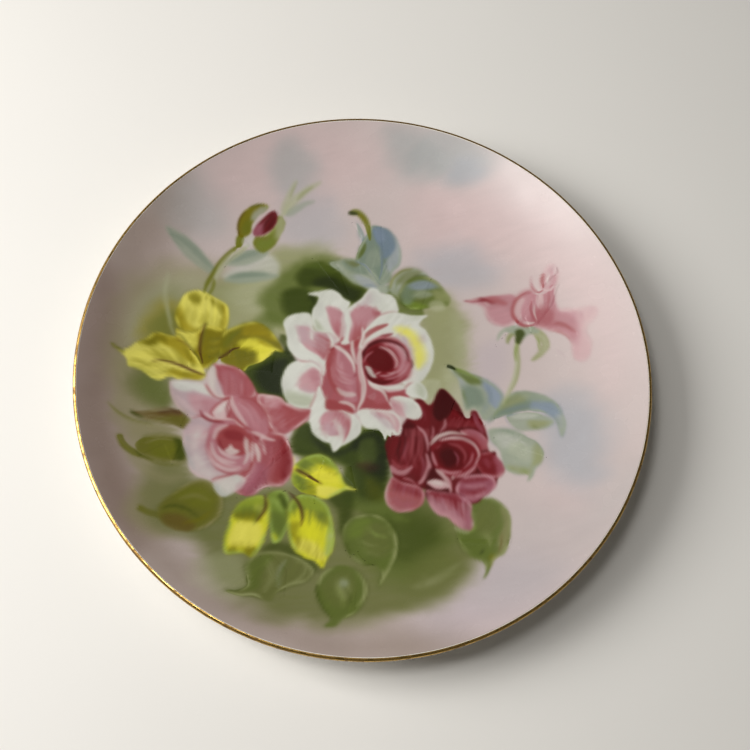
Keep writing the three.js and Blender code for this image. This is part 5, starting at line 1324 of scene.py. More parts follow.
OLIVE_LEAF_MARKS: dict[str, tuple[Mark, ...]] = {
    "slim_olive_leaf_enamel": (
        Stroke(Tint.KHAKI, 2.4, (-113.4, -35, -108, -38.8, -100, -41.4, -90, -41.6, -80, -40.6), 1.2, 0.85,
            0.3, 0.3),
        Stroke(Tint.OLIVE, 1, (-113.6, -34.8, -108, -38.4, -101, -40.4, -92, -40.6), 0.8, 0.6),
        Petal(Wash(Tint.BRONZE, (-103, -36.6, -98, -35.4, -92, -32.6, -86, -30.8, -80.6, -31.8, -76.6, -35,
            -77.4, -39.4, -84, -38.6, -92, -39.2, -98.6, -38.8), 0.9, 1, 15, 0.4), (
            Wash(Tint.OLIVE, (-94, -39, -84, -34, -77, -34, -78, -39.6, -88, -39), 2.4, 0.75, 15, 0.5),
            Stroke(Tint.UMBER, 2.4, (-92, -34, -86, -31.6, -81, -32.6), 1.6, 0.7),
            Stroke(Tint.KHAKI, 1.2, (-100, -37.6, -93, -36.4, -85, -35.8), 1, 0.6),
            Stroke(Tint.KHAKI, 0.8, (-92, -38.4, -85, -37.6, -79, -38), 0.7, 0.5))),
        Stroke(Tint.FOREST, 1.3, (-103.4, -36.4, -100, -37.6, -97, -38), 0.7, 0.8, 0.1, 0.5),
    ),
    "middle_olive_leaf_enamel": (
        Stroke(Tint.KHAKI, 6, (-102, -52, -94, -60, -82, -65, -74, -62), 4, 0.6),
        Stroke(Tint.OLIVE, 3, (-105.4, -48.6, -102.4, -53, -97.4, -55.6, -88, -57.4), 1, 0.95, 0.05, 0.5),
        Petal(Wash(Tint.OLIVE, (-97.4, -52, -95.6, -48, -91, -45, -84.6, -43.4, -78.4, -43.8, -76.4, -47.6,
            -74.6, -55, -81, -57, -89, -57, -95.6, -55), 0.9, 1, 30, 0.4), (
            Wash(Tint.LEAF_OLIVE, (-92, -50, -84, -46, -78, -48, -80, -54, -88, -55), 3.5, 0.55, 30, 0.6),
            Wash(Tint.FOREST, (-82, -44, -77, -45, -75, -55, -79, -56, -80, -49), 2.4, 0.7, 80, 0.4),
            Stroke(Tint.KHAKI, 1.2, (-94, -50.6, -88, -46.6, -82, -46), 1, 0.5),
            Stroke(Tint.LEAF_OLIVE, 1.4, (-90, -55.4, -84, -53.6, -80, -49.6), 1.2, 0.6))),
        Stroke(Tint.OLIVE, 1, (-92, -57.6, -84, -58.6, -76, -57), 0.8, 0.7),
    ),
    "curled_olive_leaf_enamel": (
        Stroke(Tint.OLIVE, 3, (-89.6, -80.4, -85, -82, -80, -82.4, -76, -82), 1.2, 0.9, 0.05, 0.4),
        Petal(Wash(Tint.OLIVE, (-81.6, -80, -80, -75.4, -76.4, -70.4, -71, -64.6, -65, -61.6, -58.4, -64.6,
            -54.6, -70, -54.4, -77, -58.6, -83.4, -65.6, -87, -73, -87.4, -79, -84.6), 1.4, 1, 40, 0.4), (
            Wash(Tint.LEAF_OLIVE, (-76, -72, -68, -66, -60, -68, -58, -75, -64, -76, -71, -74), 3.5, 0.6,
                30, 0.5),
            Wash(Tint.BRONZE, (-79, -82, -72, -80, -64, -84, -66, -88, -76, -87), 3, 0.7, 10, 0.5),
            Stroke(Tint.FOREST, 1.4, (-80, -79, -75, -76.6, -68, -77.4, -62, -81), 1, 0.6),
            Stroke(Tint.KHAKI, 2, (-74, -73, -67, -70, -60, -71.4), 1.6, 0.45),
            Stroke(Tint.GOLD_OLIVE, 1.6, (-70, -84, -63, -81, -58, -75), 1.4, 0.6))),
    ),
}

GREEN_LEAF_MARKS: dict[str, tuple[Mark, ...]] = {
    "left_green_leaf_enamel": (
        Petal(Wash(Tint.MIST_DEEP, (-45.6, -110.6, -40.6, -109.6, -36.6, -107, -37.6, -102.6, -39.2, -98,
            -36.6, -92.8, -31, -90, -24, -89.4, -16, -90.8, -9.4, -95, -11.6, -100.6, -18.6, -104, -23.4,
            -108, -25.6, -112.4, -33, -111, -39, -112), 1, 0.95, 60, 0.4), (
            Wash(Tint.MOSS, (-39, -98, -33, -92, -28, -92, -31, -100, -32, -108, -38, -108), 3, 0.8, 80,
                0.5),
            Stroke(Tint.FOREST, 1.5, (-36.6, -92, -39, -98, -36.6, -105, -40, -109.4, -45.4, -110.8), 0.9,
                0.75, 0.2, 0.3),
            Stroke(Tint.SAGE, 2.6, (-22, -92, -24, -98, -23, -106), 1.8, 0.4),
            Stroke(Tint.MIST, 3, (-30, -93, -27, -101, -29, -109), 2.4, 0.5, 0.2, 0.4, 0.7),
            Stroke(Tint.MOSS, 1, (-20, -91, -22.6, -97, -24, -105), 0.8, 0.6),
            Stroke(Tint.MIST, 1.2, (-14, -92, -13, -97, -18, -103), 1, 0.5))),
    ),
    "bottom_green_leaf_enamel": (
        Petal(Wash(Tint.MOSS, (-7, -101.6, -5.4, -96, -1, -92.4, 5, -91, 11, -93.6, 14.8, -99, 14.6, -105.6,
            11, -112, 6.4, -115.4, 3.4, -119, -0.8, -119.4, 1.2, -116, -3, -111.6, -6.2, -106.8), 0.9, 0.95,
            60, 0.4), (
            Wash(Tint.MIST_DEEP, (-5, -102, 0, -95, 6, -93, 10, -100, 6, -110, 0, -109), 3.5, 0.6, 60, 0.5),
            Wash(Tint.MIST, (1, -99, 5, -97, 8, -101, 6, -107, 3, -105), 3, 0.55, 60, 0.6),
            Wash(Tint.SAGE, (2.6, -98, 6, -97.6, 6.6, -100, 4, -101), 1.4, 0.6),
            Stroke(Tint.FOREST, 1.2, (-6.4, -99, -6.8, -104, -3, -111, 1.4, -115.6), 0.8, 0.7),
            Stroke(Tint.FOREST, 0.9, (4, -100, 7.6, -104, 9.6, -109), 0.7, 0.55),
            Stroke(Tint.SPRING, 0.9, (2, -101, 5, -106, 6, -111), 0.8, 0.4),
            Stroke(Tint.MIST, 1.3, (13.6, -97, 14.4, -103, 11.4, -109), 1, 0.6))),
    ),
    "centre_green_leaf_enamel": (
        Petal(Wash(Tint.MOSS, (0.6, -74, 3, -69, 8, -66.2, 15, -65.4, 21, -68.4, 25, -74, 26.2, -82, 24,
            -90, 20, -98.4, 20.6, -92.6, 18, -89, 12, -89.6, 6, -86.6, 2, -80.6), 0.9, 0.97, 30, 0.4), (
            Wash(Tint.FERN, (3, -76, 6, -69, 12, -68, 12, -74, 6, -78), 3, 0.45, 40, 0.5),
            Wash(Tint.MIST_DEEP, (10, -72, 18, -69, 23, -76, 22, -84, 14, -84), 4, 0.65, 30, 0.5),
            Stroke(Tint.FOREST, 1.4, (1, -72, 6, -67, 14, -66), 1, 0.8),
            Stroke(Tint.FOREST, 1.3, (2.4, -80, 6.6, -86.4, 12, -89.2, 18, -88.8), 0.9, 0.75),
            Stroke(Tint.SPRING, 1, (11.6, -71, 15, -74.4, 21, -75.4), 0.8, 0.5),
            Stroke(Tint.MIST, 1.4, (20, -68.6, 24, -74.6, 25, -82, 22, -92), 1.2, 0.6),
            Stroke(Tint.MIST, 1, (7, -77, 12, -79.6, 18, -80), 1, 0.4),
            Stroke(Tint.MIST, 1, (9, -81, 14, -83.6, 19, -84), 1, 0.4))),
    ),
    "right_green_leaf_enamel": (
        Petal(Wash(Tint.MOSS, (56, -55, 60.6, -51.4, 65.6, -50.4, 70.6, -52.6, 74.2, -56.6, 75.2, -63, 75,
            -70, 73, -76.4, 69.6, -78.6, 67.6, -83, 65, -88.4, 65.6, -84, 64, -81, 58.6, -79.4, 54, -74.6,
            51.8, -69, 52.4, -65.6, 57, -66, 57.6, -60), 0.9, 1, 60, 0.35), (
            Wash(Tint.MIST_DEEP, (60, -54, 67, -53, 70, -60, 66, -68, 60, -66), 3.5, 0.75, 60, 0.5),
            Wash(Tint.KHAKI, (70, -54, 74, -58, 75, -68, 72, -77, 70, -70, 72, -62), 2.4, 0.65, 80),
            Wash(Tint.MOSS, (54, -68, 60, -70, 68, -72, 66, -79, 58, -78), 3, 0.85, 30, 0.5),
            Stroke(Tint.MIST, 2, (62, -67, 66, -69.6, 67, -74), 1.6, 0.5),
            Stroke(Tint.SPRING, 2, (57.4, -62, 59, -65.4, 57, -68), 1.2, 0.55),
            Stroke(Tint.GOLD_OLIVE, 3, (66, -78, 69.6, -79, 67.6, -83.4), 1.8, 0.75),
            Stroke(Tint.BRONZE, 0.9, (71, -66, 71.6, -71, 70.4, -77), 0.7, 0.5),
            Wash(Tint.PITCH, (63, -76, 63.8, -75.8, 64, -77, 63.2, -77.2), 0.5, 0.8))),
        Stroke(Tint.MOSS, 1, (67, -82, 66.4, -85.6, 64.8, -89), 0.6, 0.8),
    ),
    "upper_green_leaf_enamel": (
        Petal(Wash(Tint.SAGE, (5.4, 49, 5.8, 53.6, 9, 58, 14, 60.8, 19.4, 60.4, 24, 57.6, 20, 52, 16, 46,
            12, 42, 9.6, 44.6, 7, 46), 1, 0.95, 60, 0.4), (
            Wash(Tint.MIST_DEEP, (8, 52, 12, 58.6, 20, 60, 18, 56, 13, 52), 2.6, 0.6, 50, 0.5),
            Stroke(Tint.OLIVE, 1.3, (5.6, 48, 6.4, 54, 10.6, 59, 16, 60.8), 0.8, 0.8),
            Stroke(Tint.MOSS, 0.8, (8.4, 48, 9, 52, 12, 56), 0.7, 0.4))),
        Petal(Wash(Tint.MOSS, (10.4, 47, 12, 51.6, 16, 56, 22, 57.6, 28, 55.8, 33, 51.4, 36, 47.4, 35, 43.6,
            30, 43, 25, 41, 19.6, 39.2, 14.6, 40, 11, 43), 1.2, 0.97, 30, 0.4), (
            Wash(Tint.FERN, (14, 44, 20, 43, 25, 42, 22, 39, 15, 39.6, 12, 42), 2.4, 0.8, 20, 0.5),
            Wash(Tint.SKY, (14, 51.6, 18, 54.6, 24, 55.6, 29, 53, 24, 50.4, 17, 49.6), 2.4, 0.85, 20, 0.5),
            Wash(Tint.SEA, (10.6, 48, 14, 52, 18, 47, 17, 41.6, 13, 41.6), 2.6, 0.75, 80, 0.5),
            Wash(Tint.SAGE, (18, 48.6, 23, 50.4, 27, 48.6, 23, 46, 18, 46), 2.4, 0.7, 20),
            Wash(Tint.MIST, (27, 51, 33, 50, 36, 46.6, 32, 45.6, 28, 47), 2.4, 0.75, 30),
            Stroke(Tint.SPRING, 1.4, (12.6, 42, 16.6, 39.8, 21.6, 40.8), 0.9, 0.5),
            Stroke(Tint.FOREST, 0.9, (10.6, 46.6, 12.6, 41.6, 17, 39.4), 0.7, 0.7))),
        Wash(Tint.MIST_PALE, (26, 44, 29, 46, 33, 45, 34, 41.6, 29, 40, 26, 41.6), 2.4, 0.7),
    ),
}

BLUE_LEAF_MARKS: dict[str, tuple[Mark, ...]] = {
    "blue_tip_leaf_enamel": (
        Petal(Wash(Tint.SAGE, (-25.6, 57, -21, 59.4, -15, 61.4, -9, 60, -3, 54, 2, 50, 6, 50, 5, 46, -2, 46,
            -8, 47.4, -14, 49.4, -19.6, 53), 1.2, 0.97, 20, 0.4), (
            Wash(Tint.SEA, (-20, 59.4, -14, 61.4, -9.4, 60, -6, 55, -12, 54, -17, 56), 2, 0.75, 160, 0.5),
            Wash(Tint.MIST_DEEP, (-19, 60, -14, 61.6, -10.6, 60, -13, 57), 1.8, 0.7),
            Wash(Tint.HAZE_BLUE, (-14, 53, -8, 53, -2, 50, 0, 46, -8, 47.6), 2, 0.7, 160),
            Stroke(Tint.PEARL, 0.9, (-22.6, 57.6, -18.6, 54.4, -15, 50.6), 0.7, 0.7),
            Stroke(Tint.SEA, 0.7, (-21.4, 55.6, -18, 52.6), 0.6, 0.6),
            Stroke(Tint.SEA, 0.7, (-9, 55.6, -6, 54, -4, 53), 0.6, 0.6),
            Stroke(Tint.SLATE, 0.8, (-8, 48, -4, 48.8, -0.6, 48), 0.6, 0.6))),
        Petal(Wash(Tint.HAZE_BLUE, (-15.8, 80.6, -13.4, 78.6, -10.6, 73.6, -10.4, 70.4, -12.6, 72.6, -14.6,
            76.6), 0.7, 0.9, 110), (
            Stroke(Tint.SKY, 1.6, (-14.6, 79, -11.6, 74), 1, 0.7),)),
        Petal(Wash(Tint.SEA, (-13, 61, -13, 65.4, -11.4, 70.6, -8.8, 77, -7.6, 80.4, -2.4, 80.2, 2.6, 78.4,
            6.6, 73.4, 9, 67, 8.6, 61.4, 6, 57.6, 5, 52, 1, 50, -3, 54, -8, 59.4), 0.8, 1, 100, 0.35), (
            Wash(Tint.HAZE_BLUE, (2, 79, 6.6, 74, 9.4, 66, 8.4, 60, 5, 56.6, 1.6, 58, 3, 66, 5, 72), 2, 0.8,
                110, 0.4),
            Wash(Tint.SLATE, (-7.4, 79, -2, 80.4, 3, 77, 5.4, 71, 3.4, 66, 0.4, 64, -1.6, 69, -5, 73), 1.8,
                0.95, 110, 0.4),
            Wash(Tint.SKY, (-6, 78, -3, 79, 0, 74, -3, 72.4), 2, 0.4, 110, 0.6),
            Wash(Tint.SAGE, (-7, 67, -2, 67, -1, 60, -5, 58, -8, 61), 3, 0.55, 90, 0.5),
            Wash(Tint.MOSS, (-13.4, 61, -13, 67, -10.6, 71, -9, 68, -11, 63), 1.4, 0.85, 80),
            Wash(Tint.SAGE, (1, 60, 4, 58, 5, 52, 1.6, 50, 0, 54), 2, 0.7, 90),
            Stroke(Tint.SLATE, 1.1, (-2.4, 69, -0.4, 63, 0.4, 57, -0.6, 51), 0.7, 0.75),
            Stroke(Tint.SEA, 1, (3, 62, 1.6, 57.4, 0.6, 53), 0.7, 0.6),
            Stroke(Tint.SAGE, 0.7, (-5, 70, -2.4, 65, -0.6, 60), 0.6, 0.5))),
        Stroke(Tint.LEAF_OLIVE, 3.2, (-20.4, 84.6, -16, 85.6, -11.6, 82.4, -9, 77, -7.6, 72), 0.9, 0.95,
            0.12, 0.5),
        Stroke(Tint.GOLD_OLIVE, 1.6, (-17, 85.4, -13, 83.6, -10.4, 80), 1, 0.8),
        Stroke(Tint.PITCH, 1.9, (-20.6, 84.5, -18, 85, -15.4, 84.8), 0.6, 0.9, 0.15, 0.5),
    ),
    "inner_blue_leaf_enamel": (
        Petal(Wash(Tint.SAGE, (38.6, 12.6, 42, 12, 47, 10.9, 53, 9.4, 59, 7.6, 64, 4.4, 66.8, 0.4, 65.6, -6,
            62, -11, 59, -12.6, 56, -9, 53.4, -7, 50, -8.6, 48, -4, 46, 2, 45, 6, 42, 9), 0.9, 1, 120,
            0.35), (
            Wash(Tint.MOSS, (40, 12.6, 48, 11, 56, 9, 56, 6, 51, 4.6, 47, 7, 43, 9.6), 1.8, 0.85, 160, 0.5),
            Wash(Tint.SKY, (56, 8.6, 63, 5.6, 67, 0, 65, -6, 61, -4, 59, 1, 56.6, 4), 2.2, 0.85, 110, 0.4),
            Wash(Tint.SEA, (47, 3, 51, 4, 56, 2, 58, -4, 54, -6.6, 50, -8, 48, -3), 3, 0.8, 110, 0.5),
            Wash(Tint.HAZE_BLUE, (44, 7, 47, 5.6, 47.4, 1, 45.4, 3), 1.4, 0.8),
            Stroke(Tint.SLATE, 1.6, (58, 6, 60.6, 0, 59, -6, 57, -10), 1.4, 0.5, 0.3, 0.3, 0.7),
            Stroke(Tint.MOSS, 0.9, (46.6, 4, 48, -1.4, 50, -6.6), 0.6, 0.7))),
        Stroke(Tint.FERN, 1.8, (41, 11.8, 48, 10, 54, 7.6), 1.2, 0.7),
        Stroke(Tint.PITCH, 1.7, (38.2, 12.4, 40.6, 12, 43, 11), 0.7, 0.9, 0.1, 0.5),
    ),
    "outer_blue_leaf_enamel": (
        Petal(Wash(Tint.SAGE, (69, -9, 74, -7, 80, -6, 86, -7, 91, -9.6, 88, -13, 82, -14.8, 76, -15.6, 72,
            -13.6), 1, 0.95, 10, 0.4), (
            Wash(Tint.MIST, (79, -10.6, 84, -9.6, 90, -10, 86, -13.6, 81, -14), 1.8, 0.8, 10),
            Wash(Tint.PEARL, (70, -9, 76, -7, 84, -7, 80, -9, 73, -10), 1.8, 0.5),
            Stroke(Tint.MOSS, 0.8, (81, -12, 83, -13.4, 84.6, -14), 0.5, 0.6))),
        Petal(Wash(Tint.SEA, (60.6, -13.6, 64, -8, 66, -3, 69, 1.6, 74, 4.2, 80.6, 4.2, 87, 2.6, 91.8, -0.6,
            94.8, -5.4, 96.6, -11, 95, -16.8, 93.4, -13, 91.8, -9, 87, -6, 81, -5.2, 75, -6, 70.4, -8, 65,
            -10.6), 0.9, 1, 20, 0.35), (
            Wash(Tint.MIST, (64, -6, 68, 1, 74, 3.6, 79, 3.6, 78, 0, 72, -3, 67, -6), 2.4, 0.75, 30, 0.5),
            Wash(Tint.SAGE, (74, 4, 84, 3.6, 89, 1, 84, -0.6, 76, 1), 2, 0.7, 0),
            Wash(Tint.SKY, (80, -1, 87, 0, 92, -1, 95, -7, 91, -8, 85, -5.4, 80, -5), 2.2, 0.85, 160, 0.4),
            Wash(Tint.HAZE, (92, -6, 96, -7, 96.6, -13, 94.6, -16.6, 93, -11), 1.6, 0.8, 110),
            Stroke(Tint.FERN, 1.4, (62, -11, 66.6, -4, 69.4, 1), 1, 0.6),
            Stroke(Tint.SLATE, 1, (68, -7, 76, -3.6, 84, -3), 1, 0.5))),
    ),
    "pale_green_leaf_enamel": (
        Petal(Wash(Tint.SAGE, (61.6, -17, 65, -15.6, 71, -15.2, 76, -16.6, 80, -18.8, 84, -20.4, 87.4, -25,
            87, -30, 84.4, -34, 83.4, -38, 81, -40.4, 81.6, -37.2, 76.6, -37.4, 71, -35.6, 69, -31, 67, -26,
            63, -22), 1.2, 0.97, 30, 0.4), (
            Wash(Tint.PEARL, (64, -19, 70, -18, 76, -20, 74, -24, 68, -25), 3, 0.6, 30, 0.4),
            Wash(Tint.CELADON, (72, -22, 80, -22, 83, -28, 78, -32, 72, -29), 3.5, 0.7, 30, 0.5),
            Wash(Tint.MIST, (83, -21.4, 87, -25, 86.6, -31, 83, -33, 83, -27), 2, 0.8, 90),
            Wash(Tint.MIST, (70, -34, 76, -33.6, 83, -35, 82, -38, 75, -37.6), 2, 0.75, 10),
            Stroke(Tint.SEA, 1.2, (64, -17, 70, -16.4, 76, -18.6), 1, 0.6),
            Stroke(Tint.PEARL, 0.9, (70, -20, 78, -21.6, 82.6, -26.6), 0.8, 0.6),
            Stroke(Tint.SEA, 0.8, (70.6, -28, 76, -30, 80.6, -34.6), 0.7, 0.5),
            Stroke(Tint.FERN, 1, (77, -35, 80.6, -36.6, 82, -39.4), 0.7, 0.6))),
    ),
}


def paint_all(canvas: Canvas) -> None:
    """Paints the whole decoration, from the ground up to the white rose.

    Args:
        canvas: the blank canvas.
    """
    canvas.colour[:] = np.array(Tint.GROUND.value) / 255
    canvas.clip = np.ones_like(canvas.relief)
    shades = UPPER_SHADE_MARKS + LEFT_SHADE_MARKS + CENTRE_SHADE_MARKS
    for marks, reach in ((GROUND_MARKS, 6), (shades, 2.5)):
        canvas.paint(marks)
        canvas.drag((slice(None), slice(None)), 20, reach)
    canvas.clip = None
    canvas.paint(GHOST_MARKS)
    for marks, canvas.rim, canvas.shadow, canvas.heart in (
            *((leaf, Tint.SAGE, Tint.SLATE, None) for leaf in BLUE_LEAF_MARKS.values()),
            *((leaf, Tint.MIST, Tint.FOREST, None) for leaf in GREEN_LEAF_MARKS.values()),
            *((leaf, Tint.KHAKI, Tint.FOREST, None) for leaf in OLIVE_LEAF_MARKS.values()),
            (LOWER_YELLOW_MARKS, Tint.SPRING, Tint.OLIVE, None),
            (UPPER_YELLOW_MARKS, Tint.BUTTER, Tint.OLIVE, None),
            (ROSEBUD_MARKS, None, None, None),
            (SIDE_ROSE_MARKS, Tint.SHELL, Tint.ROSE, None),
            (PINK_ROSE_MARKS, Tint.SHELL, Tint.BRICK, (-57.0, -37.0)),
            (CRIMSON_ROSE_MARKS, Tint.BLUSH, Tint.OXBLOOD, (46.0, -34.0)),
            (WHITE_ROSE_MARKS, Tint.WHITE, Tint.ROSE_DEEP, (2.0, 6.0))):
        canvas.wet[:] = 0
        canvas.paint(marks)


# The material slot of each enamel node.
SLOTS: dict[str, str] = {
    "white_rose_enamel": "white_rose",
    "crimson_rose_enamel": "crimson_rose",
    "pink_rose_enamel": "pink_rose",
    "side_rose_enamel": "side_rose",
    "rosebud_enamel": "rosebud",
    **dict.fromkeys(("upper_yellow_leaves_enamel", "lower_yellow_leaves_enamel"), "yellow_leaf"),
    **dict.fromkeys(("dark_upper_leaf_enamel", "dark_left_leaf_enamel"), "dark_leaf"),
    "dark_centre_leaves_enamel": "dark_leaf",
    **dict.fromkeys(OLIVE_LEAF_MARKS, "olive_leaf"),
    **dict.fromkeys(GREEN_LEAF_MARKS, "green_leaf"),
    **dict.fromkeys(BLUE_LEAF_MARKS, "blue_leaf"),
}


# ---------------------------------------------------------------------------------------- the blank


@dataclass(frozen=True)
class Coupe:
    """The plate's blank in millimetres: a flat well, one sweep up to a thin rounded lip, a foot ring."""

    radius: float = 133.0
    height: float = 26.0
    well_radius: float = 40.0
    well_height: float = 7.0
    lip_slope: float = math.radians(25)
    wall_centre: float = 4.2
    wall_lip: float = 2.2
    foot_outer: float = 78.4
    foot_inner: float = 75.2
    foot_flare: float = 2.6
    glaze_line: float = 1.0
    glaze: float = 0.3
    clearance: float = 0.05
    ground: float = 0.2
    gold: float = 0.17
    foot_bend: float = 1.2
    foot_tuck: float = 0.9

    @property
    def nose(self) -> tuple[float, float]:
        """Radius and height of the middle of the lip's half circle."""
        return self.radius - self.wall_lip / 2, self.height - self.wall_lip / 2

    def face(self, radius: np.ndarray | float) -> np.ndarray:
        """Height of the glazed face.

        Args:
            radius: distances from the plate's axis.

        Returns:
            The heights, in millimetres.
        """
        width = self.nose[0] - self.well_radius
        rise = self.nose[1] + self.wall_lip / 2 / math.cos(self.lip_slope) - self.well_height
        power = math.tan(self.lip_slope) * width / rise
        sweep = np.maximum(0, (np.asarray(radius) - self.well_radius) / width)
        return self.well_height + rise * sweep**power

    def back(self, radius: np.ndarray) -> np.ndarray:
        """Height of the glazed back, whose wall thins towards the lip.

        Args:
            radius: distances from the plate's axis.

        Returns:
            The heights, in millimetres.
        """
        slope = np.arctan(self.face(radius + 0.5) - self.face(radius - 0.5))
        wall = self.wall_centre + (self.wall_lip - self.wall_centre) * radius / self.radius
        return self.face(radius) - wall / np.cos(slope)

    def over_the_lip(self, steps: int) -> np.ndarray:
        """The lip's half circle, from the face round to the back.

        Args:
            steps: how many straight pieces it has.

        Returns:
            Rows of radius and height.
        """
        angle = math.pi / 2 + self.lip_slope - np.linspace(0, math.pi, steps + 1)
        return np.stack([self.nose[0] + self.wall_lip / 2 * np.cos(angle),
                         self.nose[1] + self.wall_lip / 2 * np.sin(angle)], axis=1)

    def outside(self) -> np.ndarray:
        """The finished surface from the middle of the face, over the lip, down to the foot's glaze line.

        Returns:
            Rows of radius and height.
        """
        well = np.linspace(0, self.well_radius, 6)
        sweep = np.linspace(self.well_radius, self.nose[0], 60)[1:-1]
        over = np.concatenate([well, sweep])
        over = np.stack([over, self.face(over)], axis=1)
        root = self.foot_outer + self.foot_flare
        under = np.linspace(self.nose[0], root + self.foot_bend, 40)[1:]
        under = np.stack([under, self.back(under)], axis=1)
        turn = ease_between(under[-1], np.array([self.foot_outer + self.glaze, self.glaze_line]),
                            np.array([root - self.foot_tuck, under[-1][1] - 0.4]))
        return np.concatenate([over, self.over_the_lip(16), under[1:], turn[1:]])

    def underside(self) -> np.ndarray:
        """The finished surface from the inside of the foot ring in to the middle of the back.

        Returns:
            Rows of radius and height.
        """
        root = self.foot_inner - self.foot_flare
        flat = np.linspace(root - self.foot_bend, 0, 24)
        flat = np.stack([flat, self.back(flat)], axis=1)
        turn = ease_between(np.array([self.foot_inner - self.glaze, self.glaze_line]), flat[0],
                            np.array([root + self.foot_tuck, flat[0][1] - 0.3]))
        return np.concatenate([turn[:-1], flat])


def ease_between(start: np.ndarray, end: np.ndarray, corner: np.ndarray, steps: int = 10) -> np.ndarray:
    """A smooth turn from one point to another, pulled towards a corner.

    Args:
        start: radius and height where it starts.
        end: where it ends.
        corner: what it bends towards.
        steps: how many straight pieces it has.

    Returns:
        Rows of radius and height.
    """
    t = np.linspace(0, 1, steps + 1)[:, None]
    return (1 - t) ** 2 * start + 2 * t * (1 - t) * corner + t ** 2 * end


def moved_out(path: np.ndarray, distance: float) -> np.ndarray:
    """A path moved square to itself, out of the clay, and straight up or down where it meets the axis.

    Args:
        path: rows of radius and height.
        distance: how far, in millimetres.

    Returns:
        The moved rows.
    """
    along = np.gradient(path, axis=0)
    for end in (0, -1):
        if path[end, 0] == 0:
            along[end, 1] = 0
    along /= np.linalg.norm(along, axis=1, keepdims=True)
    return path + distance * np.stack([-along[:, 1], along[:, 0]], axis=1)


def coat(path: np.ndarray, inner: float, outer: float) -> np.ndarray:
    """The closed cross-section of a coat of even thickness over a path.

    Args:
        path: rows of radius and height.
        inner: how far the coat's inner face is out of the path.
        outer: how far its outer face is.

    Returns:
        Rows of radius and height that end where they start, or on the axis.
    """
    skin = np.concatenate([moved_out(path, outer), moved_out(path, inner)[::-1]])
    return skin if path[0, 0] == 0 else np.concatenate([skin, skin[:1]])


# ---------------------------------------------------------------------------------- shader groups


def linear(display: np.ndarray | Sequence[float]) -> np.ndarray:
    """Colours as light, from how they look on a screen.

    Args:
        display: values from 0 to 1.

    Returns:
        Linear values from 0 to 1.
    """
    value = np.clip(np.asarray(display, np.float32), 0, 1)
    return np.where(value <= 0.04045, value / 12.92, ((value + 0.055) / 1.055) ** 2.4)


def for_socket(tone: Sequence[float]) -> tuple[float, ...]:
    """A colour as a socket takes it.

    Args:
        tone: red, green and blue as they look, 0 to 255.

    Returns:
        Linear red, green and blue, and full cover.
    """
    return (*linear(np.array(tone) / 255), 1)


def shader_group(name: str, inputs: dict[str, tuple[str, object]],
                 outputs: Sequence[tuple[str, str]]) -> bpy.types.NodeTree:
    """An empty shader node group with its sockets.

    Args:
        name: what it is called.
        inputs: socket type and default of each input.
        outputs: name and socket type of each output.

    Returns:
        The node group.
    """
    tree = bpy.data.node_groups.new(name, "ShaderNodeTree")
    for label, (kind, default) in inputs.items():
        tree.interface.new_socket(label, in_out="INPUT", socket_type=kind).default_value = default
    for label, kind in outputs:
        tree.interface.new_socket(label, in_out="OUTPUT", socket_type=kind)
    return tree


class Wiring:
    """Places nodes in a tree and joins them."""

    def __init__(self, tree: bpy.types.NodeTree) -> None:
        """Args: tree: where the nodes go."""
        self.tree = tree

    def node(self, kind: str, settings: dict[str, object] | None = None, **inputs: object) -> bpy.types.Node:
        """A new node with its inputs filled in.

        Args:
            kind: the node's type.
            settings: properties of the node.
            **inputs: a value or a socket for each input, by name or, as i0, i1, by number.

        Returns:
            The node.
        """
        made = self.tree.nodes.new(kind)
        for key, value in (settings or {}).items():
            setattr(made, key, value)
        for key, value in inputs.items():
            numbered = key[0] == "i" and key[1:].isdigit()
            socket = made.inputs[int(key[1:]) if numbered else key.replace("_", " ")]
            if isinstance(value, bpy.types.NodeSocket):
                self.tree.links.new(value, socket)
            else:
                socket.default_value = value
        return made

    def math(self, operation: str, *values: object) -> bpy.types.NodeSocket:
        """The result of a sum on numbers or sockets.

        Args:
            operation: the Math node's operation.
            *values: its inputs in order.

        Returns:
            The socket of the result.
        """
        inputs = {f"i{i}": value for i, value in enumerate(values)}
        return self.node("ShaderNodeMath", {"operation": operation}, **inputs).outputs[0]

    def between(self, mask: object, low: object, high: object) -> bpy.types.NodeSocket:
        """A number that runs from one value to another with a mask.

        Args:
            mask: from 0 to 1.
            low: the value at 0.
            high: the value at 1.

        Returns:
            The socket of the result.
        """
        return self.math("ADD", self.math("MULTIPLY", mask, self.math("SUBTRACT", high, low)), low)

    def blend(self, mask: object, low: object, high: object) -> bpy.types.NodeSocket:
        """A colour that runs from one value to another with a mask.

        Args:
            mask: from 0 to 1.
            low: the colour at 0.
            high: the colour at 1.

        Returns:
            The socket of the result.
        """
        return self.node("ShaderNodeMix", {"data_type": "RGBA"}, i0=mask, i6=low, i7=high).outputs[2]

    def noise(self, place: bpy.types.NodeSocket, scale: object, detail: float,
              roughness: float = 0.5) -> bpy.types.NodeSocket:
        """Soft noise.

        Args:
            place: where it is read.
            scale: bumps for each metre.
            detail: how many finer layers it has.
            roughness: how strong the finer layers are.

        Returns:
            The socket of the noise, 0 to 1.
        """
        return self.node("ShaderNodeTexNoise", Vector=place, Scale=scale, Detail=detail,
                         Roughness=roughness).outputs[0]

    def place(self) -> bpy.types.NodeSocket:
        """The socket of the place on the piece, in metres."""
        return self.node("ShaderNodeTexCoord").outputs["Object"]


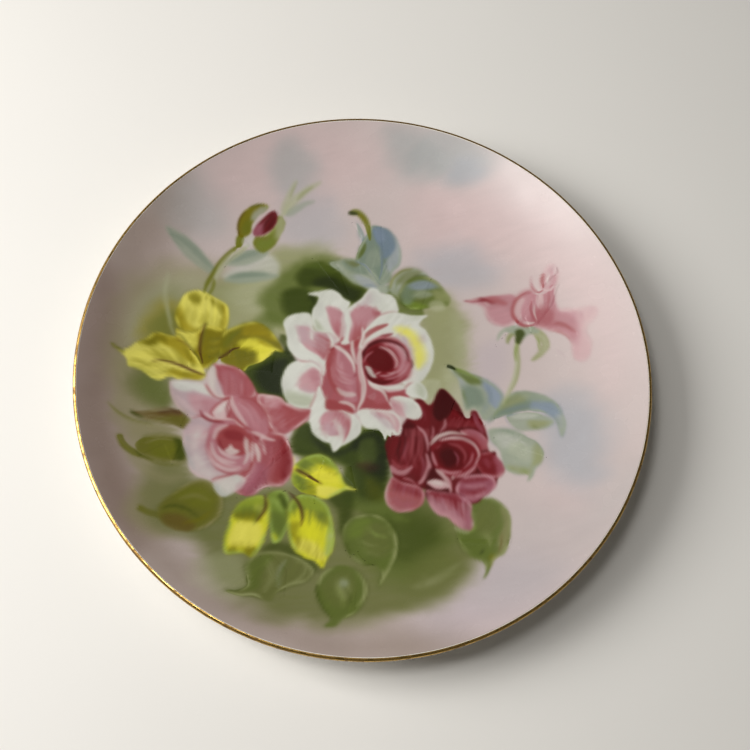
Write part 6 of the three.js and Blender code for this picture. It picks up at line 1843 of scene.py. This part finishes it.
def fired_paint_group() -> bpy.types.NodeTree:
    """China paint after its firing: fine grain in the colour, and a gloss that thick paint dulls a little.

    Returns:
        The node group.
    """
    number = "NodeSocketFloat"
    inputs = {"Colour": ("NodeSocketColor", (0.5, 0.5, 0.5, 1)), "Grain": (number, 0.05),
              "Grain size": (number, 0.0006), "Gloss": (number, 0.15), "Dulling": (number, 0.1)}
    tree = shader_group("Fired paint", inputs,
                        (("Colour", "NodeSocketColor"), ("Roughness", number), ("Height", number)))
    w = Wiring(tree)
    given, out = w.node("NodeGroupInput"), w.node("NodeGroupOutput")
    place = w.place()
    scale = w.math("DIVIDE", 1.0, given.outputs["Grain size"])
    fine = w.noise(place, scale, 3.0, 0.6)
    broad = w.noise(place, w.math("MULTIPLY", scale, 0.06), 3.0)
    fine_shade = w.math("MULTIPLY", w.math("SUBTRACT", fine, 0.5), given.outputs["Grain"])
    broad_shade = w.math("MULTIPLY", w.math("SUBTRACT", broad, 0.5), given.outputs["Grain"])
    shade = w.math("ADD", fine_shade, broad_shade)
    tinted = w.node("ShaderNodeHueSaturation", Value=w.math("ADD", 1.0, w.math("MULTIPLY", shade, 2.0)),
                    Color=given.outputs["Colour"]).outputs[0]
    dull = w.math("ADD", given.outputs["Gloss"], w.math("MULTIPLY", broad, given.outputs["Dulling"]))
    for label, value in (("Colour", tinted), ("Roughness", dull), ("Height", fine)):
        tree.links.new(value, out.inputs[label])
    return tree


def speckle_group() -> bpy.types.NodeTree:
    """Sparse specks, such as iron spots under a glaze or grit that stuck to a foot ring.

    Returns:
        The node group.
    """
    number = "NodeSocketFloat"
    tree = shader_group("Specks", {"Spacing": (number, 0.01), "Size": (number, 0.08)}, (("Mask", number),))
    w = Wiring(tree)
    given, out = w.node("NodeGroupInput"), w.node("NodeGroupOutput")
    scale = w.math("DIVIDE", 1.0, given.outputs["Spacing"])
    cells = w.node("ShaderNodeTexVoronoi", Vector=w.place(), Scale=scale)
    red = w.node("ShaderNodeSeparateColor", Color=cells.outputs["Color"]).outputs[0]
    rare = w.math("GREATER_THAN", red, 0.6)
    near = w.math("LESS_THAN", cells.outputs["Distance"], given.outputs["Size"])
    tree.links.new(w.math("MULTIPLY", rare, near), out.inputs["Mask"])
    return tree


# ---------------------------------------------------------------------------------------- finishes


@dataclass(frozen=True)
class Finish:
    """A surface finish, made once as a material."""

    name: str

    def start(self) -> tuple[bpy.types.Material, Wiring, bpy.types.Node]:
        """Starts the material.

        Returns:
            The material, its wiring and its Principled shader, joined to the output.
        """
        material = bpy.data.materials.new(self.name)
        material.use_nodes = True
        w = Wiring(material.node_tree)
        return material, w, material.node_tree.nodes["Principled BSDF"]


@dataclass(frozen=True)
class PaintFinish(Finish):
    """Fired enamel whose colour lies in the piece's own points."""

    grain: float = 0.05
    grain_size: float = 0.0006
    gloss: float = 0.1
    dulling: float = 0.08
    brush_depth: float = 0.00002

    def material(self, fired: bpy.types.NodeTree) -> bpy.types.Material:
        """The enamel as a material.

        Args:
            fired: the shader group of fired paint.

        Returns:
            The material.
        """
        material, w, shader = self.start()
        paint = w.node("ShaderNodeAttribute", {"attribute_name": "paint"}).outputs["Color"]
        effect = w.node("ShaderNodeGroup", {"node_tree": fired}, Colour=paint, Grain=self.grain,
                        Grain_size=self.grain_size, Gloss=self.gloss, Dulling=self.dulling)
        w.tree.links.new(effect.outputs["Colour"], shader.inputs["Base Color"])
        w.tree.links.new(effect.outputs["Roughness"], shader.inputs["Roughness"])
        bump = w.node("ShaderNodeBump", Strength=0.35, Distance=self.brush_depth,
                      Height=effect.outputs["Height"])
        w.tree.links.new(bump.outputs[0], shader.inputs["Normal"])
        shader.inputs["IOR"].default_value = 1.5
        return material


@dataclass(frozen=True)
class CeramicFinish(Finish):
    """White clay or glaze, with a faint drift of tone and a few specks."""

    tone: tuple[float, float, float] = (238, 235, 228)
    shade: tuple[float, float, float] = (226, 221, 211)
    gloss: float = 0.1
    specks: tuple[float, float, float] = (120, 104, 84)
    speck_spacing: float = 0.012
    speck_size: float = 0.02
    ripple: float = 0.00003
    grain_size: float = 0.008

    def material(self, speckle: bpy.types.NodeTree) -> bpy.types.Material:
        """The ceramic as a material.

        Args:
            speckle: the shader group of sparse specks.

        Returns:
            The material.
        """
        material, w, shader = self.start()
        drift = w.noise(w.place(), 1 / self.grain_size, 5.0)
        mask = w.node("ShaderNodeMapRange", Value=drift, i1=0.35, i2=0.7).outputs[0]
        body = w.blend(mask, for_socket(self.tone), for_socket(self.shade))
        spots = w.node("ShaderNodeGroup", {"node_tree": speckle}, Spacing=self.speck_spacing,
                       Size=self.speck_size).outputs[0]
        w.tree.links.new(w.blend(spots, body, for_socket(self.specks)), shader.inputs["Base Color"])
        w.tree.links.new(w.between(mask, self.gloss, self.gloss * 1.6), shader.inputs["Roughness"])
        bump = w.node("ShaderNodeBump", Strength=0.5, Distance=self.ripple, Height=drift)
        w.tree.links.new(bump.outputs[0], shader.inputs["Normal"])
        return material


@dataclass(frozen=True)
class GoldFinish(Finish):
    """Burnished gold that hands have thinned in places."""

    bright: tuple[float, float, float] = (206, 168, 92)
    worn: tuple[float, float, float] = (120, 88, 44)

    def material(self) -> bpy.types.Material:
        """The gold as a material.

        Returns:
            The material.
        """
        material, w, shader = self.start()
        patches = w.noise(w.place(), 260.0, 6.0, 0.65)
        mask = w.node("ShaderNodeMapRange", Value=patches, i1=0.46, i2=0.66).outputs[0]
        colour = w.blend(mask, for_socket(self.bright), for_socket(self.worn))
        w.tree.links.new(colour, shader.inputs["Base Color"])
        w.tree.links.new(w.between(mask, 0.22, 0.48), shader.inputs["Roughness"])
        w.tree.links.new(w.between(mask, 1.0, 0.75), shader.inputs["Metallic"])
        return material


# ---------------------------------------------------------------------------------------- turning


def turning_tree() -> bpy.types.NodeTree:
    """Geometry nodes that turn a profile, given as points in order, about the plate's axis.

    Returns:
        The node group.
    """
    tree = bpy.data.node_groups.new("Turn on the wheel", "GeometryNodeTree")
    for label, kind in (("Profile", "Geometry"), ("Segments", "Int"), ("Hand wobble", "Float"),
                        ("Finish", "Material")):
        tree.interface.new_socket(label, in_out="INPUT", socket_type="NodeSocket" + kind)
    tree.interface.new_socket("Piece", in_out="OUTPUT", socket_type="NodeSocketGeometry")
    w = Wiring(tree)
    given, out = w.node("NodeGroupInput"), w.node("NodeGroupOutput")
    profile = given.outputs["Profile"]
    count = w.node("GeometryNodeAttributeDomainSize", Geometry=profile).outputs["Point Count"]
    rows = w.math("ADD", given.outputs["Segments"], 1)
    sheet = w.node("GeometryNodeMeshGrid", Vertices_X=rows, Vertices_Y=count).outputs["Mesh"]
    index = w.node("GeometryNodeInputIndex").outputs[0]
    station = w.math("FLOOR", w.math("DIVIDE", w.math("ADD", index, 0.5), count))
    corner = w.math("SUBTRACT", index, w.math("MULTIPLY", station, count))
    at = w.node("GeometryNodeSampleIndex", {"data_type": "FLOAT_VECTOR"}, Geometry=profile,
                Value=w.node("GeometryNodeInputPosition").outputs[0], Index=corner).outputs["Value"]
    part = w.node("ShaderNodeSeparateXYZ", Vector=at)
    angle = w.math("MULTIPLY", w.math("DIVIDE", station, given.outputs["Segments"]), math.tau)
    across, up = w.math("COSINE", angle), w.math("SINE", angle)
    around = w.node("ShaderNodeCombineXYZ", X=across, Y=up, Z=0.0).outputs[0]
    spot = w.node("ShaderNodeVectorMath", {"operation": "MULTIPLY_ADD"}, i0=around, i1=(9, 9, 9),
                  i2=at).outputs[0]
    shake = w.noise(spot, 1.0, 2.0)
    shift = w.math("MULTIPLY", w.math("SUBTRACT", shake, 0.5), given.outputs["Hand wobble"])
    radius = w.math("MAXIMUM", w.math("ADD", part.outputs[0], shift), 0.0)
    place = w.node("ShaderNodeCombineXYZ", X=w.math("MULTIPLY", radius, across),
                   Y=w.math("MULTIPLY", radius, up), Z=part.outputs[2]).outputs[0]
    shaped = w.node("GeometryNodeSetPosition", Geometry=sheet, Position=place).outputs[0]
    closed = w.node("GeometryNodeMergeByDistance", Geometry=shaped, Distance=1e-6).outputs[0]
    smooth = w.node("GeometryNodeSetShadeSmooth", Geometry=closed).outputs[0]
    real = w.node("GeometryNodeRealizeInstances", Geometry=smooth).outputs[0]
    dressed = w.node("GeometryNodeSetMaterial", Geometry=real, Material=given.outputs["Finish"]).outputs[0]
    tree.links.new(dressed, out.inputs["Piece"])
    return tree


def mesh_from(name: str, points: np.ndarray, faces: Sequence[Sequence[int]],
              edges: Sequence[tuple[int, int]] = ()) -> bpy.types.Object:
    """A new object with a mesh, its points given in millimetres.

    Args:
        name: the object's name.
        points: rows of x, y and z.
        faces: corners of each face.
        edges: loose edges.

    Returns:
        The object, linked to the scene.
    """
    mesh = bpy.data.meshes.new(name)
    mesh.from_pydata((points * MM).tolist(), list(edges), list(faces))
    piece = bpy.data.objects.new(name, mesh)
    bpy.context.scene.collection.objects.link(piece)
    return piece


class Wheel:
    """Turns profiles into pieces with one shared tree."""

    def __init__(self) -> None:
        """Builds the tree."""
        self.tree = turning_tree()

    def turn(self, name: str, profile: np.ndarray, finish: bpy.types.Material, segments: int = 300,
             wobble: float = 0.0) -> bpy.types.Object:
        """Turns a cross-section into a closed piece.

        Args:
            name: the piece's name.
            profile: rows of radius and height, in millimetres.
            finish: its material.
            segments: how many straight pieces go round.
            wobble: how far an unsteady hand strays, in metres.

        Returns:
            The finished piece, a plain mesh.
        """
        points = np.stack([profile[:, 0], np.zeros(len(profile)), profile[:, 1]], axis=1)
        blank = mesh_from(name + "_profile", points, [], [(i, i + 1) for i in range(len(points) - 1)])
        turning = blank.modifiers.new("turn", "NODES")
        turning.node_group = self.tree
        sockets = {item.name: item.identifier for item in self.tree.interface.items_tree}
        turning[sockets["Segments"]] = segments
        turning[sockets["Hand wobble"]] = wobble
        turning[sockets["Finish"]] = finish
        blank.update_tag()
        turned = blank.evaluated_get(bpy.context.evaluated_depsgraph_get())
        mesh = bpy.data.meshes.new_from_object(turned)
        bpy.data.objects.remove(blank)
        mesh.name = name
        mesh.set_sharp_from_angle(angle=math.radians(40))
        piece = bpy.data.objects.new(name, mesh)
        bpy.context.scene.collection.objects.link(piece)
        return piece


# ---------------------------------------------------------------------------------------- sub-assemblies


def declare(piece: bpy.types.Object, node: str) -> None:
    """Hides the node that a piece stands for, and hangs the piece under the root.

    Args:
        piece: the finished piece.
        node: the CAD node that it replaces.
    """
    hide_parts(node)
    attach(piece, "root")
    LOG.info("%s: %d faces", piece.name, len(piece.data.polygons))


@dataclass
class Blank:
    """The fired plate: clay, glaze over its face and outside, glaze inside the foot ring, gold on the lip."""

    coupe: Coupe
    wheel: Wheel
    gold_wobble: float = 0.00016

    def build(self, speckle: bpy.types.NodeTree) -> None:
        """Turns and dresses the four pieces.

        Args:
            speckle: the shader group of sparse specks.
        """
        c = self.coupe
        clay = CeramicFinish("Biscuit porcelain", (232, 226, 214), (214, 205, 190), 0.5, grain_size=0.003,
                             speck_spacing=0.005, speck_size=0.05).material(speckle)
        glaze = CeramicFinish("Clear glaze").material(speckle)
        outside, underside = c.outside(), c.underside()
        inset = -c.glaze - c.clearance
        bevel = ((0.0, 0.6), (0.12, 0.12), (0.5, 0.0))
        foot = [(c.foot_outer - inward, height) for inward, height in bevel]
        foot += [(c.foot_inner + inward, height) for inward, height in reversed(bevel)]
        body = np.concatenate([moved_out(outside, inset), foot, moved_out(underside, inset)])
        declare(self.wheel.turn("turned_porcelain_body", body, clay), "porcelain_body")
        for name, path, node in (("turned_glaze", outside, "glaze_coat"),
                                 ("turned_underside_glaze", underside, "underside_glaze")):
            declare(self.wheel.turn(name, coat(path, -c.glaze, 0), glaze), node)
        lip = c.over_the_lip(24)[2:-3]
        gold = GoldFinish("Burnished gold").material()
        section = coat(lip, c.clearance, c.gold)
        line = self.wheel.turn("brushed_gold_line", section, gold, 480, self.gold_wobble)
        declare(line, "gold_rim_band")


class Painter:
    """Holds the painted canvas and passes its colours to the pieces' points."""

    def __init__(self, coupe: Coupe, pitch: float) -> None:
        """Paints the whole decoration.

        Args:
            coupe: the blank.
            pitch: distance between the canvas's points, in millimetres.
        """
        self.coupe = coupe
        self.canvas = Canvas(coupe.radius + 1, pitch)
        paint_all(self.canvas)

    def dress(self, piece: bpy.types.Object, x: np.ndarray, y: np.ndarray, finish: bpy.types.Material,
              spread: float = 0.0) -> None:
        """Stores the paint's colour at each point of a piece, and sets its material.

        Args:
            piece: the piece.
            x: its points' places to the right, in millimetres.
            y: its points' places up the picture.
            finish: its material.
            spread: how far round each point the colour is averaged, in millimetres.
        """
        ways = [(0.0, 0.0)]
        for reach in (spread / 2, spread) if spread else ():
            turns = np.linspace(0, math.tau, 8, endpoint=False)
            ways += [(reach * math.cos(turn), reach * math.sin(turn)) for turn in turns]
        near = [self.canvas.sample(self.canvas.colour, x + i, y + j) for i, j in ways]
        colour = linear(np.mean(near, axis=0))
        values = np.concatenate([colour, np.ones((len(colour), 1), np.float32)], axis=1)
        paint = piece.data.color_attributes.new("paint", "FLOAT_COLOR", "POINT")
        paint.data.foreach_set("color", values.astype(np.float32).ravel())
        piece.data.materials.append(finish)
        piece.data.shade_smooth()
        piece.data.set_sharp_from_angle(angle=math.radians(40))


@dataclass
class Ground:
    """The tinted ground, a thin coat over the face from the middle to the lip."""

    coupe: Coupe
    painter: Painter
    rings: int = 160
    segments: int = 560
    under_rings: int = 12
    spread: float = 0.65

    def build(self, fired: bpy.types.NodeTree) -> None:
        """Makes and dresses the coat.

        Args:
            fired: the shader group of fired paint.
        """
        c = self.coupe
        edge = c.over_the_lip(16)[0, 0]
        levels = [(np.linspace(edge, 0, self.rings + 1), c.ground),
                  (np.linspace(edge, 0, self.under_rings + 1), c.clearance)]
        angle = np.linspace(0, math.tau, self.segments, endpoint=False)
        points, faces = [], []
        for top, (radii, level) in enumerate(levels):
            path = moved_out(np.stack([radii[::-1], c.face(radii[::-1])], axis=1), level)[::-1]
            start = len(points)
            for radius, height in path[:-1]:
                level_ring = np.full(self.segments, height)
                points.extend(np.stack([radius * np.cos(angle), radius * np.sin(angle), level_ring], axis=1))
            points.append(np.array([0, 0, path[-1, 1]]))
            for ring in range(len(path) - 1):
                near = start + ring * self.segments
                for i in range(self.segments):
                    j = (i + 1) % self.segments
                    if ring < len(path) - 2:
                        face = (near + i, near + j, near + self.segments + j, near + self.segments + i)
                    else:
                        face = (near + i, near + j, start + (len(path) - 1) * self.segments)
                    faces.append(face if top == 0 else face[::-1])
            levels[top] = start
        for i in range(self.segments):
            j = (i + 1) % self.segments
            faces.append((levels[1] + i, levels[1] + j, levels[0] + j, levels[0] + i))
        points = np.array(points)
        piece = mesh_from("tinted_ground_coat", points, faces)
        finish = PaintFinish("Tinted ground", 0.035, 0.0009, 0.2, 0.12).material(fired)
        self.painter.dress(piece, points[:, 0], points[:, 1], finish, self.spread)
        declare(piece, "painted_ground")


@dataclass(frozen=True)
class Enamel:
    """One film of enamel that lies over the ground, inside a line taken from its node's upper faces."""

    node: str
    piece: str
    slot: str
    finish: bpy.types.Material


def enamel_for(node: str, fired: bpy.types.NodeTree) -> Enamel:
    """The film for a node, with the finish of its slot.

    Args:
        node: the CAD node.
        fired: the shader group of fired paint.

    Returns:
        The film.
    """
    slot = SLOTS[node]
    name = slot.replace("_", " ").capitalize() + " enamel"
    gloss = 0.14 if "rose" in slot else 0.18
    finish = bpy.data.materials.get(name) or PaintFinish(name, 0.05, 0.0005, gloss).material(fired)
    return Enamel(node, node.replace("_enamel", "_film"), slot, finish)


@dataclass
class Bouquet:
    """Every enamel film of the flowers and leaves.

    A film is lift above the ground, thins to gap at its rim over ease, and reaches sink into the ground,
    all in millimetres.
    """

    coupe: Coupe
    painter: Painter
    enamels: Sequence[Enamel]
    pitch: float = 0.3
    under_pitch: float = 2.0
    lift: float = 0.05
    ease: float = 1.2
    gap: float = 0.006
    sink: float = 0.03

    def outline(self, node: bpy.types.Object) -> np.ndarray:
        """The longest closed run of edges round a node's upper faces, seen from above.

        It can be a piece of the node's outline and not the whole of it.

        Args:
            node: the CAD node.

        Returns:
            Rows of x and y, in millimetres, in order round the shape.
        """
        spots = np.array([v.co[:2] for v in node.data.vertices]) / MM
        corners = np.array([face.vertices[:] for face in node.data.polygons])
        a, b, c = spots[corners[:, 0]], spots[corners[:, 1]], spots[corners[:, 2]]
        facing = (b - a)[:, 0] * (c - a)[:, 1] - (b - a)[:, 1] * (c - a)[:, 0]
        tops = corners[facing > 0.002].tolist()
        flat = delaunay_2d_cdt([Vector(spot) for spot in spots.tolist()], [], tops, 1, 0.004)
        ahead: dict[int, int] = {}
        for face in flat[2]:
            for start, end in zip(face, [*face[1:], face[0]]):
                if ahead.get(end) == start:
                    del ahead[end]
                else:
                    ahead[start] = end
        best: list[int] = []
        while ahead:
            line, spot = [], next(iter(ahead))
            while spot in ahead:
                line.append(spot)
                spot = ahead.pop(spot)
            best = max(best, line, key=len)
        return np.array([flat[0][i][:] for i in best])

    def film(self, enamel: Enamel) -> None:
        """Makes and dresses one film.

        Args:
            enamel: which.
        """
        c = self.coupe
        edge = self.outline(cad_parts[enamel.node])
        sides = []
        for start, end in zip(edge, np.roll(edge, -1, axis=0)):
            steps = max(1, round(np.linalg.norm(end - start) / self.pitch))
            sides.append(start + (end - start) * np.linspace(0, 1, steps, endpoint=False)[:, None])
        rim = np.concatenate(sides)
        layers = []
        for pitch in (self.pitch, self.under_pitch):
            x, y = self.inside(rim, pitch)
            spots = [Vector(p) for p in np.concatenate([rim, np.stack([x, y], axis=1)]).tolist()]
            flat = delaunay_2d_cdt(spots, [], [list(range(len(rim)))], 1, 1e-5)
            layers.append((np.array([v[:] for v in flat[0]]), flat[2], flat[3]))
        top, bottom = layers
        lookup = {tuple(np.round(p, 4)): i for i, p in enumerate(top[0])}
        remap, extra = [], []
        for p in bottom[0]:
            known = lookup.get(tuple(np.round(p, 4)))
            at_rim = known is not None and top[2][known] and min(top[2][known]) < len(rim)
            remap.append(known if at_rim else len(top[0]) + len(extra))
            if not at_rim:
                extra.append(p)
        x, y = top[0].T
        depth = np.zeros(len(x))
        inner = np.array([not ids or min(ids) >= len(rim) for ids in top[2]])
        near, _ = measure(np.concatenate([rim, rim[:1]]), x[inner], y[inner])
        depth[inner] = np.abs(near)
        swell = np.clip(depth / self.ease, 0, 1)
        swell = swell * swell * (3 - 2 * swell)
        relief = self.painter.canvas.sample(self.painter.canvas.relief, x, y)
        level = c.face(np.hypot(x, y)) + c.ground + self.gap + swell * (self.lift + relief)
        under = np.array(extra).reshape(-1, 2)
        low = c.face(np.hypot(under[:, 0], under[:, 1])) + c.ground - self.sink
        points = np.concatenate([np.stack([x, y, level], axis=1), np.column_stack([under, low])])
        faces = [tuple(f) for f in top[1]] + [tuple(remap[i] for i in reversed(f)) for f in bottom[1]]
        piece = mesh_from(enamel.piece, points, faces)
        self.painter.dress(piece, points[:, 0], points[:, 1], enamel.finish)
        declare(piece, enamel.node)

    def inside(self, rim: np.ndarray, pitch: float) -> tuple[np.ndarray, np.ndarray]:
        """A grid of points inside an outline, none close to it.

        Args:
            rim: the outline.
            pitch: distance between points.

        Returns:
            Their x and y.
        """
        (x0, y0), (x1, y1) = rim.min(axis=0), rim.max(axis=0)
        rows = np.arange(y0, y1, pitch * 0.9)
        x, y = np.meshgrid(np.arange(x0, x1, pitch), rows)
        x = x + (np.arange(len(rows)) % 2)[:, None] * pitch / 2
        depth, _ = depth_inside(np.concatenate([rim, rim[:1]]), x.ravel(), y.ravel())
        keep = depth > 0.45 * pitch
        return x.ravel()[keep], y.ravel()[keep]

    def build(self) -> None:
        """Makes every film in turn."""
        for enamel in self.enamels:
            self.film(enamel)


# ---------------------------------------------------------------------------------------- the studio


@dataclass(frozen=True)
class Softbox:
    """A soft square light that shines on the plate's middle.

    towards is the direction from the plate to the light; share is how bright it makes white paper
    there, where 1 is full white; distance and size are in metres.
    """

    name: str
    towards: tuple[float, float, float]
    share: float
    distance: float
    size: float
    tint: tuple[float, float, float] = (1.0, 1.0, 1.0)

    def build(self) -> None:
        """Hangs the light."""
        way = Vector(self.towards).normalized()
        light = bpy.data.lights.new(self.name, "AREA")
        light.shape, light.size, light.color = "SQUARE", self.size, self.tint
        light.energy = self.share * math.pi ** 2 * self.distance ** 2 / way.z
        lamp = bpy.data.objects.new(self.name, light)
        lamp.location = way * self.distance
        lamp.rotation_euler = way.to_track_quat("Z", "Y").to_euler()
        bpy.context.scene.collection.objects.link(lamp)


@dataclass(frozen=True)
class Studio:
    """A pale table top, soft light from the left, and a camera that looks steeply down.

    The table's half width is in millimetres, and its two tones are from 0 to 1 as they look.
    """

    softboxes: tuple[Softbox, ...] = (
        Softbox("Window light", (-0.8, -0.04, 0.6), 0.6, 1.3, 0.68, (1.0, 0.99, 0.97)),
        Softbox("Skylight", (-0.28, -0.07, 0.957), 0.18, 1.2, 0.21, (1.0, 0.99, 0.97)),
        Softbox("Ceiling light", (-0.42, 0.12, 0.9), 0.13, 1.2, 0.5, (1.0, 0.98, 0.95)),
    )
    table_half: float = 3000.0
    table_low: tuple[float, float, float] = (0.895, 0.885, 0.865)
    table_high: tuple[float, float, float] = (0.915, 0.905, 0.885)
    room: float = 0.085
    room_tint: tuple[float, float, float, float] = (1.0, 0.95, 0.87, 1.0)
    target: tuple[float, float, float] = (0.004707, 0.000415, 0.012)
    distance: float = 0.5
    elevation: float = math.radians(69.1005)
    roll: float = math.radians(8.467)
    lens: float = 50.72

    def build(self) -> None:
        """Sets out the table, the lights and the camera."""
        scene = bpy.context.scene
        scene.view_settings.view_transform = "Standard"
        self.table()
        for softbox in self.softboxes:
            softbox.build()
        world = bpy.data.worlds.new("Room")
        world.use_nodes = True
        world.node_tree.nodes["Background"].inputs["Color"].default_value = self.room_tint
        world.node_tree.nodes["Background"].inputs["Strength"].default_value = self.room
        scene.world = world
        self.camera()

    def table(self) -> None:
        """A wide table top, painted white."""
        corners = self.table_half * np.array([[-1, -1, 0], [1, -1, 0], [1, 1, 0], [-1, 1, 0]])
        floor = mesh_from("table_top", corners, [(0, 1, 2, 3)])
        material, w, shader = Finish("White table").start()
        low, high = ((*linear(tone), 1) for tone in (self.table_low, self.table_high))
        w.tree.links.new(w.blend(w.noise(w.place(), 6.0, 4.0), low, high), shader.inputs["Base Color"])
        shader.inputs["Roughness"].default_value = 0.6
        floor.data.materials.append(material)

    def camera(self) -> None:
        """Places the camera, tilted a little about its line of sight."""
        rise, turn = self.elevation, self.roll
        back = Vector((0, -math.cos(rise), math.sin(rise)))
        right, up = Vector((1, 0, 0)), Vector((0, math.sin(rise), math.cos(rise)))
        across, along = math.cos(turn), math.sin(turn)
        right, up = (across * right + along * up, across * up - along * right)
        view = bpy.data.cameras.new("Camera")
        view.lens, view.sensor_width = self.lens, 36.0
        camera = bpy.data.objects.new("Camera", view)
        camera.matrix_world = Matrix((right, up, back)).transposed().to_4x4()
        camera.location = Vector(self.target) + self.distance * back
        bpy.context.scene.collection.objects.link(camera)
        bpy.context.scene.camera = camera


def main() -> None:
    """Builds the plate's pieces in order, then the studio round them."""
    logging.basicConfig(level=logging.INFO, format="%(name)s: %(message)s")
    coupe = Coupe()
    fired, speckle = fired_paint_group(), speckle_group()
    Blank(coupe, Wheel()).build(speckle)
    painter = Painter(coupe, 0.3)
    LOG.info("decoration: %d marks laid", painter.canvas.laid)
    Ground(coupe, painter).build(fired)
    Bouquet(coupe, painter, [enamel_for(node, fired) for node in SLOTS]).build()
    Studio().build()


if __name__ == "__main__":
    main()
